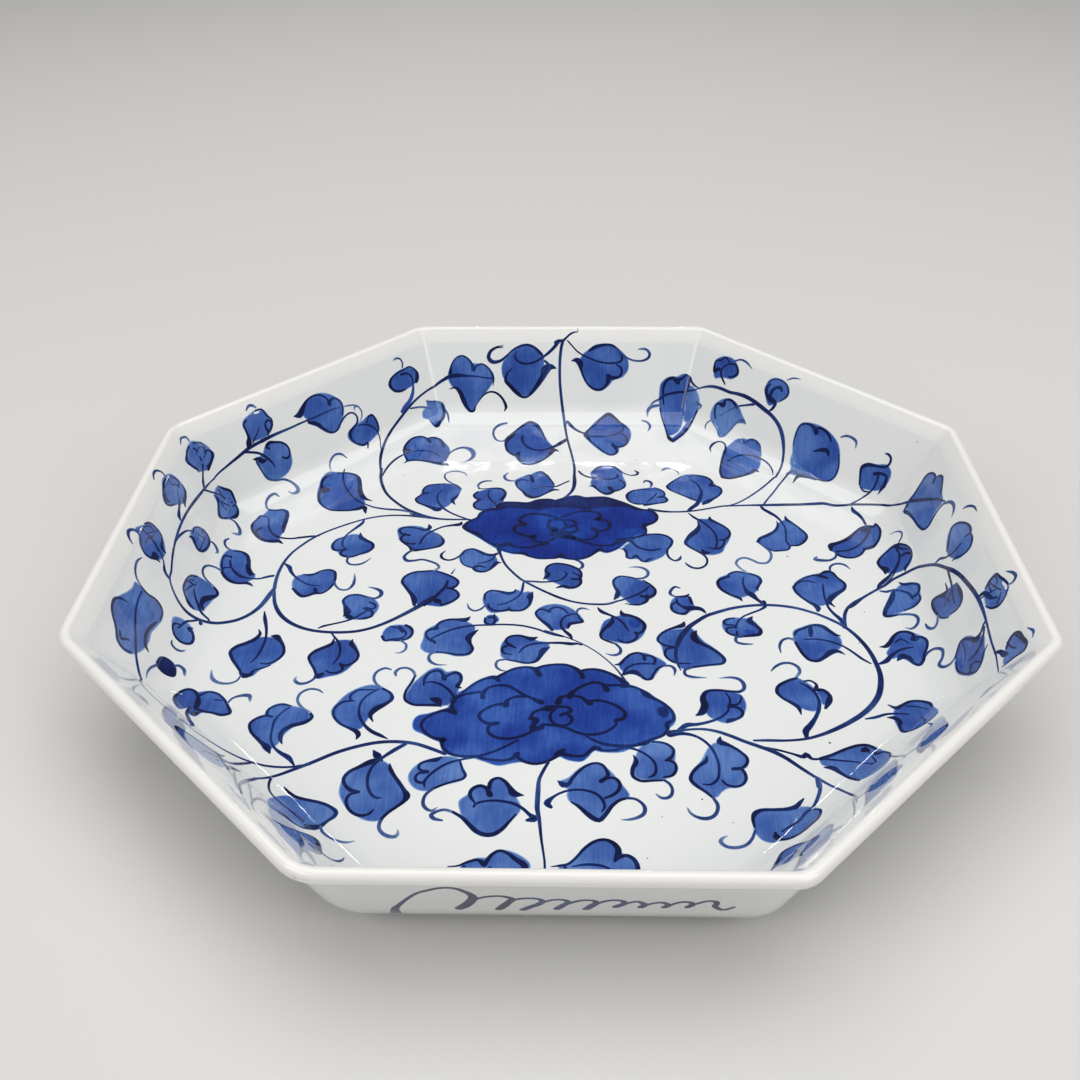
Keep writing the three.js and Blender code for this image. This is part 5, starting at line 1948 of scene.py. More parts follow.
-75.8,40,.6 v -75.5,49,.6 -76,46.5,1.6 -77.5,44 -79.5,41,1.2 -81,38.3,1 -81.8,35.3 -81.5,32,.9 -80,29.5,.6 t
-78,24.5 -78.3,22 -77,20 -74.5,19.6,1.1 -72,20.7,1 -69.6,23.7,.5
"""),
    Sprig("upper_left", """
s -73.6,86,1.4 -73,79,1.5 -71.5,73 -69,67,1.4 -65,61.5 -60.5,56.8,1.5 -56,53.5,1.9 -51.5,51,2 -47,49.7,1.5
-42,49.2,1.3 -38,49.2,1.2 -34.5,49.2 w -57,63 -55.5,66.5 -54.5,70 -52.5,73.3 -48,74.5 -44,74.5 -40.5,72.5
-39.5,70.5 -40.5,66 -42.5,61 -45,57.5 -48,56 -51,58 -54.5,60 o -52.5,67.8,1.3 -54.5,68,1.2 -54.5,71,1.1
-53,73.3 -50,74.3,.9 -46,74.8,.7 o -53.5,67.6 -55.3,66.2 -57,63.5,1.1 -56,61 -53,59,1.3 -50,57.3,2.2
-47.5,56,3 -46,57,1.2 o -43.5,75,.9 -41,73,1.1 -39.2,70.6,.6 o -40,67.8,.6 -41,65,1.6 -42.3,62.5,2
-41,59.5,.6 v -35.5,49.5,1.1 -39,51.5 -42.5,54 -45,56.5,1.3 -47,59.5,1.2 -48.3,63,1 -48.5,66.5,.9
-47.3,69.8,.5 t -43.5,75,.8 -45.5,77 -46.8,79.5 -46.5,82.5,.6 -44,84,.8 -41.5,84,1.1 -39,82.8,.9
-37.6,80.5,.4 w -34,66 -32,69 -29,70.5 -26,71.5 -23,70.8 -21.3,68 -21.8,64 -23.5,60 -26,57.5 -29,55.5 -32,57
-33.5,60.5 -32.5,63 o -31,63.3,1.2 -33,64 -34,66.5 -32.5,69,1 o -32,62.5,1.2 -33.5,60.5 -33,57.5,1.3
-30.5,55.8,1.2 -28,56,1 o -32.3,71,.9 -29.5,71 -26.5,71.5,1.1 -23.5,71.2,1.3 -21.7,69,1.4 -21.6,66,1.5
-22.7,63,1.6 -22,62,.5 v -25,60,.8 -27,63,1 -28.3,66 -28,69.8,.7 t -27.6,76.8,.8 -29.5,76.9,1.1
-31.8,75.5,1.2 -32.8,73.2,1 -32,71.3,.9 w -18,77 -15,80 -12,81.5 -9.5,83.5 -7,83.5 -5,81 -3.5,77 -2,74
-2.5,71 -5,68 -8.5,65.5 -11,64.5 -13,66.5 -15.5,70.5 -17,73.5 o -12.5,77.3,.9 -15.5,77.8,1.2 -17.3,76
-16.8,72.5,1 -14.5,69,1.1 -12.5,66,2 -10.5,64.8,1.8 -8,65.5,1.2 -5,68,1.1 -2.3,70.5,1.8 0,70.3,.8 o
-14,80.5,.8 -12,81.5,1 -11.3,79.5,1.6 -10.8,76.5,1.8 o -9.5,83.5,.9 -7.5,84,1.2 -5.5,82,1.1 -3.5,78,1
-2,74.5,.9 v 4,77 1.5,75 -1,73,1.1 -4,72.8,.8 -7,72.8,.6 -10,71,.5 t -21,83,.6 -22.3,80.8,1.3 -21.6,78,1.4
-19.5,76.9,1.2 -17.5,77.2,1 w -61,38.5 -61.5,43 -58.5,44.5 -54,44.5 -51,43 -48,41 -45,37.5 -43.5,34.5
-44.5,31.5 -48,30.5 -52,29.3 -54.5,29 -57,32 -59.5,34.5 o -50,45.5 -49.5,43.5,2 -51,42,1.4 -54,43,1.2
-57.5,43.8 -60,43.3,1.3 -61,41.5 -59.5,39.3,1.5 -57,38.5,1.6 o -58.5,39.3,1.4 -59.8,37,1.3 -59,34.5,1.2
-56.5,33,1.1 -54,33,1 o -60.5,36,.6 -58.5,33.5,.9 -56,31,1.2 -54.5,29,2 -51,29.3,1.3 -47.5,30.3,1.2
-44.5,31.8,1.5 -43.5,34.5 -44.5,37.5,.9 -46.5,40,.6 v -37.5,47.5,.8 -38,46,2.2 -41,45.3,1.6 -44.5,44.2,1.2
-47.5,42 -50,39.5 -51.5,36.5 -52.3,33,1 t -54.5,29,1.2 -56.3,27 -57.3,24.5,1.3 -56,22.3,1.6 -53.5,22.3,1.3
-50.5,23,1.1 -47.5,22 -44.5,20 -43.7,18 -45.3,16.3,1 w -36.5,25 -35,29 -32,30 -29.5,28.5 -26,26.5 -23.5,25
-22.5,22.5 -23.5,19.5 -26,16.5 -29,16 -31.5,18 -34,19.5 -36,22 o -42.3,28.5,.6 -43.6,26,1.3 -42.8,23.7
-40.5,22.7,1.2 -38,23.8 -36,26.2 -34.5,29 -32,29.8 -29.5,28.3,1.6 -27,26.5,1.8 -24.5,26 -22.5,27,1.4
-21.5,28,1 o -36.3,24,.6 -35.5,21,.9 -33.5,19,1 -31,18,1.2 o -26.8,18.3,.8 -29,19.3,1.6 -31,18 -29.5,16,1.4
-27,15.7,1.2 -25,17,1.1 -23.5,19.5,1.8 -22.5,21.3,2 -21,21.2,.6 v -23.3,25.5,.9 -24.5,23.3,1 -27,21.5
-29.5,20.9,.8
"""),
    Sprig("middle_left", """
s -23.2,33.5 -22.3,30,2 -21.5,26.5,1.3 -19.5,20.5,1.2 -16.5,15.5 -13,11,1.3 -9.5,8 -5,4.5 0,1.2 4,-1,1.2 s
-12,10.2,1.2 -9,10 -5.5,9.7 -3,9.9,1 w -56.3,10 -55,13.5 -52,15.3 -47,16 -43.5,15.8 -39.5,13.5 -36.5,10.5
-36.5,7.5 -37.5,5 -35.5,3 -35.5,0 -38,-3 -41,-4.5 -45,-4 -50,-3 -52,1 -54.5,5.5 o -45.5,16.3 -49,15.8,1.2
-52.5,15.2 -55.5,12.8 -56.3,9.5,1.3 -54.5,6,1.4 -52,2,1.9 -50.8,-1,2.4 -50.5,-4,1.4 o -45,16.3
-41.5,14.5,1.1 -38,12.3,1.2 -36,9.8,1.3 -36.6,7 -38.5,5.8,1.8 -40.5,6.3,1 o -39,5.8,1.4 -36.5,4.5,1.2
-35.2,1.5,1.3 -36.5,-1,1.2 -39,-2.8 -41,-4,1.3 v -39.8,10.3 -40.3,7,1.6 -42,3.5 -44.3,-.5,1.8 -47,-4,1.6 o
-44.5,-1,.8 -42.5,-1.5,3 -41.3,-3,1 t -38.7,14.5,.8 -37.6,17.5,.3
"""),
    Sprig("upper_peony", """
r -36.5,43.5 -35,48 -31.5,51 -30,54 -27,56.5 -24,58.5 -22,61 -17,61.5 -12,61 -8,63 -4,63.5 -1,62.5 3,64.5
7,66 11,64.5 14,64.8 18,65 22,63.5 25,61.5 28,59.5 31,57 36,56 38,52.5 37,48 33.5,44.5 33.5,41 30.5,38
27,36.5 25,33.5 22,30 18,27.8 15,29 12,25.5 8,23.5 3,24 0,24.5 -4,23.8 -8,24 -12,26.5 -17,27 -22,29.5 -26,33
-31,38 n -29,54.5 -24,58 -21,60.5 -16,61 -11,60.8 -7,63 -3,63 -1,62.3 3,64.3 7,65.3 11,64.3 15,64.3 20,63.8
25,60.5 28,58.5 24,58.5 19,58.5 15,57.5 11,56.5 6,57.5 1,58 -4,57.5 -8,56 -12,57.5 -17,58.8 -23,57 o
-11,57,1.4 -15,58,1.8 -19,58.3,2 -23.5,57,2.2 -27.5,56,2 -30.5,53.5,1.6 -31.5,50.5,1.4 -35,47.5 -36.3,44,2
-33.5,41.3,1.6 -31,39.6,2.4 -28,36,1.2 -25,33.3 -22.5,32,1.6 -19,33.2,3 -17,31.8,1.4 -14,31,1.3 -10,31.3
-6.5,32.8,1.8 -4.5,33.8,2.8 o -24.5,58.5,1.6 -22,61,1.4 -17,61.3,1.2 -12,61 -8,63.2 -3.5,63.5 -1,62.5,1.8
3,64.8,1.4 7,66 10.5,64.3,2.2 14,65,1.4 18.5,65 22.5,63,1.6 26.5,60.5 30,57.5,2.2 33,56.3,1.6 36,55.8 38,53
38,49.5,1.4 36,47 32.8,45.6,2.4 33.5,42.5,1.4 33,40 31,38.5 28,37.5,1.3 24.5,36.5,1.8 22.8,36,2.8 o
-22.3,29.8,.9 -17,27.5 -12.5,27,2.2 -11,25.5,1.2 -8,24.2,1 -4,24 -.5,24.5,1.4 1.2,26.3,2.4 2.5,24.3,1.2
7,23.5,1 11,25,1.2 14,28,1.4 15.3,29.8,2.6 17.5,29,1 20,29,.8 23,31.5 o 3,38.5,3 6.5,36.5,2 10,34.5,1.6
14,32.8,1.4 18,32.3 21,33.2,1.6 23.2,35.5,2.4 25.5,36.5 28.5,36.8,1.4 o 23,33.5,1.2 25.5,35.3,2 28.5,35,1 o
-13.2,46.3,2.9 -15,48.5,1.7 -14.3,51 -12,52.8 -8,53.3 -4,52.3,1.4 0,50.5,1.1 o -13.2,46,2.6 -15.5,45.5,1.7
-17,43.5 -16.3,41 -13.5,39 -10.5,38,1.9 -9.3,38.5,3.1 -9.6,36,1.7 -7,34.3,1.6 -4,35,1.4 -1.5,37,1.6 0,39,2.9
o 1,50.8 4,53,1.4 8,55 12,55.3,1.6 15.5,54 16.3,51.5 14.6,49.6,2.9 17.5,49.5,1.6 19.5,47.5 19.8,45 18,42.5
15.5,41.8 13.6,43.2,2.9 o 14.5,41.5,1.9 14.8,39,1.6 13,37,1.4 10,36 7,36.5 o -4,46,1.4 -3.5,48.5 -1,49.5
1.5,49 2.6,47,1.3 3,44.5,1.4 1.5,42.5,1.7 o 2,49,1.2 5,49,1.4 6.8,47 6,45 3.8,44.6,1.9 o -4,45.5,1.7
-3,43.5,2.4 -1,43,3.1 -2.5,41.3,2.4 1,40.5,3.8 4.5,40.5,2.2 7,42,1.6 7,44.5,1.4 5,45.5,1.2 o -2,39.6,3.1
2,38.4,4.3 6,37.2,3.1 s 6.2,81,1.6 6.3,77,1.9 5.9,72,1.7 4.5,68,1.5 2,64.5,1.4 -.5,63,1.6
"""),
    Sprig("peony_leaves", """
w 13,83 14.5,86 17,88.5 20.5,89 23.5,87.5 25.5,84 26,80 27,76 26.5,73 24,71 21.5,68.5 19,67 16.5,69 14.5,72
13,75 13.5,79 o 13.8,84,.8 16,87.5,1 19.5,88.8,1.2 22.5,88 24.5,85.5,1.1 26.5,83,.9 29,81.5 31.5,81.8,1.3
32.3,83.5,1.4 31,85,.8 v 8,84.5 9.5,82,1.3 12,80 15.5,78.9,1.2 19,78.3 22,78.8 24,80.3,1.5 23.8,82,1 o
24.5,78,1.2 26.5,75.5,1.1 26.5,73 24.3,70.5 21.8,69.8,1.8 20.5,72,2.4 o 21.5,69,1.8 19.5,67.5 17,68.8,1.3
15,71.5,1.2 13.8,73.5,2 12.3,73.2,.6 w 27,66 28.5,69.5 32,71 35,71.8 38.5,72 41.5,69.5 42,67 43,64 42,61.5
38,61 34.5,60.5 31,60.5 28.5,62.5 o 36,71,.6 32.5,70.8,.9 29.5,69.8,1.2 27.3,67,1.4 27.3,64,1.2 29,61.3,1
31.5,60.3,1.2 34,60.5,.6 o 34,59.8,1.8 36.5,60.3,1.4 39.5,61,1 42,61.8,1.1 43,63.3,1.3 42,65.3 39.5,65.3 o
40,65.5,1.2 42,66.5 42,69,1 40.5,71,.9 38.5,72.3,.7 v 34.8,62,.6 36.5,64,.9 38,66,1 39,68,.8 t 34.3,76,.6
35,77.3,1.2 36.5,77,1.4 37.5,75,1.2 36.8,72.5,.8 w 43.5,73 46,76.5 49,80 52,82 56,82 60,80.5 62,77.5 63,74.5
65,72.5 65,69.5 63,66 60.5,63 57.5,61 56,62 53,63.5 49.5,66.5 46,69.5 o 50,81,.5 47.5,78.5,.8 44.8,75.3,1.1
43.6,72.8,1.3 45,70.3,1.1 48,67.8,1 52,64.8,1.1 54.8,62.8,1.2 o 53,80.5 55.5,81.5 59,80.8,1.1 61.2,78.8,1.2
62,76 61,74,1.8 63.3,73.8,1.1 65,71.8,1 65,69,1.1 63.3,66.2,1.2 61,64,1.6 58.5,62,2.6 57,60.5,1.4 v
53,78.5,.8 55.5,75.5,.9 56.8,72,1.1 57,68.5,1.5 56,64.5,1.8 54.5,60.5,2.2 52,57.5,2 50.7,55.7,1.4 t
42.3,85.3,.8 44,86.8,1.4 46.3,86.2,.8 48.5,84.5 49,82,.5 s 35.5,57,1.4 38,56,1.6 41,55.3 45,55,1.2
50,55.3,1.3 55,56.3,1.2 60,57.8 65,59.2 70,59.5,1.3 75,59.8,1.4 80,59.9,1.8 s 66,59 70,61 74,64.2
79,69.3,1.1 83,74 87.5,80 w 54,50 57,50 59,50 62,47.5 65,43.5 65.5,40 64.5,36.5 62.5,32 61,28.5 57.5,26.8
54,27.5 51.5,30 48.5,33.5 49,37 51.5,40.5 54,44 54,47 o 53.7,48.5,.4 54,45.5,1.4 53,42.5,2.6 51,40 49,37,1.8
48,34,1.5 49.5,31.5,1.3 52,29,1.2 54.3,26.5 55.2,23.5,1.1 54.3,20.3 52,18.5,1.3 49.5,18.7 47.8,20.3,1.2
47,21.8,.6 o 58.8,52,.5 58.7,50,1.8 60.5,48,1.4 63.3,45.5,1.2 65.2,42.5,1.1 65.2,39.5 63.5,37,1.2 61,36,1 o
62.8,36.5 62.3,33.5,1.1 60.5,31,1.3 58.5,30.7,1.2 56,31.3,.6 v 50.8,54,.8 52.8,51,1.4 55.5,48.3,1.2
57.8,44.8,1.1 59.5,41 60,37 59.7,33.5 59,31,.9 o 54,30,.8 54.5,28,2.8 56.5,28.3,1 w 28,38 31,40 36,40
40,39.5 42.5,37 42.5,33.5 41,30.5 39.5,26.5 36,23.5 32.5,22 29.5,24 26.5,24.5 25.5,27.5 24.5,31 27,34.5 o
30.5,38,1.4 33.5,39.3,1 37.5,40,1.1 41,38.8,1.3 43,36 42.5,32.8,1.2 41,30 40.7,27 41.5,24.5 43.3,23
45,24,1.5 45.7,26,.6 v 26.3,36.5,2.4 28,34.5,1.6 29.5,32,1.3 32,30.2 35,29.4 38,30.3,1.2 o 23.3,30.3,.6
24.8,30,1.4 25.5,27.5,1.2 25.8,24.8,1.4 27.5,24.3,1.3 29,26,2 30,24.5,1 31,22.7,1.1 32.5,22.4,1.3
33.8,24,1.2 35,24.3,.6
"""),
    Sprig("middle_right", """
w -4.5,17 -3,20 0,21 4,20 7,18 8.5,15.5 8.5,11 7.5,7.5 4.5,6.5 2,7.5 -1,9.5 -4,11.5 o -5,11.5,.8 -4,13,2
-3.3,14.5,1.8 -4.5,16.5,1.1 -3.5,19.5 -1,20.9,1.2 2.5,20.5 6,18.8 8.2,16.5,1.1 8.6,13.5,1.2 7.5,11.5,1.5
5,11.8,1.1 o 5.5,15.3,.8 7.5,14,1 8.3,12,1.2 8.3,9,1.3 6.5,6.8,1.5 4,6.5,1.8 2,7.3,2 -.5,6.3,.6 v
-5.5,9.7,1.1 -3,9.9 0,10.5 2.3,12.3 3.3,14.8 2.5,16.3,.6 t 6,23.3,.5 8,22.3,1.2 9.2,20.2 8.6,18.2,1.3
7.2,17.5,.6 w 20,10 22,12.5 26,12.5 30,11 33,9 34.8,5 34,1.5 31,-1 29,-3 26,-2.5 24,0 21.5,3.5 20.5,7 o
20,-.5,.5 21.3,2,2.4 21.5,4.5,1.8 20.3,8,1.2 20.3,11 22.3,13.2 25.5,13,1.1 28.5,12,1 t 28.5,12 31,12.3,1.1
32.7,14,1.2 32.8,16.5,1.3 31,18.5,1.2 28.5,19,.9 26,18.8,.4 o 31,11,.8 33.5,8.3,1.1 35,5,1.3 34,2,1.5
31.5,1.3,1.8 29.5,2,1.2 o 32,2,1.6 31.5,-1 29,-3,1.2 26,-3,1 24,-2.5,.6 v 32.8,7.3 31,5 28,2.5,1.1 24.5,.3
21,-1.3 s -5,4.5,1.2 0,1,1.3 4,-1,1.2 9,-2.5 14,-3,1.3 18,-2.7 21.5,-1,1.2 w 57.5,9 58.5,12.5 61.5,14.5
64,16.3 67,16.3 70,15 72.5,13 73,10 71.8,7 70.5,4.5 67.5,2.5 65,1.5 61.5,3 58.5,6 o 62,13.5,1.6 60,12.5,1.4
58,11 57.8,8,1.5 59.3,5,1.4 62,2.5 64.5,1,1.8 65.3,-.8,.5 o 61.5,13,1.2 62.5,15.2 65.3,16.5 68,15.8
70.5,15,1.3 72.8,13.3,1.5 73.3,10.8,1.4 72.3,8.5,1.3 71.3,6,1.2 71.8,5.3,.5 v 67.3,13,.9 66.8,10,1.1
67,7,1.3 67.8,4.3,2.4 69,3,3 70.5,.5,1.8 72.3,-2,1.6 73,-3.5,1 t 75.5,35,1.2 77,32.5,1 79,29,1.1 79,25.5
77,22,1.2 74,21.8 71.5,23.8 69,25 66.8,24,1.1 65.6,21.5 66.8,18.5 69,15.8 w 75.5,35 77,37.5 81,40 84,43.5
84.5,47 86.5,49 88.5,50 91,46.5 93.5,42 94,39 92.5,35 89,33 87,32.5 85.5,30 82,29.5 78.5,31 o 84.3,49,.5
84.3,46,1.3 82.8,42.5,1.6 79.5,39.5,1.8 76.5,37.5,1.6 75.3,35.2,1.5 o 88,52.5,.5 88.2,50,1.8 90.3,47.3,1.2
92.7,43.5,1.1 94.3,39.5,1.2 93,35.8,1.3 90,33,1.2 87.3,32.8,1.1 o 86.3,34.5 87,32.3 85.8,30.2,1.1
83,29.6,1.2 80.3,29.5 78.8,31,.8 v 79.5,60 80,57.5,1.6 82.5,54.5,2 84.5,52,1.6 86,48.5,1.1 86.8,44.5,1
86.5,40 86,36,.9 86.3,33.5,.6
"""),
    Sprig("right_leaves", """
s 80,59.9,1.8 85,60.1,2 90,60.3 95,60.5,1.9 100,60.9,2.1 104.5,61.2,2.2 108,59.8,1.8 112,59.3,1.4 115,59
119,57.8,1.2 124,56,1.1 130,53,1.2 133,50.5,1.3 136,48.3,1.4 s 80.8,60.5 83,64.5 86,69.5 89,75 92,79.5
94,81.5,1.4 w 101.5,30.5 102,34 106,35.5 110,38 113,42 116,45 119,46 121.5,45 122.5,42 121,37 118.5,33
115,31 112,27.5 108.5,25.5 105,26 103,28.5 o 101.8,30,1.4 102.3,33,2.4 104.5,34.3,2 107.5,36,1.8 110.5,38.5
113.3,42,1.2 115.5,44.5,1 118.5,46 120.5,44.8,1.6 121.8,47,.5 o 121.8,46,1.2 122.5,42.5 121.8,38.8
120,35,1.3 117.5,32,1.6 114.5,30.8,1.8 o 117.5,33,.8 114.5,30.5,1.2 112.5,27.5,1.1 109.5,25.5,1.2
106.5,25.5,1.4 104,27 103.8,29.3,1.2 v 104,29.3,1.2 108,30,1.1 112,32.5 115,36 117.3,40,1.2 118.5,44,2.4
116.5,43,2.6 s 114.7,57.8,.8 115,55.5,2 116.3,53.5,1.8 117.5,50.5,1.4 118,47,1.2 t 103.5,28.5,.9
102.8,25.8,1 100.5,23.8,1.2 97.3,23.6,1.8 95,24.2,2 95.8,25.8,.8 w 120.3,65 122,68.5 124,71.5 127,71.5
130.5,69.5 134.5,67.5 135,64.5 132.5,62 129.5,61 126.5,61 123.5,62.5 o 120.3,66 122,69,1.2 124,71.5,1.6
127,71.2,1.8 130.5,69,1.3 133.5,67.3,1.1 135.8,67.5,1.2 137.3,69.3,1.3 136.8,71,1.2 135.7,71.8,.6 o
120.3,65,.9 121,63 123,61.8,.8 o 128,67,1.6 130.5,66,1.4 132.5,64,1.3 130.5,61.5,1.8 128.5,60.7,1.4
126.2,59.5,.5 v 115,59.5 119,60.5,.9 124,61.8,1 126.5,63 128.8,65,1.2 130,66.5,1.3 w 117.5,20 118.5,24
121.5,28 125,30.5 127.5,30 129.5,26.5 130.5,22.5 130,19 127,15.5 124,15 120.5,15.5 o 118.8,15.3,.6
119.5,18,3.2 118,20,1.6 117.7,22.5,1.3 119.8,26,1.1 123,28.8 125.5,30,1.8 127.5,29.5,1.4 o 126,29,2.4
127,27,1.3 129.5,24.5,.8 o 126.3,23,1.2 128.5,23,1.6 129.8,21.5,1 o 127,30.3 129.5,27 130.6,23 130,19.5,1.1
128,17.3,1.2 126.5,16,1.6 125.8,14,.5 v 125.7,27.5 126,24.5 125,21,1.1 123,17.5,1.2 120.5,14.5,1.3
117.8,11.5,2 115.5,9,1.6 114.5,7,1.2 t 127.5,31,.7 129.3,33,.8 129.6,35.3,.9 128,37.2,.7 125.3,37.5,.5 w
84.3,7 86,10.5 89.5,13.5 93,15 97,16 99,17 101,13 103,9.5 101.5,6 98.5,3 96,0 94,-2.5 91,-3 88,-.5 85.5,3 o
84.5,7,1.2 86.5,10.5,1 89.5,13 93,14.5,1.2 96,13.8,2 97.5,12.8,1.2 o 86,9.5,.8 88.5,11,1 91,11 92.8,10,.6 o
95.5,15.5 98,16.8,1.8 99.8,16.3,1.4 101,13.5,1.2 103.2,9.5,1.3 102.3,6.5,1.6 99.5,4,2.2 97,1.5,2.6 95.8,-1,2
97.3,-3.7,.6 o 84.5,7.5,1.3 85,4.5 87,1 89.5,-2,1.5 91.5,-4,1.6 v 95.3,9,.8 94.8,5,1 94.6,1,1.1 95,-2.5,1.2
t 99.2,17.3,.8 99.8,19.8,1 102,21.5,1.1 104.8,21.2,1.2 106.7,18.5,.6
"""),
    Sprig("right_wall", """
p 135,43 137.5,47.5 141,49 146,51.5 150,52.5 151.5,49.5 152,46.5 154.5,44.5 153.5,41 151.5,36.5 150,31.5
147,30.5 143.5,28.5 140,26 138,27.5 137,32 136.5,37 o 133.3,44.8,.5 135,45.5,1.6 137.5,47.5 141,48.8,1.3
145,51,1.2 149,52.7 151.2,51 151.8,48,1.3 150,45.5,1.8 o 151,47,1.2 153.3,46.3,1.1 154.3,44.2 153,40.5
151,36.8,.9 o 134.3,44,2 135.5,41,1.6 136.5,36,1.2 137.3,30.5 138.8,26.8 141,26.3 144.5,28.3,1.1 148,29.8
150.5,30,1.3 t 150.5,30,1.3 152.8,28,1.5 153.7,25 152.8,22,1.2 151,19.8,.4 v 133,50.5,1.2 136,48.3,1.5
139,46,1.8 142.5,42.5 146,38.5,1.5 148.8,35,1.1 151,31,1 p 143.8,5 145,10 147.5,14 150,15.5 153,13.5
155.5,9.5 155.5,5 154,0 151,-2 147,-1.5 145,1 o 143.7,6.8,.6 145,8.3,1.4 147,12,1.2 149.5,15 152,14.5
154.5,11.5 155.8,7.5,1.3 155,4.5,1.5 152.5,5,.8 o 155,4 154.8,1,1.2 152.5,-1.8 149.5,-2,1.1 146.5,-.5
144.3,.3,.6 v 138,6.5 140,6.5,1.4 142.5,4.5,1.1 146,3.3,1 150,3.8,.8 t 156.5,18.5,.6 158.5,17.5,1.1
160.2,15,1 160.5,11.5,.5 s 102.5,-4,1.4 104,-2.2,2.2 108,1.5,1.4 113,5.5,1.3 117,8.5,1.4 121,11.8,1.5
126,13,1.7 130,12.5,1.6 133.5,10,1.5 137.5,6 140.5,1 142.8,-4,1.6 s 115,5.5 117,5,1.6 119,5.7,1.2
120.5,5.5,.8 v 117,8.5,.8 120.5,12.8 123.5,17.2 125.5,21.5 126.2,24.2,.7 125.5,26.5 v 148.5,-27,.9
150.8,-27.8,.8 153.8,-29.2,.7 155.8,-30.8,.6 o 153.8,-24.8,.8 154.8,-28.5,1.0 156.2,-32,.8 o 150.5,-28.2
151.8,-31.2,1.1 154,-33.2,.9 o 156.5,-24.5,.9 156.2,-27.5,.8 154.8,-28.5,.7 o 153,-35.5,.7 154.5,-34.5,.8
155.8,-33,.7 o 150.5,-53.2,.8 151.2,-56.2,1.0 152.5,-58.5,.7 o 154,-53.2,.9 155.2,-56.8,1.0 155.8,-60,.8 o
135,-48,.7 136.5,-47,.8 138,-47.5 139.2,-49.5,.7 o 136,-35.5,.7 135.5,-40.5 134,-43.2,.6 o 114.2,-22.8,.8
115.8,-21.2 117.5,-21.5 118.8,-23.2,.7 o 120.5,-20.2,.7 120.8,-22.2,1.0 122.2,-21.8,.8 v 141,-8,.7 140,-11
137.5,-13 134.5,-14.8,.6 o 142.5,-11,.9 142.2,-14,1.0 141.8,-17.5,.8
"""),
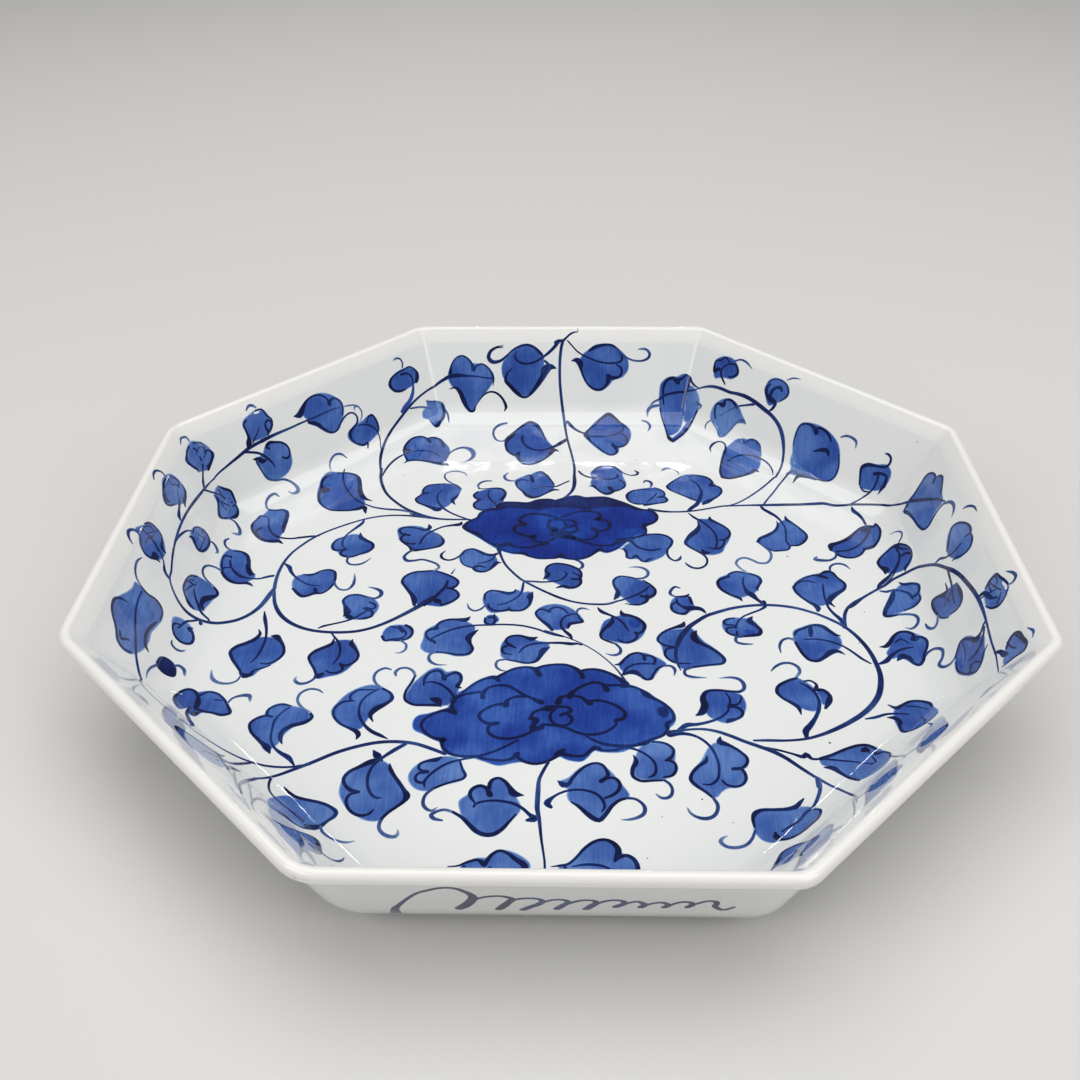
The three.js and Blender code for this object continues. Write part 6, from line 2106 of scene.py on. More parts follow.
    Sprig("left_wall_low", """
p -160,-2 -158,3 -156.5,6.5 -153,7.5 -150,6.6 -147.5,3.5 -146,0 -147,-4.5 -150,-7.3 -153,-8.6 -156,-7
-158,-3.5 o -158,4,.8 -156.5,6.8,1 -153.5,7.6,.9 -150.5,6.8 -149,4,1 -148,1.5,1.8 -146,1,.9 t -158.5,-9.8,.4
-160.5,-8.5,1.2 -161.8,-6,1.4 -161.2,-3.8,1.2 -159.5,-2.6,1.4 -157.3,-3.3,1.2 o -157,-4 -155.5,-6.8
-153,-8.5,1.1 -150.5,-7.8,1.2 -148.3,-5.8,1.4 -146.5,-5.3,.8 o -150,-6.8 -149.3,-4.5,2.8 -148,-4.3,1.6 v
-157.5,.5,.8 -153.5,1 -150,0 -147,-1.8,.9 -144.8,-4.3,1 -143.3,-7,1.8 -141,-8,1.4 -140,-8,1 s -141,-4,1.1
-140.3,-8,1.2 -138,-10.6,1.3 -135,-12.6,1.4 -131,-13.9,1.6 -126.5,-14.6,1.7 -121,-14.7 -116,-14.3,1.8
-111.5,-12.8 -108,-10 -105.3,-6,2 -103.8,-2,2.2 -102.8,2 p -133,3 -130,5 -126,5 -123,3 -121.3,.5 -122.5,-3
-123.5,-7 -124.5,-10 -127.5,-11 -130.5,-8.5 -133,-6 -134.3,-3 -133.5,1 t -123,14 -126,14.5 -128.5,13.3
-129.7,10.5 -128.8,7.5 -126.5,5.8 -124,4.5 o -124,4.5 -122,2.3,1.3 -121.5,.5,1.4 -123,-1.5,2.4 -125,-3.7,2.8
-125.5,-6.5,1.8 -124,-9.5,.8 o -130.5,4.8,.8 -133,2.5,.9 -134,0 -134.2,-3,1.2 -133.8,-6,1.3 -131.5,-8.5,1.4
-129,-10.3,1.8 -127.3,-11,1 o -131,-.5,1.4 -133,-.5,1 v -130,-2,.8 -128.5,-5,1 -126.3,-8,1.6 -124.3,-11,1.3
-121.5,-13,1 -120.8,-14,.8 p -133,-21.5 -130.5,-19 -127.5,-18.8 -125.5,-20 -124,-23 -123.5,-27 -126,-28.5
-129.5,-28 -132.3,-25 v -123.2,-16.5,1.6 -124,-15,1.2 -126,-16.5,1.1 -128,-18.5,1.2 -129,-21 -129.8,-23.5,1
o -129.5,-21.8 -131,-22.4 -132,-24,1.2 -131.3,-26.3 -129.5,-28 -126.5,-28.5,1.3 -124,-27.3 -123.6,-25
-124.8,-22 -126.3,-21,2.2 -125.2,-20,.8 t -130.2,-30.5,.5 -129.8,-32,1 -127.8,-32.8,1.1 -125.8,-32.3,1
-124.8,-31.3,.5 n -132,-43 -131,-40 -128.5,-39 -126,-40 -125,-42.5 -125.5,-44.7 -129,-45 -131.5,-45 o
-132,-44,1.4 -131.5,-41 -129.5,-39.2,1.2 -127,-39.3,1 -125.7,-41.5,1.2 -125.3,-44,1.6 -128,-45.2,1.2
-131,-45 t -126.2,-40,.9 -124.8,-39,1.2 -123,-39.8,1.4 -122,-42.3,.9 t -132,-45,.9 -133.5,-48 -134,-51,.8
-133.5,-53,.5 p -151.5,-24 -147,-23.5 -141,-22 -138,-23 -136.8,-26.5 -137.5,-31 -138.5,-36 -138,-40
-138.5,-44 -140,-48 -142.5,-51.5 -146.5,-52.5 -149.5,-50.5 -152,-47.5 -155,-44 -155.7,-40 -154.5,-36
-152.5,-31 -151.5,-27 t -153.3,-11.5,.4 -154.3,-15,1 -153.6,-19,1.1 -151.8,-21.8 -149,-23.2 o -149,-23.2,1.1
-145.5,-23.3,1.2 -142,-22 -139,-22.5 -137.5,-24.5,1.1 -137.3,-28,.9 o -138,-29.5,.7 -139.2,-33,1.3
-140,-37,1.6 -139.6,-40.5 -138.3,-42.8,1.8 -136.6,-43.6,.7 o -151,-34.8,.6 -153.8,-36.2,1.1 -155.6,-39,1.3
-155.3,-42.5 -153.3,-45.8 -151,-48 -149.6,-50.3,1.4 -148.3,-52,1.6 -145.8,-52.6,1.5 -143,-51.5,1.3
-142,-50.5,.8 o -149,-48 -147.5,-50,1.6 -146,-48.5,1 -144.8,-47.5 v -148,-25,.8 -147.8,-30,1 -146.8,-35,1.1
-144.8,-40,1.2 -142.5,-45,1.3 -140,-50,1.4 -137.5,-53.3,1.5 -135.3,-55.5,1.4
"""),
    Sprig("front_left_scroll", """
s -74,-80.8,1.2 -80,-82,1.1 -86,-81.8 -92,-80.8 -99,-78.8 -106,-76.5,1.2 -112,-75,1.3 -118,-74,1.4 -124,-73
-129,-70,1.3 -133,-65,1.2 -134.7,-60 -135.3,-55.5,1.4 s -91,-80.8 -94,-83,1.6 -97.5,-87 -100.5,-92,1.2
-101.5,-99,1 w -122.5,-54 -121,-49.5 -118.5,-48 -116,-49.5 -113,-49 -109.5,-50 -106,-53.5 -104,-57
-103,-59.5 -106.5,-59.5 -110.5,-58.5 -112.5,-60 -113.5,-62.5 -115.5,-62 -117,-58.5 -119,-61 -121.5,-58 o
-119.3,-61.3,.5 -121,-57.5,1.2 -122.2,-53.5,1.4 -121.3,-50,1.2 -119.3,-48.2 -117,-49 -115.3,-51.5,1.4
-114.5,-55,2.4 -114.5,-57.5,1.8 o -114.8,-51 -112.5,-49.3,1.1 -109.5,-50 -106.5,-52.8 -104.5,-56,1.2
-103.2,-59,1.4 -105.5,-59.9 -109,-59,1.3 -112,-58.7,1.5 -114,-58,1.6 o -115,-60 -114,-61,3 -113,-60,1 o
-109.5,-53,.8 -107.3,-53.2 s -116.3,-58,1.4 -116.3,-62 -114.8,-66,1.8 -113,-69.5,2 -113.3,-72,.8 t
-105,-54.5,.7 -104,-52.3,.9 -101.5,-51,1.3 -98.8,-51,1.7 -98,-53.5,.8 w -95.5,-64 -94,-61 -91.5,-59
-90.5,-56 -88,-54.5 -84.5,-55.5 -80,-57 -77.5,-60 -78.5,-62.5 -82.5,-65.5 -84.5,-69 -85.5,-72.5 -87.5,-74.5
-90,-71.5 -93.5,-68 o -84.5,-55.5,.8 -87,-54.8,1.1 -90,-55.8 -91.5,-58,1.2 -91,-60,1.3 -89.5,-60.5,1.1 o
-90.8,-60 -93.5,-60.8,1.2 -95.8,-63.5 -94.8,-67,1.3 -92.3,-70,1.4 -90,-72.3,1.8 -88.3,-74,2.6 -87,-76.3,.8 t
-75.3,-49.3,.5 -77,-48,.9 -80,-47.7,1 -82.5,-49.8 -82.8,-53 -80.8,-56.2,1.1 -78,-58.3 o -78,-58.3,1.1
-76.8,-60.5,1.4 -78.5,-62.8,1.8 -82.5,-64.5,2 -85,-67 -85,-70,1.8 -84,-72.3,.6 v -84.8,-56.3,.8 -87,-59,.9
-88.3,-62.5,1 -88.3,-66.5 -87.8,-70.5 -86,-74,1.1 -83.5,-76.3,1.6 -81,-78,2 -79.3,-80.2,1.2 -78.6,-81.3,.8
"""),
    Sprig("left_scroll", """
s -101.6,3,1.5 -100.2,-3,1.6 -97.3,-9,1.8 -93.5,-13.3 -89,-16.3,1.7 -84,-18.2,1.6 -79,-19 -74,-19.1
-69,-18.5 -64,-16.7 -59,-13.6,1.7 -54,-9.5,1.9 -50,-5.8,2.2 -46.5,-2,2.6 -44.3,.8,1.8 w -101,-22 -98.5,-22
-95,-23 -92.5,-26.5 -91.8,-31 -94,-35 -98,-38.5 -100,-41.5 -102.3,-42 -104,-39.5 -106.5,-36 -109.5,-31.5
-109,-28 -105,-25.5 -102.5,-23 o -102.8,-17.8,.5 -101.8,-20,1.4 -102.8,-22.8,2 -105.3,-25 -108.5,-27,1.8
-109.8,-29.5,1.6 -108.5,-33,1.4 -106,-36.8,1.3 -104,-39.8,1.2 o -97.5,-21.3 -96,-21.5,2.6 -94.3,-23.5,1.8
-92.3,-27,1.3 -91.8,-30.5 -93.5,-33.8,1.2 -96,-35.5,1.1 -98.5,-35.3,.8 o -104.3,-40 -102.5,-41.5,2.6
-100.8,-41,2 -100,-39,1 -97,-37.5 -95,-36.3,.7 v -102.8,-8,.6 -101.8,-12,1.6 -100.3,-17,1.3 -99.4,-22,1.1
-99.5,-27 -100.3,-31.5,1 -101.8,-35,.7 t -103.7,-41.5,.7 -104.5,-44,.8 -107,-45.3,1 -110.5,-44.8,1.3
-112.8,-42.8,1.4 -114,-39,.5 w -76.5,-25 -74.5,-23.5 -70,-23.5 -67.5,-27 -66.5,-31.5 -68,-36 -71,-40
-75,-41.5 -78.5,-42.5 -79.5,-39.5 -81,-36 -82.5,-32 -81,-28.5 -78,-27 o -76,-22.3,.5 -76.2,-25,1.6
-78.5,-27,1.8 -81.3,-29,1.6 -82.8,-31.8,1.4 -82,-34.5,1.2 -80.3,-37.5 -79,-40.5 t -79,-40.5,1.2
-79.3,-42.7,1 -81.5,-44.8,1.2 -84,-45,1.4 -85.5,-43.3,1.2 -85.3,-42,.6 o -69.5,-22.8,.6 -69.7,-25,2
-68,-27.5,1.4 -66.5,-30.5,1.3 -66.8,-33.5 -69,-35.8 -71.5,-36,1.6 -71.8,-34.8,.8 o -71,-36,1.6
-70.8,-38.3,1.2 -72.5,-39.7 -74.8,-39.6,1 -76,-38.6,.7 o -79,-42 -78.2,-41.5,2.8 -77,-40.3,1.6 v
-77.3,-19.5,.8 -76,-21.5,1 -74,-24.5,1.1 -73,-28 -73,-32,1 -74.3,-35.5,.6 w -76,-1 -74.5,1.5 -71,1.7 -67,.5
-64.5,-1.5 -63,-5 -64,-9 -66,-11.5 -70,-12 -73.5,-11.5 -74.5,-8 -75.5,-4 o -74.6,-10.5,.6 -73.6,-8.3,3
-75,-4.5,1.5 -76,-1.5,1.3 -74.3,1.2 -71,1.7,1.2 -67.5,.2,1.1 t -67.5,.2,1.1 -64.8,-.3,1.2 -63,1.5,1.5
-63.3,3.8,1.6 -65.3,5.3,1.2 -68.3,6.3,.4 o -66.5,-2.5 -64.3,-4,1.2 -64.5,-6 -67.5,-6,1.8 o -66.8,-6.5,1.2
-64.8,-8,1.3 -64.8,-10.3 -67,-11.5,1.4 -69,-12,.8 v -66.5,-7 -68.5,-9 -70.5,-11.3 -74,-13.3,1.1 -78,-14.8
-81,-16,1.3 -82.3,-17,.7 o -73.5,-9.5 -72.6,-10.6,2.4 -71,-11.5,1.2 w -59.5,-19 -58,-16 -55,-15 -52,-15.5
-50,-17.5 -50.5,-21 -53,-23 -56.5,-23.5 -59,-22.5 o -54.5,-15.5,.8 -53,-17.5,1.2 -51.5,-19.8,1 -53,-22,1.2
-56,-22.7,1.5 -58.5,-23.3,1.2 -59.7,-21 o -52.3,-15,1.2 -50.5,-16.3,1.4 -49.5,-18.8,1.3 -50.3,-21.5,1.4
-52.5,-23 -55,-23.3,1 v -57.5,-15.8,.8 -54.5,-16.8,1 -53,-18.8,1.1 t -53,-23.3,.8 -51,-25.3,1 -51,-28
-52.5,-29.5,.8 -54,-29.7,.5
"""),
    Sprig("middle_low", """
w -25.5,3 -24,4.3 -20.5,3.5 -17,3 -14.5,5 -12.5,3.5 -10,4 -9.5,0 -10,-4 -13,-7 -17,-6.5 -20,-7.5 -23,-7.8
-25.5,-4 -26.3,0 o -25.8,-1,.8 -25.8,2.5,1.1 -24,4.5 -21,4.2,1.3 -17.5,3,2 -15.5,3.8,1.4 -15,5.3,.6 o
-8.8,4,.5 -9.7,1.5,2.8 -9.5,-1,1.8 -10,-3.8,1.3 -12,-6.3 -15,-6.8 -16.8,-6.3,1.6 -17,-5.2,1 o -17,-6.3,1.6
-19.5,-7,1.3 -22.5,-6.5,1.2 -24.3,-4.5 -24.2,-3,.6 v -12.3,9.3 -12.6,5.5,1.3 -13,3,1.1 -15,0,1 -18,-2.5,.9
-21,-3.7,.8 t -25.5,-4,.6 -26.8,-6,.9 -29,-7 -31,-5.5 -31.7,-3,.4 w -25,-12 -24,-9.5 -21.5,-9.5 -20.3,-12
-22.5,-14.5 -24.5,-14 o -25,-11 -24.8,-13.5,1.3 -22.5,-14.6,1.4 -21.5,-12.5,1.3 -22,-10,1.4 -21.8,-8.8,.6 o
-24,-10.5 -22,-10.8,1.2 -20.4,-12.3,.6 w -45,-18 -42,-15 -39.5,-12.5 -35,-11.5 -31.5,-13 -28.5,-15.5
-28.5,-18.5 -30,-22 -28.5,-26 -29,-30 -33,-31 -38,-29.5 -43,-29.5 -45.7,-27 -45.3,-22 o -41,-24.7,.8
-41.7,-23.7,1.6 -44,-21.8,1.2 -44.8,-19,1.1 -43.5,-17.3,1.4 -41.3,-16.7,1.8 o -41.8,-16.8,1.2 -40.8,-13.8
-38,-12,1.3 -34.5,-11.8,1.5 -31.8,-12,2.6 -30.3,-10.3,.6 o -27,-17.3,.6 -28.5,-19,1.8 -30.1,-21.5,2.8
-29.3,-24.5,1.4 -28.3,-27.3,1.3 -29.5,-29.8,1.4 -33,-30.3,1.3 -37,-29.5,1.1 -41,-28.9,1 t -41,-28.9
-42.6,-30.8,1.1 -42.3,-33.3,1.3 -40,-35.3,1 -36.5,-35.5,.5 v -43.3,-22.8,.8 -40.5,-20.3,1.1 -37,-17.8,1.2
-33,-16,1.3 -28.5,-15,1.1 -24,-14.7 -18,-14.4 -12,-15 -7,-16.7 -2,-19.3 2,-20.5,1.2 w -18.5,-25 -17,-22
-14.5,-20.5 -10,-21 -6.5,-23 -3,-24 -2.8,-27 -4.5,-30 -6.5,-33.5 -10,-34.3 -14,-33 -18,-31.5 -18.7,-28 o
-14,-26.5 -16,-25,1.5 -17.3,-23,1.2 -16,-20.8 -13,-20.2,1.3 -10,-21.3,1.6 -8.7,-22,2.6 -6.5,-21,.6 o
-16.3,-25.3,1.2 -18.3,-26.8 -17.8,-29.2 -15,-30,.8 o -2.3,-26.3,.6 -4.5,-27.8,2.8 -5.5,-30.8,1.8
-7,-33.5,1.4 -10,-34.3,1.2 -14,-33.3,1.1 -17,-32.5,1 t -17,-32.5 -19.5,-33.3 -20,-35.8 -18.5,-37.8,.9
-16.5,-38.3,.5 v -12.5,-29,.8 -11.3,-26.8,1.1 -9,-25,1.2 -6,-24.2 -3,-24 1,-24,1.4 4,-24.2
"""),
    Sprig("front_left", """
s -33.5,-76,1.4 -38,-73.8,1.6 -43,-71.8 -49,-71 -55,-71.5 -61,-73.3 -67,-76 -73,-79.8 -78.5,-83,1.5
-84,-86.2,1.3 -89,-89.5,1.2 w -48,-50 -46.5,-45 -44,-41 -41,-37.5 -38.5,-37 -36,-39 -33,-38.5 -31.5,-41
-31.5,-46 -32.5,-51 -34.5,-54.5 -39,-54.5 -44,-54.5 -47.5,-53 o -43,-45.5,.8 -43,-42,1.2 -41.5,-39.3,1.3
-39,-38.3,1.4 -37.3,-39.8,1.3 -36.5,-42.3,2 o -36.8,-41.5,2 -35,-40.3,1.2 -33,-39.2,1.6 -31.5,-40.3,1.5
-31,-43,1.3 -32,-46,1.8 -30.7,-46.6,.7 o -46.3,-41 -47,-44,1.2 -48.5,-48.5 -48.3,-52.3 -45.5,-54.5,1.3
-42,-54.7,1.4 -38,-54.8 -36.3,-55.3,.6 o -39.8,-51.8,1.6 -38,-52.5,3.2 -37,-54.3,1.6 v -43,-44.3,.6
-40.5,-43.8,1 -37.5,-45,1.2 -34.8,-47.5,1.3 -33,-50.3 -32,-53,1 t -52.5,-41,.6 -53,-39.5,1.2 -51.8,-37.5,1.1
-49.5,-37.1 -47.3,-38.5 -46.2,-41,1.2 w -71,-58 -69.5,-53.5 -66.5,-49 -63,-46.5 -60,-45.5 -57,-46.5
-53.5,-49 -52.5,-52 -54.5,-55 -58,-58.5 -59.5,-62 -61,-65.5 -65,-65 -68.5,-62.5 o -58.5,-47.8,.6 -61,-47.8,1
-64,-48,1.1 -66,-50.3,1.2 -65.8,-52.5,1 -64.5,-53,.7 o -65,-53 -68,-53.5,1.2 -70.3,-56.5 -70,-60 -67.5,-63.3
-64,-65.5,1.3 -61.8,-66.8,2 -61,-68.5,1.8 -61.5,-70.2,.5 t -54.5,-38,.6 -56.5,-37.3,1.1 -59,-39 -59.7,-42
-58.5,-45 -56,-47.2,1.2 o -56,-47.2,1.2 -53.3,-49.3 -52.5,-51.8,1.5 -54.3,-54.3,1.8 -57.3,-56.8,2.6
-58.5,-59.5,1.8 -57.3,-62.3,.6 v -57.5,-47.5,.8 -59.8,-49.5,1 -61.8,-52.3,1.1 -62.5,-56 -61.8,-60,1.2
-60,-63.5,1.3 -57.3,-66.5,1.6 -54,-68.5,1.5 -51.8,-69.8,.6
"""),
    Sprig("lower_peony", """
d -44.5,-62 -43.5,-59.8 -40,-58.5 -36.5,-57 -34,-55.5 -33.5,-52 -31.5,-49 -29,-47 -26,-43.5 -22,-41
-18,-40.5 -15.5,-38.5 -12,-36.5 -8,-36.5 -5,-36 -1,-34.8 2.5,-35 6,-37 8.5,-38 12,-36.8 16,-37.8 19.5,-40.5
22.5,-43.5 26,-46 29.5,-49 33,-51.5 36,-55 37.5,-59 37,-62 35,-64.5 34,-67 31,-69 28,-71 24,-72.5 20,-74.5
14,-74.5 12,-74 10,-76.5 8,-78.5 4,-78 1,-76.5 -2,-78.5 -6,-80 -10,-79 -13,-79.5 -17,-80.5 -21,-79 -25,-77.5
-30,-77 -34,-75 -35.5,-71 -38,-69.5 -41,-67.5 -44,-65.5 n 32.5,-55.5 34.5,-54.8 35.5,-57 34.5,-59.3
32.8,-58.5 o -34.5,-70,2.4 -37.5,-69.3,1.5 -40.5,-66.8,1.3 -42,-63.8 -41,-60.8 -38,-58.3,1.4 -35,-57,1.5
-32.5,-57.6,2.6 o -32,-58,2.2 -33,-55,1.6 -32.3,-52,1.4 -30.3,-50 -27,-49 -24,-48.6,1.6 -23.5,-51,2 o
-23.5,-49,1.8 -22,-46.5,1.4 -19,-45.3 -16,-45.4 -13,-47.3 -10.5,-49.5 -7.5,-51.3 -4.8,-53,2.6 o -30,-48.5
-27,-45,1.2 -23,-42,1.4 -20,-41.5,2.2 -18.8,-43,1.6 o -19.5,-41.5,1.6 -17,-39.3,1.3 -13.5,-37 -9.5,-36.3
-7,-37.3,2 -5.5,-40,2.4 o -7,-37.3,1.6 -4.5,-35.8,1.3 -1,-35 3,-35 6,-36.5,1.6 7.8,-38.5,2 8.7,-41 o
7.5,-38.3,1.4 10,-37.3,1.3 13.5,-37.3 17,-38.8,1.4 20,-41,1.6 22.5,-44,2.8 o 21.5,-45.5,1.6 24.5,-45.3,1.4
27.5,-47 29,-49,2.8 31.5,-51,1.6 34.5,-53.5,1.4 36.8,-57 37,-60.5,1.5 34.8,-62.3,1.8 34.8,-65,1.4
33,-67.5,1.3 29.5,-69.3,1.6 28,-70.5,2 24,-71.8,1.4 19.5,-72,1.5 15,-71.3 11.5,-69.5,1.3 9.5,-68,1 o
4.5,-50,3 6,-47.5,1.6 9,-45,1.4 12.5,-43.5 15.3,-44.5,1.6 16.3,-47,2.6 o 16,-45,1.4 18.5,-44.8,1.3
22,-44.8,1.4 o .8,-53,2.8 1.5,-50.8,1.8 4.5,-50,1.4 8,-50.5 9.5,-52,1.8 10.8,-53.2,2.8 o 10.8,-52.3,1.6
14,-52,1.4 17.5,-53.3 20.5,-55.5 22,-58,1.5 21,-60.3,1.6 18.8,-61,2 19,-62.5,1.3 17.3,-64.8 14,-66.8,1.4
10,-67.3 6.5,-66.3 3.5,-64.5,1.3 0,-63.5 -4,-63,1.4 o -16,-54.3,2.8 -15.3,-52,1.4 -12.5,-50.5 -9.5,-50.5,1.2
o -16.3,-53.8,1.4 -19.5,-54.5 -22.5,-56.5 -24.2,-59.3 -22.8,-61.8 -20.3,-63,1.8 -18.2,-62.6,2 o
-20.5,-63,1.6 -21,-65.8,1.4 -19.3,-68.3 -15.8,-69.3 -12,-68.8 -8.5,-67 -5.5,-64.5,1.6 -3.5,-63.3,1.4 o
-8,-60.3,1.2 -7,-57.8,1.4 -4.5,-56.3 -2.3,-55.8,3.2 1,-55,1.4 4,-55.3 4.8,-57 3,-58 1.7,-58.8,1.6 o
3.5,-58,1.4 5.2,-60.5 4.5,-62.5,1.3 2,-63.5 -.5,-62.5 -1.7,-60 -1.2,-57.5 0,-55.8,1.2 o -8.3,-60.3,1.4
-6,-61,2.6 -6.8,-63,2 -7,-65,2.8 -4,-64.5,1.6 o -34.8,-70.3,1.8 -34.5,-73,1.3 -32,-75.8,1.4 -28,-77
-23.5,-76.8,1.3 -19,-75,1.2 -15,-72.5,1.1 -11.5,-70,1 o -23,-77.5,1.2 -19,-78.3,1.3 -15.5,-78.5
-12.8,-77.5,1.6 -11.5,-75.8,2.2 o -12,-76.5,1.6 -9.5,-78.8,1.3 -6.5,-79.8 -3.5,-79.3 -.5,-77.5,1.4
1,-75.5,2.6 2.5,-74,1.6 o 2,-75.5,2 5,-76.3,1.4 8.5,-76.3,1.3 10.5,-74.5,1.5 12.3,-72.8,2.2 14.5,-74,1.1
18,-73.8 21.5,-72.5,1.2 s -4,-17.5,.9 .5,-19.6,.8 5.5,-22.2,.7 9.5,-25 13.5,-28.6 17,-32.8 19.8,-37,.8
21.8,-41,1 23.3,-44.5,1.4 s -3,-24,1.2 1,-23.9,1.4 5,-24.4,1.8 7,-24.3,1.2 8.5,-25,.8
"""),
    Sprig("middle_low_right", """
w -7,-9 -6.8,-6 -4.5,-4 -1,-3 2.5,-3.8 5.5,-6 8,-9.5 9,-12.7 5,-13.8 3.8,-16 1.5,-16.8 -1.5,-16.8 -3.5,-14.5
-5.5,-12 o -2.6,-7.3,1.4 -4.2,-6.3,1.1 -6,-5.9,1.2 -7.4,-7.8 -6.8,-10,1.3 -5,-12.5,1.5 -3,-14.8,1.8
-1.6,-17.4,1.2 o -3,-7,1.6 -2.2,-5.6,1.2 0,-4.7 2.2,-5.8,1.1 3.8,-8,.8 o 7,-8.5,.8 8,-11,1 9,-12.6,1.2
6.5,-13.3,1.6 4.5,-13.9,1.8 3.8,-16.3,.8 v 7,-8.3,.8 4.5,-8.8,1 2.3,-10.5,1.1 1.4,-13 1.5,-15.5
2.8,-17.8,1.4 4.5,-20,1.6 5.2,-22.2,.8 t 6.8,-8,.7 7.3,-6,1 8.8,-5.2,1.1 11.2,-6,.4 w 19.5,-10.3 23,-9
26,-9.3 28.5,-10.8 30.2,-14.5 29.8,-18.3 27.5,-22 24,-24 20.5,-23.3 17,-22 15,-19.5 15.5,-15 16.8,-12 d
25,-12 27,-10.8 28.8,-12.5 28.5,-15 26.5,-15.8 25,-14.3 o 19,-10,.8 19.3,-12,1.8 18,-14.3,2 16.3,-16.5,1.5
15,-19,1.3 15.3,-21.3,1.2 17.5,-23,1.1 20,-24.3,1 t 20,-24.3 21.5,-27,1.1 21,-29.3,1.3 18.8,-30.1,1.1
16.5,-29.3,.4 o 22.3,-6.3,.6 22.8,-8.5,2.2 25.5,-9.2,1.6 28.3,-11 30.2,-14.3 29.7,-17,1.4 27.8,-18.8
26.8,-18.2,1.2 o 27.3,-18.5,1.4 27.3,-20.8,1.2 25.3,-23 23,-23.5,1.1 20.8,-22,.8 v 14.2,-4.8,.6 15.5,-7,1.8
18.5,-9,1.3 21,-10.8,1.2 23,-13.5,1.1 24,-16,1 24.6,-17.5,.6 w 20.8,-34.8 23,-31.5 26,-29.3 29,-28.8
32.5,-30.5 35,-32.5 36.3,-34.5 34.3,-36.3 32.8,-38.8 31.3,-41.3 29.5,-41.7 27,-40.3 24.8,-38.5 22.5,-38.5 o
19.5,-34.9,.8 21,-34.5,1.4 22.8,-31.8,1.2 25,-29.5,1.3 27.5,-28.8,1.2 29,-30,1.3 29.3,-32,1.6 o 29,-30.2,1.2
31.5,-30.3 32.8,-32,1.3 32.3,-34.5,1 v 22,-39.5,1.2 23,-36.8,1 25.5,-34.8 28.5,-34.2 32,-34.3,.8 o
22.3,-39.8,.8 23.8,-38.7,1.8 25.8,-38.5,2.6 27.5,-40,1.6 29.3,-41.9,1.4 31,-41.6,1.3 32,-39,1.2
33.5,-36.5,1.1 35.5,-35.2,1 t 35.5,-35.2 37.8,-35.3,1.1 39,-37,1.2 38.6,-40,.4
"""),
    Sprig("right_scroll_leaves", """
w 42.5,-16.3 39,-17 35.8,-19 34.5,-22 35.5,-25.5 36,-29 38,-32 40,-34 41.5,-36.5 45,-36 50,-35 54,-34.5
55.8,-32.8 55,-29.5 52.5,-25.8 49.5,-22.5 47.5,-18.5 46,-16 o 44,-12.3,.6 43.2,-14.3,2.4 40.5,-15.5,1.6
37.3,-17.3,1.3 35,-19.8 34.3,-22.3 36,-24.5,1.2 38.5,-25.6,1.4 40,-25.8,1.8 o 39.5,-26,1.2 37.2,-26.6,1.1
36.2,-29,1.2 37,-31.5 39.3,-33.5,1.3 42,-34,1 44.5,-34,.6 o 47.8,-17,.6 46.8,-19,2.6 46.8,-21.5,2.8
49,-24,1.8 52,-26.3,1.5 54.5,-29,1.4 55.8,-32,1.6 55,-33.8,1.4 52,-34.5,1.2 48,-35.2 44.5,-36 t 44.5,-36,1.2
42.3,-37.3,1.1 42.3,-39.5,1.2 44.5,-40.6,1.3 48.8,-40.9,.6 s 90,-7.4,1.5 84,-4.6,1.6 78,-3.2 72,-2.9
66.5,-3.5 61,-4.9,1.7 56,-7,1.8 52,-9 48.5,-12,1.9 45.5,-15,2.2 43,-19,2.4 41.2,-23,2 40.1,-27,1.6
39.8,-31,1.3 40.3,-35,1 41,-37.5,.5 w 42,1.2 46,1.4 47.3,-1 48,-4 45.5,-7.5 43,-8.2 40.5,-6.8 39.8,-3.5
40.5,-.8 o 41.8,1.5 44,1.7,1.2 46,2,1.6 46.8,3.2,.6 o 46.9,1.2,1.4 47.4,-2 o 42.3,.3,.8 42.3,-1.8,1.4
44,-4,1.6 46,-5,2.8 48.5,-4.8,2.6 50.5,-5.5,2 51.8,-7.5,.8 o 42,-1.5 40.3,-3,1.2 40.3,-6,1.3 42,-7.7
44.5,-8,1.6 45.5,-6.8,1.4 t 43.8,6.5,.6 42.3,7.3,1.2 40.7,5.5 40.2,3 41.8,1.6,1.1 w 57,-15 57.8,-11.5
60.5,-10 64,-10.3 67,-10.8 69.3,-14.5 70,-18 67.5,-19.8 63.5,-20 60.3,-19.8 57.9,-17.5 d 64,-17 65.5,-16.3
67.5,-17.3 67.5,-19 65,-19.2 o 61.5,-10.2,.8 59,-10.8,1.3 57.5,-12.5 58.5,-13.8,1.2 60.8,-14,1
61.5,-14.8,1.2 o 61,-15,1.2 58.8,-15.5,1.1 57.9,-17,1.2 59.3,-19 61.3,-19.3,1.1 61.5,-17.5,1 o 67.8,-9.3,.6
66.5,-11.5,2.8 68,-13.8,2 69.7,-16.5,1.6 69,-18.8,1.8 66,-19.5,1.6 63,-20,1.4 t 63,-20,1.4 61,-20.5,1.2
60.8,-22.8 62.5,-23.8 66,-24,.8 v 72.8,-1,1.8 73,-3.5,1.6 71,-5.5,1.2 67.5,-7.5,1.1 64.5,-9.5,1 62.3,-12.5
61.3,-15.5,1.1
"""),
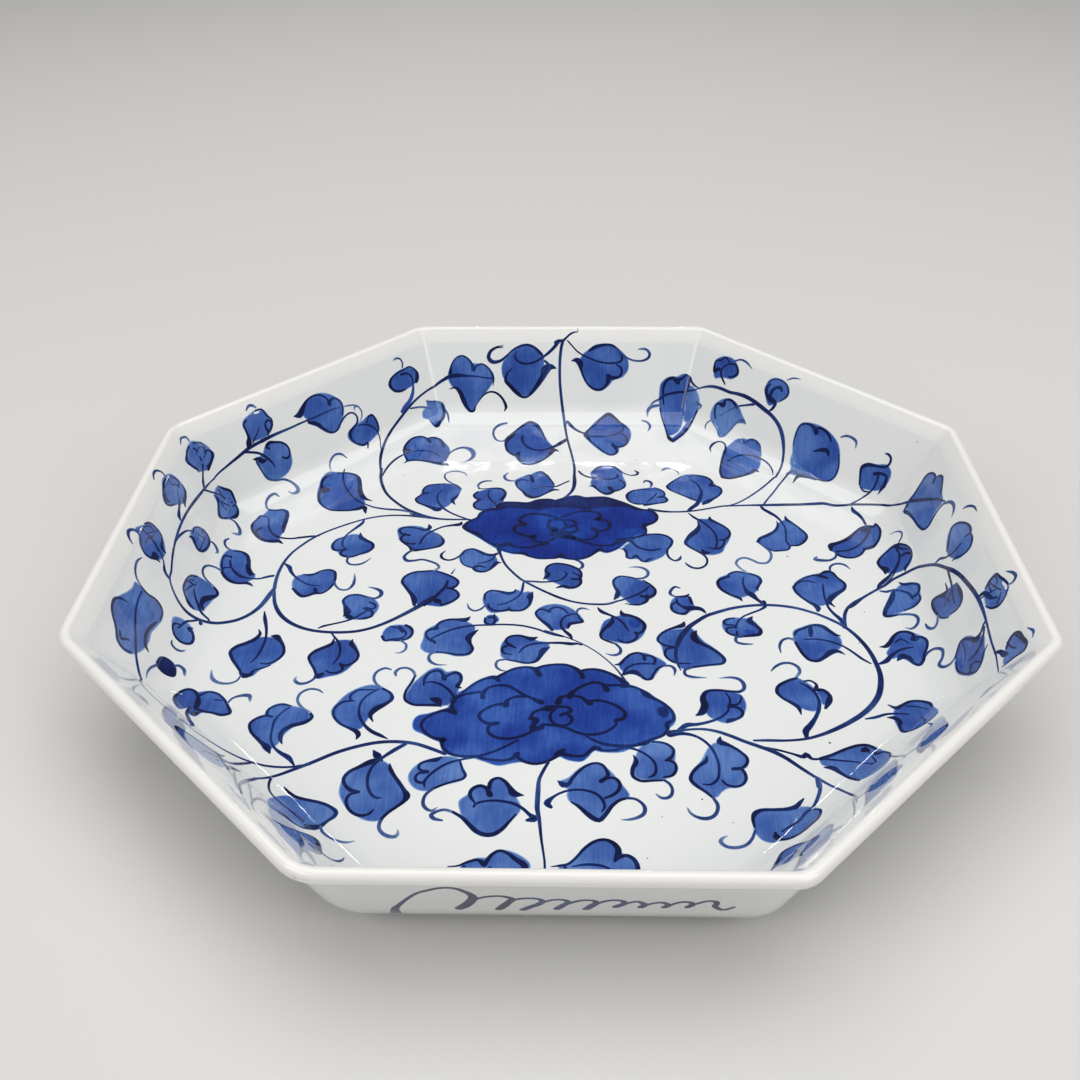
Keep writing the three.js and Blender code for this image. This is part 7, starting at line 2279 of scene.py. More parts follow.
    Sprig("right_scroll", """
s 61,-69.3 65,-69.2,1.4 71,-69.2,1.2 77,-68.4,1.3 82,-66.6,1.5 87,-64,1.8 92,-60.8,2 96.8,-57,2.1
100.5,-53,2.2 103.3,-48.5 105,-43.5 105.8,-38.5,2 105.6,-33.5,1.9 104.8,-28,1.8 103.3,-23 101,-18,1.7
98,-13.8,1.6 94.3,-10.5 90,-7.4,1.5 s 98.7,-14.8,2 99.3,-11,1.6 100.3,-7,1.5 102,-3.8,1.4 103.5,-2.2,1.6 v
94.7,0,1.1 95,-4,1.2 96.3,-7.5,1.5 98,-10.5,2 98.8,-13.5,1.8 o 90,-2,1.6 91.3,-4.5,2.4 91,-6,1.4 w
80.5,-21.5 81,-17 84,-15 88,-13.3 91.5,-14 94,-17.5 96,-20.5 95.5,-25 93.5,-27 90.5,-29 87.5,-32 84.5,-32.3
82.3,-29.5 81.2,-26 o 80.9,-19 82,-17,1.3 85,-15.3 88.5,-13.7,1.5 91,-14.3,2 93.5,-17.3,1.8 95,-19,1.6
96.4,-19.3,.6 o 87,-14.5,1.6 86.6,-17.5,2 86.3,-19.5,1.4 o 80.3,-21,1.2 81,-24.5,1.3 82.3,-29,1.4
84,-31.8,1.5 86.5,-32.3,1.6 89,-30.5,1.8 91.8,-27.8,2.6 94,-27.3,2 96.2,-29,.5 t 75,-28.3,.4 75,-25,1
76.5,-21.8,1.1 78.8,-20.8,1.2 80.6,-22 v 84,-21.3,.8 88,-21.2,1 92,-22.2,1.1 96,-24.5 99,-27.8,1.2
101.5,-31.2,1.3 103.8,-33.4,.8 w 47,-50 48.5,-47.3 52,-46.8 56,-47.5 59,-48.8 60.2,-52 59.8,-56 57.5,-59.5
53.8,-61.7 50,-60.3 48,-58.3 47,-54 o 44.2,-58.5,.8 46,-57.3,2.6 47.3,-54,2.8 47,-50.5,2.2 48.5,-47.5,1.6
52,-46.8,1.3 56,-47.3,1.2 59,-47.5,1.3 t 59,-47.5,1.3 60.5,-46.3 60.8,-43.8,1.5 59.5,-41.5,1.4 57,-40.7,1.2
53.2,-41.1,.5 o 54.5,-48,.7 55.5,-50.5,1 55.3,-53 55,-54.3,1.6 o 55.5,-53.5,1.2 57.5,-53.5,1 59,-51.5,.9
59.3,-49.3,.7 o 54.8,-54.3,1.4 57.5,-54.8,1.3 59,-56.8 58.3,-58.8 56,-60.2,1.6 54,-60.8,2 53.5,-61.8,.6 v
55,-54.5 54,-57,1.1 51.5,-59.5,1.2 48,-61.3,1.4 44,-62.5,1.6 41,-62.8,2.2 38.3,-65,1.6 w 70.7,-47.5 72,-44.3
75,-41.8 78,-40.7 80.5,-42.3 83,-45.5 84.2,-49 83.5,-53 82,-56 79,-55.5 76.3,-53.5 73,-50.8 w 84,-46.5
86.5,-47 87.3,-49.5 86,-53 84.8,-53 84.5,-49.5 t 70.5,-37.5,.4 72,-35.5,1 74.5,-33.7,1.2 77.3,-33.5
79.5,-35.3,1.3 79.8,-37.8,1.2 78.3,-40.3 o 78.3,-40.8,1.2 75,-42.3,1.3 72,-44.5,1.4 71,-47.5 72.5,-50.3,1.3
75,-52.5,1.6 76.8,-54.5,1.8 77.2,-57.7,.6 o 80.5,-42.3 82.5,-42,1.1 84.2,-43.8,1.2 83.8,-45.8,1.8 o
83.5,-46.3,1.6 86,-46.5 87.6,-49 87,-51.5,2.4 85.3,-54.8,1.2 v 79,-43,.8 81,-44.5,1.1 83,-47.5,1.2
83.8,-51,1.4 83.2,-55,1.6 81.5,-59 79.3,-62.5,2.2 77.5,-65,2.4 77.3,-67.5,1.6
"""),
    Sprig("right_low", """
w 118.5,3.5 120.5,6 123.5,8 126.5,6.8 128.8,3.8 128,0 127.5,-3.5 125,-5.5 121,-6.3 117,-7.5 114.2,-8.8
114.8,-5.5 117,-1.5 o 122.3,9.5,.5 123.8,7.5,1.6 126.5,6.3,1.3 128.5,3.8 128,1,1.4 126,-.5,1.6 124.5,0,1 o
127.5,-.8,.8 127.3,-3.5,1 125,-5.2 121,-6,.9 o 119.8,6,1.2 119,3.5,2 117.8,.5,2.4 115.8,-3,2 114.3,-6,1.8
113.8,-8.7,1.6 116,-8.5,1.5 118.5,-7.8,1.2 t 118.5,-7.8,1.2 121.5,-8.3 123.8,-10 124.3,-12.5 123,-15 121,-16
119.3,-15,.4 v 120,5.8,1.2 122.3,4.5 124.5,1.5 125,-1.5,1 w 110.3,-28.5 112,-25 114.5,-20 117.5,-17.3
120,-17.5 122.5,-19.8 124.5,-23 123.8,-27 122.3,-30 120.5,-33 118.8,-34 117,-32.5 114,-30 111.3,-30.8 d
115.5,-20.5 117.5,-19.5 119,-20.5 118,-22 116,-22 o 108.5,-25,.6 110.5,-24.8,1.8 112.3,-22.8 114.5,-19.3,1.5
117,-17.2,1.4 119.3,-17.2,1.6 121,-19,1.4 120.5,-21.3,2.2 o 120.8,-20.8,1.6 123,-21,1.2 124.5,-23.5
124,-26.5,1.1 122.3,-29.5,1.2 121.3,-32.3,1.4 119.5,-34.2,1.5 117.8,-33,1.6 117,-30.5,2.4 115,-29.8,3
112.8,-32,.6 v 106.8,-33.5,1.2 109,-32.3,2 111,-30,1.8 113.5,-27.5,1.3 116.5,-25.8,1.1 119.3,-25.3,.8 t
121.5,-31.5,1.1 123.5,-29.3 126,-28.8,1.2 128.2,-31,1.3 127.5,-34,1.2 125.5,-36.5,1.3 126.5,-38.3
129,-38.8,1.2 131.5,-38 w 130.5,-10 131.3,-7.7 134,-8.5 137,-10 140,-10 142.3,-11 143,-16 141.3,-20.5
137.5,-20.8 134,-20.3 131.8,-17.8 130.8,-14 o 134.5,-20.8,.7 132,-18,1.1 130.9,-14.5,1.3 130.6,-10,1.4
131.5,-7.8 134,-8.5 136,-10,2.4 138,-9.8,1.4 138.5,-6,.5 o 142.3,-10.5,.5 142.5,-13,1.2 142.8,-17
141.2,-20.5 138.5,-21.3,1 136,-20.5,.8 v 141.3,-2 140.9,-6,1.1 140.2,-11,1 139.3,-14 138.8,-18,.8 v
136,-11,.8 137.5,-15 t 126,-16,.6 126.5,-18.5,1.3 128.3,-19.8,1.2 130,-18.5,1.1 131,-16 w 130.2,-42
131.5,-38.5 134,-35.3 137,-34.5 139.5,-36.5 141.5,-40 144,-41.5 143,-45 141.5,-48.5 138.5,-50.7 135,-50.3
132.3,-47.5 130.6,-45 o 131.5,-38,1.2 133.5,-36 135.5,-34.7,1.4 137.5,-35.5,1.3 139.5,-38,1.5 141,-40,2.6
143.5,-39.5,1.4 145.5,-37.8,1.2 147,-37,1 o 145.5,-39 143.5,-42,1.3 141,-44 138,-44.7,1 135.5,-44,.6 o
131,-40 130.6,-43.5 132,-46.5 134,-49,.9 o 135.5,-46.3 134.5,-48.5,.9 136.5,-50.8,1 139,-50.3
141.3,-47.8,1.1 144,-46.3,.6 w 106,-59 107,-55.3 110,-53 114,-51.7 117.5,-51.8 118.8,-54.5 119.7,-58.8
117.5,-62.5 114,-65 110,-66.3 107,-65.8 106.2,-62.5 o 105.3,-53,.6 107.5,-54.5,1.8 109.5,-53.3,1.3
112.5,-51.5 116,-51.3,1.4 118.3,-52.5,1.6 118.7,-54.5,1.2 o 103.8,-58.8,.5 106,-59,2 107.3,-60.5,1.8
106.8,-63,1.4 107.2,-66,1.5 110,-66.3,1 113.5,-65.3,.8 117,-63,.7 119.5,-60,.6 v 97,-59.5,.8 100,-58.8,1.4
104,-57.3,1.2 108,-57,1 111,-57.3,.8 o 111,-53.5,.8 114.5,-54 117,-55.8,.7 o 114.3,-60,.8 114.8,-62.5
114,-65,.6 t 115.3,-65.5,.8 116.2,-68,1 115.5,-72,1.2
"""),
    Sprig("right_wall_low", """
s 140.5,1,1.5 143,-4,1.8 144.8,-9 146,-14.5 147,-20 147.6,-26 147.5,-32,1.6 146.9,-38,1.2 146.2,-43,1.1
145.6,-48 145.3,-53,1 144.2,-58,.8 143.5,-62,.6 p 150.5,-26 153.5,-24 157,-24 158.2,-28 159.3,-32.5
157.5,-35.8 154.3,-37 151.3,-35.5 149.3,-32 149.7,-28.5 o 147.8,-25.5,1.2 150,-26,1.8 151.5,-28.5,1.4
152.5,-32,.8 o 151.5,-25 154,-23.9,1.4 157,-24 157.8,-26.5,1.2 158.8,-30 159.3,-33,1 o 149,-32,.8
150.5,-35,1 153.5,-37,1.2 156.5,-36.3,1 158.8,-34,.8 o 153,-25,.8 152.8,-29 t 160.5,-26.5,.4 162.3,-29.5,1.2
162.5,-32,1.3 160.8,-33.3,1.1 159,-32.8,.8 p 146.5,-58.8 148,-56.5 150.5,-53.8 153.5,-52.8 155.7,-54
156.2,-58 156.3,-61 155,-62 151.5,-61 148,-60 o 145.3,-52,1.2 147,-53.5,1.6 148,-56,2.4 149,-57,1.4 o
149.5,-54.8,1.2 151.5,-53.3,1.4 154,-53 155.7,-54.5,1.3 156.2,-58,1.2 156.5,-61,1.3 155,-62.3,1 151,-61,.8
147.5,-60 145.5,-59.3,.5 t 158.8,-56,.4 160,-59,1.1 159,-61,.6
"""),
    Sprig("front_right", """
s 35,-66,1.8 38.5,-65.3,1.4 42,-64.7,1.2 46,-64.6,1.3 50,-65.5,1.5 54,-67.4,1.6 58,-69.7 62,-71.7,1.7
66,-73.8,1.8 69.5,-76.4,1.7 73,-80,1.5 76.5,-83.5,1.4 80.5,-87,1.2 84,-91,1.1 86.5,-97 87.5,-106,1
87,-115,.8 s 77.8,-85,1.8 77.5,-88,1.4 v 64,-72.3,1.2 68,-73.3,1.1 72,-74.8 75,-76,1.8 76,-75,2.2
77.5,-76.8,1.3 80.5,-76.8,1.1 85,-77.3,1 90,-78,.8 95,-80 p 80,-76.7 84,-74.8 88.5,-72.5 93,-71.2 96.5,-71.2
99,-73.8 100.8,-76.5 100.2,-80.5 98,-84 94,-86.7 90.5,-87.5 87,-85.5 85,-82.5 82.5,-80 80.3,-79.3 o
80,-76.8,1.6 84,-75,1.4 88,-72.8,1.3 92.5,-71 95.5,-71,1.4 97.3,-72.8,1.3 96.8,-75.5,1.2 99,-74.8,1
100.8,-76.5 100.5,-79.5,.8 o 80.5,-80.3,.6 83,-80.5,2.2 85,-82.5,1.6 87,-85,1.3 89.5,-87.5 o 93,-73.5
94.3,-72.8,3 95,-74,1 o 95.5,-76,.6 96,-79.8,.8 94.3,-80.3,.6 p 23.5,-79.5 24.8,-75.5 26.5,-72 30,-70.7
33.5,-70.8 36,-73 36.3,-76 36,-78.5 36.7,-81 35.3,-84 32,-85.5 28.5,-85.8 25,-85.2 23.4,-83 o 28,-70.5
31,-70.2,1.1 34,-71,1.2 36,-73.3 35.8,-75.5 34.3,-77.5,1.6 33.5,-78,1.2 o 34,-77.8,1.2 36,-79 36.3,-81.5
35,-84 32.3,-84.8,.8 o 23.8,-76,.6 24.5,-78.5,1.8 23.3,-81.5,1.6 23.3,-84.5,1.4 25.5,-86.3,1.3 29,-86.2,1.1
32.5,-86,1 t 32.5,-86 33.9,-87.4 34.6,-89.5 34.1,-91.9,1.2 32.6,-93 31,-92.8,1.1 29.8,-91.5,.6 v
21.5,-72.5,1.4 24.5,-73.5,1.2 27.5,-75.5,1.1 29.8,-78.5 30.3,-81.5 29.5,-84,1.2 28,-84.8,.8 p 40.2,-85.5
42.3,-81.1 44.8,-76.8 46.6,-73 49.1,-70.5 52.3,-71.1 56,-73.6 57.9,-76.8 57.6,-79.9 56.3,-81.5 56.8,-84
56.1,-86.8 53.8,-88.5 51,-88.8 49,-90.2 47.3,-92.3 45.8,-92.2 43.2,-89.8 40.7,-87.5 o 46,-76,.6 45.5,-78,1.6
43,-80.3,1.5 41,-83,1.4 40.3,-85.6 41.9,-88.1 44.4,-90.5,1.2 46.3,-92.8,1.1 t 46.3,-92.8,1.1 47.3,-95.4,1.2
46.8,-98.1 45.4,-99.9,1.3 43.2,-100.6,1.4 40.7,-99.9,1.1 39.1,-98.4,.9 38.5,-96.7,.5 o 50.8,-67.8,.6
50.5,-70,2.6 53,-71.3,1.6 56,-73.8,1.3 58,-76.8 57.5,-79.3 55.8,-80.8,1.4 53.4,-81.2,1.6 o 49.6,-85.9,.8
50.7,-87.5,1.1 53.2,-88.3,1.2 55.4,-87.4 56.7,-85.2,1.3 56.6,-82.8 55.7,-81,1.4 v 35.5,-67,2.6 39,-66.5,1.8
43,-67.5,1.3 46,-70,1.2 48,-73.5 49,-77.5,1.1 49.1,-81.5 48.3,-85.3 46,-87.5,1 43.7,-87.4,.6
"""),
    Sprig("front_middle", """
p 1.2,-87.2 4.1,-85.4 7.3,-81.7 10.4,-79.6 13.5,-79.3 15.2,-81 17,-83.2 19.1,-86.8 21,-90 21.8,-92.2
20,-93.3 17.9,-95 15.4,-98.7 12.9,-101.8 10.7,-100 7.6,-96.9 4.7,-94.7 3.8,-92 4.1,-90 2.6,-88.7 o
1,-86.6,.6 2.6,-88.1,2.6 3.9,-88,1.8 5.4,-85.3,1.4 7.6,-82.2,1.2 9.6,-80.3,1.1 12,-79.3 14,-79.8,1.2
15.4,-82,1.3 15.8,-84.4,1.6 13.8,-86.6,1.8 o 13.8,-86.5,1.8 16,-85.2,1.3 18.2,-85.6 19.3,-87.8,1.4 18.8,-90
17.2,-91.9,1.3 14.7,-93.2,1 v -1,-96.8,1.4 -2.1,-95.4,2.4 -.2,-92.8,1.2 2.9,-90.8,1.1 6.6,-90 10,-90.5
12.6,-91.9,1.2 14.1,-94.1 14.6,-96.6,1.1 13.7,-98.4,.7 o 5.1,-94.9,.8 7.2,-96.6,1.4 9.4,-99.1,1.8
11.3,-100.9,2 12.9,-101.6,1.8 14.8,-99.4,1.6 16.9,-95.9,1.5 19.1,-93.9,1.3 21.3,-93.1,1.1 t 21.3,-93.1,1.1
23.5,-93.4,1 25.4,-95,1.1 26.2,-96.9,1.3 25.7,-99.1 23.8,-100.5,1.2 21.6,-101.2,1 19.4,-101.3,.5 p
-27.6,-94.7 -25.2,-92.2 -24.6,-90 -22.3,-88.7 -20.1,-89 -18.8,-86.3 -16.6,-85.7 -14.4,-87.1 -12.6,-90
-11.3,-93.1 -9.8,-96.9 -10.2,-98.8 -12.3,-101.9 -14.8,-105.2 -17.6,-107 -20.7,-106.8 -23.5,-104.4 -26,-101.2
-27.2,-98 o -23.2,-95.3,.8 -24.4,-93.4,1.3 -24.8,-91.6,1.4 -23.8,-89.7,1.5 -21.9,-88.8 -20.1,-89.7
-18.9,-92.3,2.2 o -19.2,-89.7,1.4 -19.1,-87.7,1.5 -18.2,-86.2,1.4 -16.6,-85.7,1.3 -14.8,-86.9,1.4
-13.2,-89.4,1.8 -11.8,-91.8,2.8 -9,-92.4,.6 v -23.3,-96.9 -22.9,-95.9,1.1 -20.7,-94.9 -17.9,-94.5
-14.8,-94.8,1.2 -11.9,-95.6,1.4 -9.4,-97.2,1.3 -6.9,-99.9,1.6 -5.6,-101.2,2.8 -7.6,-101.8,1.4 t
-32.1,-102.2,.7 -34.7,-101.4,1.4 -35.4,-100.2 -33.8,-98.8,1.1 -31.6,-98.2 -29.1,-99.1,1.2 o -29.1,-99.1,1.2
-26.6,-100.9,1.4 -24.4,-103.4,1.6 -22.2,-105.9,1.8 -19.8,-107.2 -17.2,-107.1 -14.8,-105.2,1.6
-12.9,-102.5,1.2 -11,-99.7,.8 s -2,-79.2,1.2 -3.4,-82.5,1.3 -4.6,-86.2,1.4 -4.8,-90,1.7 -4.9,-93.8,1.8
-4.9,-97.5,1.7 -4.3,-101.2,1.4 -3.9,-105,1.2 -3.5,-108.8,1 -2.9,-113.1,.9 -2.4,-117.5 -2.6,-123,1.1
-4,-128,1.3 -6.6,-133,1.2 -10,-137,.9 p -43.5,-85.2 -42.3,-81.7 -39.8,-79.3 -36,-77.7 -32.3,-77.1 -29.1,-78
-27.9,-81.1 -26.6,-84.1 -27,-86 -29.1,-87.3 -32.9,-88.5 -36,-90.2 -37.6,-90.9 -40.4,-90.4 -42.6,-88.2 o
-34.5,-77.5 -36,-78.5,2 -38.5,-79,1.3 -40.6,-80.2,1.2 -40.9,-81.9 -39.7,-83.1,1.4 -38.2,-83.4,1.7 o
-38.8,-83.6,1.5 -40.7,-84.1,1.2 -41.5,-85.6 -41,-87.2,1.3 -39.7,-87.8 -38.5,-87.6,1 v -25,-77.5
-29,-78.5,1.1 -32.5,-80,1.2 -36,-83.1 -37.9,-85.6 -38.7,-87.8 -38.3,-89.5,.6 o -28.8,-78.5,.9
-27.6,-82.5,1.1 -26.6,-84.7,1.2 -27.3,-86.1 -30.1,-87.2,1.1 -33.5,-88.8 -36,-90.3 t -36,-90.3,1.1
-37.6,-92.2 -38.2,-94.1 -38.1,-96.2,1.2 -36.9,-98 -35.4,-98.6,1 -34,-97.4,.5
"""),
    Sprig("front_left_leaves", """
p -63.2,-91.6 -62.8,-86.3 -60,-83 -56,-80.5 -53,-79 -50.3,-80.5 -49,-83.5 -47.3,-86.3 -44.8,-90.6 -43,-93.4
-44.8,-96.2 -47.3,-98.8 -49.1,-101.2 -50.4,-102.4 -53.5,-102.4 -56.6,-100.9 -59.8,-98.1 -61.9,-95 o
-55.5,-74.7,.6 -54,-77,2.8 -52.3,-79,1 o -53,-78.5,1.6 -55.5,-79.5,2.4 -59,-81.8,1.6 -61.6,-83.8,1.5
-62.8,-86.6,1.4 -61.9,-89.1,1.3 -60.1,-90.9,1.6 -57.9,-91.7 o -57.6,-91.7,1.3 -59.8,-92.5,1.2 -60.7,-94.1
-60.4,-96.6,1.3 -58.8,-99.1 -56.6,-100.5 -54.4,-100.5,1.2 -52.9,-99.4,1 -52.3,-98.3,.6 s -46,-72,1.6
-49,-74.5,1.8 -52,-77.5,1.4 -54.2,-80.2,1.2 -55.4,-83.1 -55.7,-86.2 -55,-90 -53.5,-92.8 -51.9,-93.9,1.1
-50.7,-93.8,.7 o -49.8,-80.3,.6 -49.3,-82.5,1.6 -47.8,-85.2,1.4 -46.3,-87.5,1.5 -44.4,-90.6,1.6
-43.2,-93.1,2.4 -43.8,-95,1.6 -45.7,-97.2,1.3 -47.9,-99.4 -49.4,-101.6,1.2 t -49.4,-101.6,1.2 -49.9,-103.4
-49.8,-105.3 -48.5,-107.2,1.3 -46.3,-108.3,1.4 -44.8,-108.2 -44.2,-107.2,1.1 -44.4,-105.9,.5 p -82.9,-100.6
-82.2,-98.1 -80.4,-95.3 -77.9,-94.1 -75.7,-95 -74.1,-96.9 -72.2,-99.6 -70,-102.5 -67.2,-105.4 -67.3,-107
-70.4,-108.7 -73.5,-109.3 -76.6,-109 -79.1,-109.4 -81.2,-110.8 -82.6,-106.2 p -75.7,-94.4 -71.6,-95
-67.9,-96.2 -64.8,-97.8 -62.7,-100 -63.5,-101.6 -65.7,-103.7 -67,-105 -69.1,-103.1 -71.6,-100.6 -74.1,-97.3
o -79.8,-90.3,.6 -78.2,-92.2,1.3 -76,-93.9,1.5 -72.2,-94.9,1.3 -68.5,-95.8 -65.4,-97.2 -63,-99.4,1.6
-63.2,-100.9 -65.1,-103.1,1.3 -66.5,-105.2,1.8 -69.1,-106.9,3 -71,-106.4,1 v -84.4,-86.6,1.2 -84.4,-90,1
-83.5,-93.8 -81.6,-96.6 -78.5,-99.4 -74.8,-102.2,1.1 -71.9,-104.7,1.3 -70,-106.6,1.6 o -79.1,-106.6,1.4
-76.6,-106.6,2.4 -74.8,-108.4,1.4 -71.6,-108.9,1.6 -67.9,-107,1.2 t -66.3,-105.3,.8 -65.7,-107.5,1.1
-63.5,-109.4 -60.4,-110.6 -57.9,-110.6,.9 -56.2,-110,.5 p -72.6,-115.6 -71,-113 -68.5,-112 -65.9,-113.1
-64.5,-117.5 -64.8,-123 -66.3,-129 -68.8,-133.5 -72,-135.5 -75,-133.5 -77,-130 -77,-127 -75,-122.5
-73.7,-118.7 o -70.5,-112.6,.8 -68.5,-111.9,1.1 -66.5,-113,1.5 -65.5,-116.9,1.9 -64.6,-120.6,1.7
-64.9,-124.5,1.4 -66.4,-129.3,1.3 -68.6,-133.2,1.2 o -70.5,-112.6,.8 -72.7,-115.6,1 -73.8,-119.3,1.2
-75.4,-123,1.4 -77.4,-127,1.8 -79.6,-129.6,.6 v -70,-138.5 -71,-133.5,1.2 -70.6,-128 -70.4,-122,1
-69.6,-118,.7 t -64.6,-120.3 -62.2,-121.4,1.1 -59.8,-120.9 -58.2,-118.8,.8 -57.9,-117.3,.4
"""),
    Sprig("front_right_leaves", """
p 57,-101 57.4,-98.3 59.8,-97 64.1,-96.7 67.9,-96.4 70.4,-96 69.6,-99.6 67.5,-102.8 65,-105.2 62.9,-106.6
62.9,-108.4 61.6,-109.4 58.6,-108.1 56.9,-105 p 70.2,-96.2 72.8,-96 75,-96.7 76.3,-98 75.8,-101.2
73.2,-104.4 70.4,-106.6 67.9,-108.1 65,-109 62.8,-108.6 63.2,-106 66.2,-104.4 69,-101.4 o 56.9,-103.4,.9
56.8,-100.6,1.3 57.7,-98.4,1.8 59.8,-97.2,1.5 63.5,-97,1.4 67.2,-96.7,1.6 69.8,-95.8,1.9 71.3,-94.1,1.4
72.5,-92.7,.7 s 78.2,-84.9,1.6 77.9,-88.8,1.5 76.3,-93.1,1.3 74.4,-96.6 72.2,-98.4 69.8,-101.6
67.2,-103.4,1.2 64.4,-105.3,.8 o 62.5,-105.6 62.7,-107.5,2.3 63.9,-108.7,1.5 66.6,-108.8,1.3 69.8,-107.3
72.9,-104.6,1.2 75.4,-101.9,1.1 76.3,-98 74.6,-97.4,.8 t 56.9,-105,.9 55.7,-107.8,1 53.8,-110,1.1
51,-111,1.2 48.2,-110.6 46.8,-109,1.4 47.3,-107.8,1.1 48.8,-106.9,.4 p 61.4,-118.7 62.8,-115.5 65.4,-113.9
67.9,-114.1 70,-116.3 71.9,-120 73.7,-124.6 73.3,-128.8 71.3,-132.4 68.8,-134.6 66,-133.6 64.1,-130
62.6,-126 60.8,-122.5 o 59,-124.6,.6 60.4,-122.5,1.8 61.5,-119.3,1.5 63.2,-115.4,1.2 65.7,-114,1.1
68.2,-114.6,1.3 70.4,-118,1.6 72.6,-121.9,1.7 74,-125.6,1.6 73,-129.6,1.3 70.6,-133.2,1.2 v 68.6,-138.5
68,-133,1.2 68,-127 67.3,-121.6,1 66.4,-118.4,.7
"""),
    Sprig("front_wall", """
p -25.4,-118.3 -23.4,-116.7 -21,-115.6 -18.8,-115.6 -17.2,-114 -15.1,-112.8 -12.3,-113.1 -9,-114.9
-6.6,-117.6 -7.6,-122 -10.6,-126 -13.6,-129.6 -17,-131.4 -20.4,-130 -23,-126.4 -24.6,-122 o -29,-118.7,.6
-26.2,-118.3,.9 -23.6,-116.9,1.1 -20.9,-116.2,1.2 -19.3,-117.6,2 o -19,-118,1.6 -17.3,-114.5,1.3
-15.1,-112.9,1.2 -12.9,-113.7,1.3 -10.4,-115.9,1.7 -8,-118,2.2 -8.4,-121.6,1.6 -10.4,-126,1.4 -13.4,-129.8 o
-24.6,-118.6,1.2 -25,-122,1.3 -23.4,-126.6,1.4 -20.6,-130.2,1.5 -17,-131.6 t -17,-131.6,1.5 -14.6,-133.4,1.2
-15,-136.2,1.1 -18,-137.6,1 -21,-136.4,.5 v -7.6,-134.4,1.6 -10.6,-130,1.3 -13.4,-125.6,1.2 -15.6,-121,1.1
-17.6,-118.6,.8 p 1.4,-118 4.1,-117.5 6.3,-115 8.8,-111.6 11.6,-109.3 14.4,-108.6 17.2,-110 18.5,-113.1
20.7,-114.2 22.6,-116 23.2,-119.4 21.6,-123.4 18.4,-127 14.4,-129.6 10.4,-129.4 6.6,-126.4 4,-122 o
-.6,-118.3,.5 1.6,-117.9,1 4,-117.3,1.1 6.2,-115.1 8.6,-111.8,1.2 11.5,-109.3,1.3 14.3,-108.6
16.7,-109.8,1.6 18,-112,2 17.7,-114.7,2.2 17,-116,1.2 o 17.8,-115,1.4 20.2,-114.1 22.2,-115.4,1.5
23.2,-118.4,1.6 22.2,-122.6,1.4 19,-126.8,1.3 14.8,-129.8,1.4 o 3.2,-118.4,1.2 4.2,-122.2,1.4 6.8,-126.6,1.5
10.4,-129.8,1.4 14.8,-129.8 t 14.8,-129.8,1.3 17.6,-131.4,1.1 18,-134.4,1.2 15.6,-136.4,1 12.6,-135.8,.5 v
5.4,-118.1,.8 8.5,-117.5,1.2 11.6,-117.5 14.6,-118.4 16.6,-120.6,1 17.2,-123.4,.6 s -8.2,-134.6 -14,-139,1.1
-22,-141.6,1.2 -30,-140.8,1.1 -37.2,-137,1 s -4,-128,.8 1.5,-133.5,1 9.5,-139.6,1.1 20,-142.2,1.2
30,-140.6,1.1 37.2,-136.6,1 p -47,-129 -43.5,-127.5 -40,-128.5 -37.4,-131.5 -37,-135.5 -39,-139.5
-42.6,-142.6 -46,-143.8 -49.2,-141 -51,-137 -50.6,-132.6 o -40,-128.4,.7 -37.2,-131.6,1.4 -36.9,-135.6,1.6
-39,-139.6,1.5 -42.8,-142.8,1.4 -46.2,-144,.9 o -40.2,-128.6,1.2 -43.6,-127.4,1.3 -47,-128.8,1.4
-50.6,-132.4,1.6 -51.2,-137,1.4 -49.2,-141.2,1.3 -46.2,-144,1 v -37.2,-137 -40.6,-135.2,1.2 -44.2,-134.6,1.1
-47.4,-135.8,.6 t -46.2,-144 -49.8,-145,1.1 -53,-143.4 -54.6,-140.4,.9 -53.8,-138.2,.5 p 46,-128 42.4,-126.8
38.8,-128.4 36.6,-131.8 36.9,-136.4 39.4,-140.2 43,-142.6 46.8,-143.2 50,-140.2 51.6,-136 50.2,-131 o
46.4,-127.8,.8 42.4,-126.6,1.4 38.6,-128.2,1.8 36.4,-131.8,1.4 36.7,-136.4,1.3 39.2,-140.4,1.4 43,-142.8,1.5
46.8,-143.4,1.2 o 46.2,-128 47.2,-130.6,1.4 50.4,-131,1.5 51.8,-136,1.4 50.2,-140.4,1.3 46.8,-143.4,.8 v
37.2,-136.6 40.8,-134.4,1.2 44.2,-134,1 46.8,-135.4,.6 t 42.4,-126.6 41,-123.6,1.1 42.4,-120.8 45.4,-120.2,1
47,-122,.5
"""),
    Sprig("left_corner_low", """
p -117.5,-97 -116.5,-92.5 -113.5,-90 -110,-87.5 -106,-86.8 -102.5,-85.5 -100,-86.5 -98.8,-90 -98.6,-95
-98.8,-101 -99.8,-107 -102,-111.5 -105.5,-113.6 -109.5,-111.5 -113,-107.5 -116,-102.5 o -99.8,-82.6,.6
-101.5,-85.4,1.8 -104.5,-87.3,1.6 -108,-88.6,2.6 -111.5,-89.8,1.6 -114.8,-91.6,1.4 -116.8,-94.6,1.6
-117,-98.6 -115.8,-103,1.3 -113,-107.6,1.2 -109.4,-111.6,1.1 v -98.7,-87,.8 -102,-91.5,1.1 -105,-96.5
-106.5,-102,1 -106.5,-106.5,.7 o -93.6,-89.2,.8 -95.4,-90,2.6 -96.7,-93,2.4 -97.6,-97,2 -97.6,-101.5,1 s
-88,-88.8,1.3 -89.9,-92,1.6 -91,-97,1.7 -91.8,-103,1.5 -92.3,-109,1.4 -92.3,-115,1.3 -91.3,-121,1.2
-90.6,-127,1
"""),
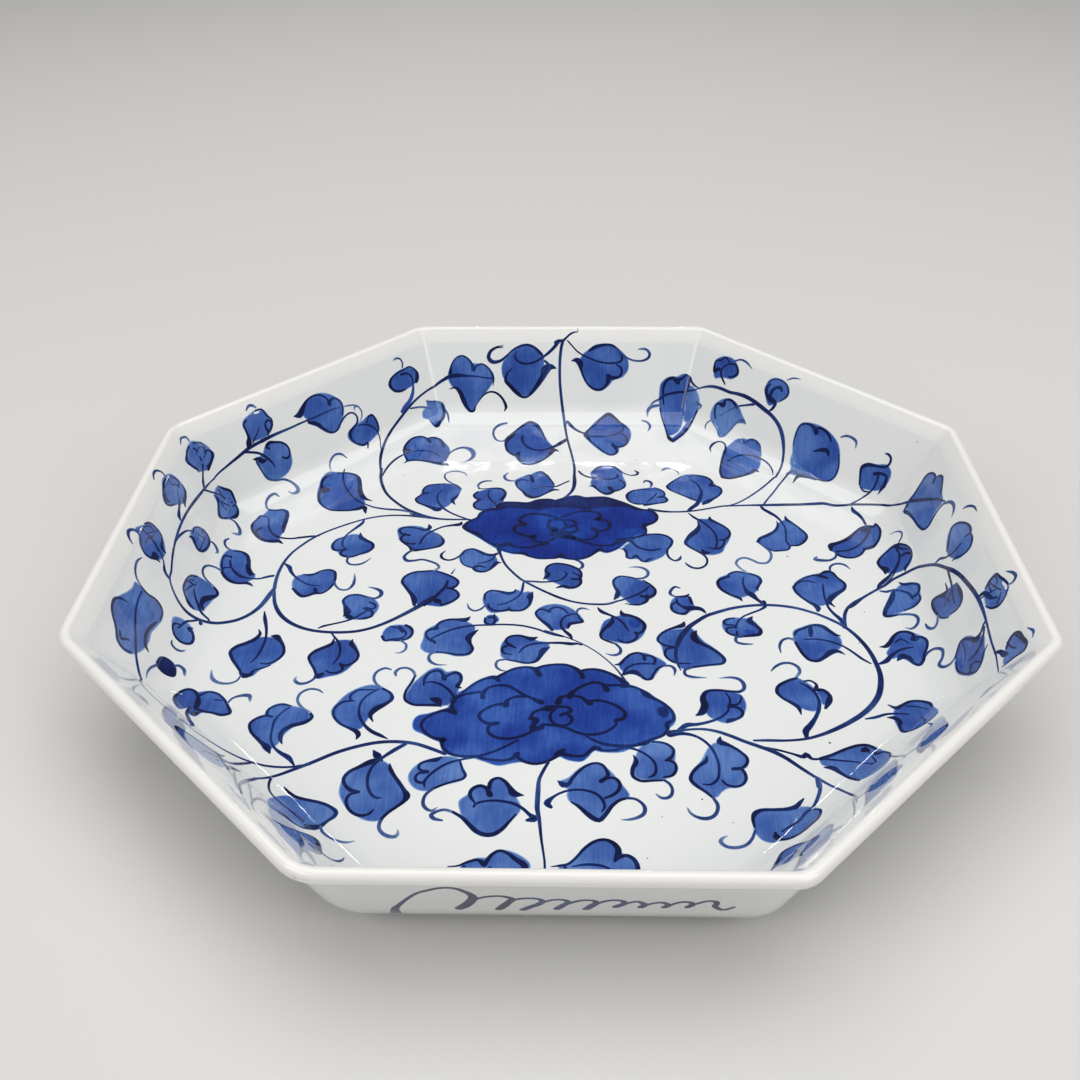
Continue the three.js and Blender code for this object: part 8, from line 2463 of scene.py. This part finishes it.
    Sprig("right_corner_low", """
p 93.5,-104 96.5,-101.5 100,-102 102.5,-105.5 102.5,-110.5 100,-115 96.5,-118 93.2,-116 91.5,-111.5 o
91,-101.5,.6 93,-103.8,1.4 92,-108,1.2 92,-112.5 94,-116.5,1.3 97,-118.4,1.1 o 95,-102,.8 98,-101,1.2
101,-102.6 102.8,-106 102.6,-110.8 100,-115.4 v 87.2,-107 91,-108.6,1.2 95,-109.4,1.1 98.6,-108.8,.7 p
112,-93.5 114.5,-90.5 118,-90 120.3,-92.5 120.5,-97 118.5,-101 115.5,-103.5 112.5,-101.5 111,-97.5 o
110.4,-90.6,.6 112,-93,1.4 111,-97,1.2 112,-101.4 115.2,-103.8 118.4,-101.4 120.6,-97 120.4,-92.4
118,-89.8,1.1 114.6,-90.4,.9 v 104.6,-92.5,.9 108.5,-94.4,1.1 112.5,-96 116.5,-96.4,.7 s 101.2,-79.5,.9
103.5,-84.5,1.1 104.7,-90 105,-96,1
"""),
)


OUTER_SHEET = Sprig("outer_scroll", """
o -42.6,13.5,3.5 -41.9,19.3,2.3 -40.8,21.5,1.7 -38.8,25.3,1.5 -36.9,28.5,1.4 -34.5,31.9 -31.8,34,1.5
-28.6,35.9 -26.4,36.3 -24.2,35.6,1.6 -22.4,33.6,1.8 -21.1,31.7,2.1 -20.4,29.1,2.7 -21,26.5,3 -22.1,23.8,3.1
-23.4,21.6 -24.7,19.8,2.9 o -20.5,26.5,1.5 -18.8,28.4 -16.2,29.8 -13.7,30.2 -11.7,29.5,1.7 -10.3,27.9,2.2
-11.4,25.3,2.4 -12.6,22.6,2.6 -14.2,19.5,2.5 o -9.8,27.4,1.5 -7.8,28.4 -5.3,28.6 -3.5,28.2,1.6 -2.5,26.6,2
-3.6,23.9,2.2 -5.7,21.7,2.3 -7.8,19.1 o -2.3,25.6,1.5 -.3,27.3 1.7,27.9 3.3,27.4,1.6 4,25.6,2 2.7,23.2,2.2
1.2,20.3,2.3 o 4.3,24.8,1.5 6.3,26.8 8.3,27.6 10.3,27.3,1.6 11.1,25.6,2.1 10.1,23.4,2.4 8.6,20.4,2.3 o
11.3,25,1.5 13.3,27 15.8,27.9 17.6,27.2,1.7 18.1,25.3,2.1 17,23.7,2.3 16,22.5,2.2 o 18.2,24.8,1.4 19.9,26.4
21.3,27,1.5 22.4,26,1.8 23.2,24.4,2.1 22.3,22.4 o 23.3,23.9,1.4 25.4,25.8 27.4,26.4,1.5 28.4,25.7,1.7
29.1,24.1,2 28.2,22.6 o 29.1,23.5,1.4 30.9,26 32.8,27.1,1.5 34.4,26.7,1.7 35.1,24.9,2 34,22.9 o
35.1,24.4,1.4 36.9,26.6 38.8,28,1.5 40.5,27.7,1.7 41,25.6,1.9 40.7,24 41.4,22.5,1.8 42.8,21,1.7 44,21.4,1.5
45.6,23.3,1.2
""")


def main() -> None:
    """Builds the pieces in order."""
    logging.basicConfig(level=logging.INFO, format="%(message)s")
    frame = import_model()
    studio = Studio()
    studio.camera()
    studio.floor()
    studio.lights()
    for make in (
        WhiteGround().group, BrushedCobalt().group, GlazeSkin().group,
        bend_group, throw_tree, scatter_tree, set_tree,
    ):
        make()
    glaze = GlazeFinish("clear_glaze_on_white").material()
    clay = ClayFinish("bare_porcelain").material()
    for node, finish in (
        ("dish_body", clay), ("foot_ring", clay), ("glaze_coat", glaze), ("foot_well_glaze", glaze),
    ):
        frame["nodes"][node].data.materials.clear()
        frame["nodes"][node].data.materials.append(finish)
    plate = Plate()
    made = plate.build(glaze, clay)
    inner = picked(made["glaze_coat"].data, "inner_skin", lambda face: face.normal.z > UPWARD)
    skin = BVHTree.FromPolygons([v.co for v in inner.vertices], [tuple(p.vertices) for p in inner.polygons])
    plan = WellPlan(plate.form, skin)
    wash = CobaltFinish("cobalt_wash_under_glaze", streaks=0.13, clouds=0.38).material()
    line = CobaltFinish("cobalt_line_under_glaze", streaks=0.12, clouds=0.5).material()
    Painting().paint(plan, wash, line)
    OuterScroll().paint(plate, line)
    KilnMarks().place(plan, made["foot_ring"].data)


if __name__ == "__main__":
    main()
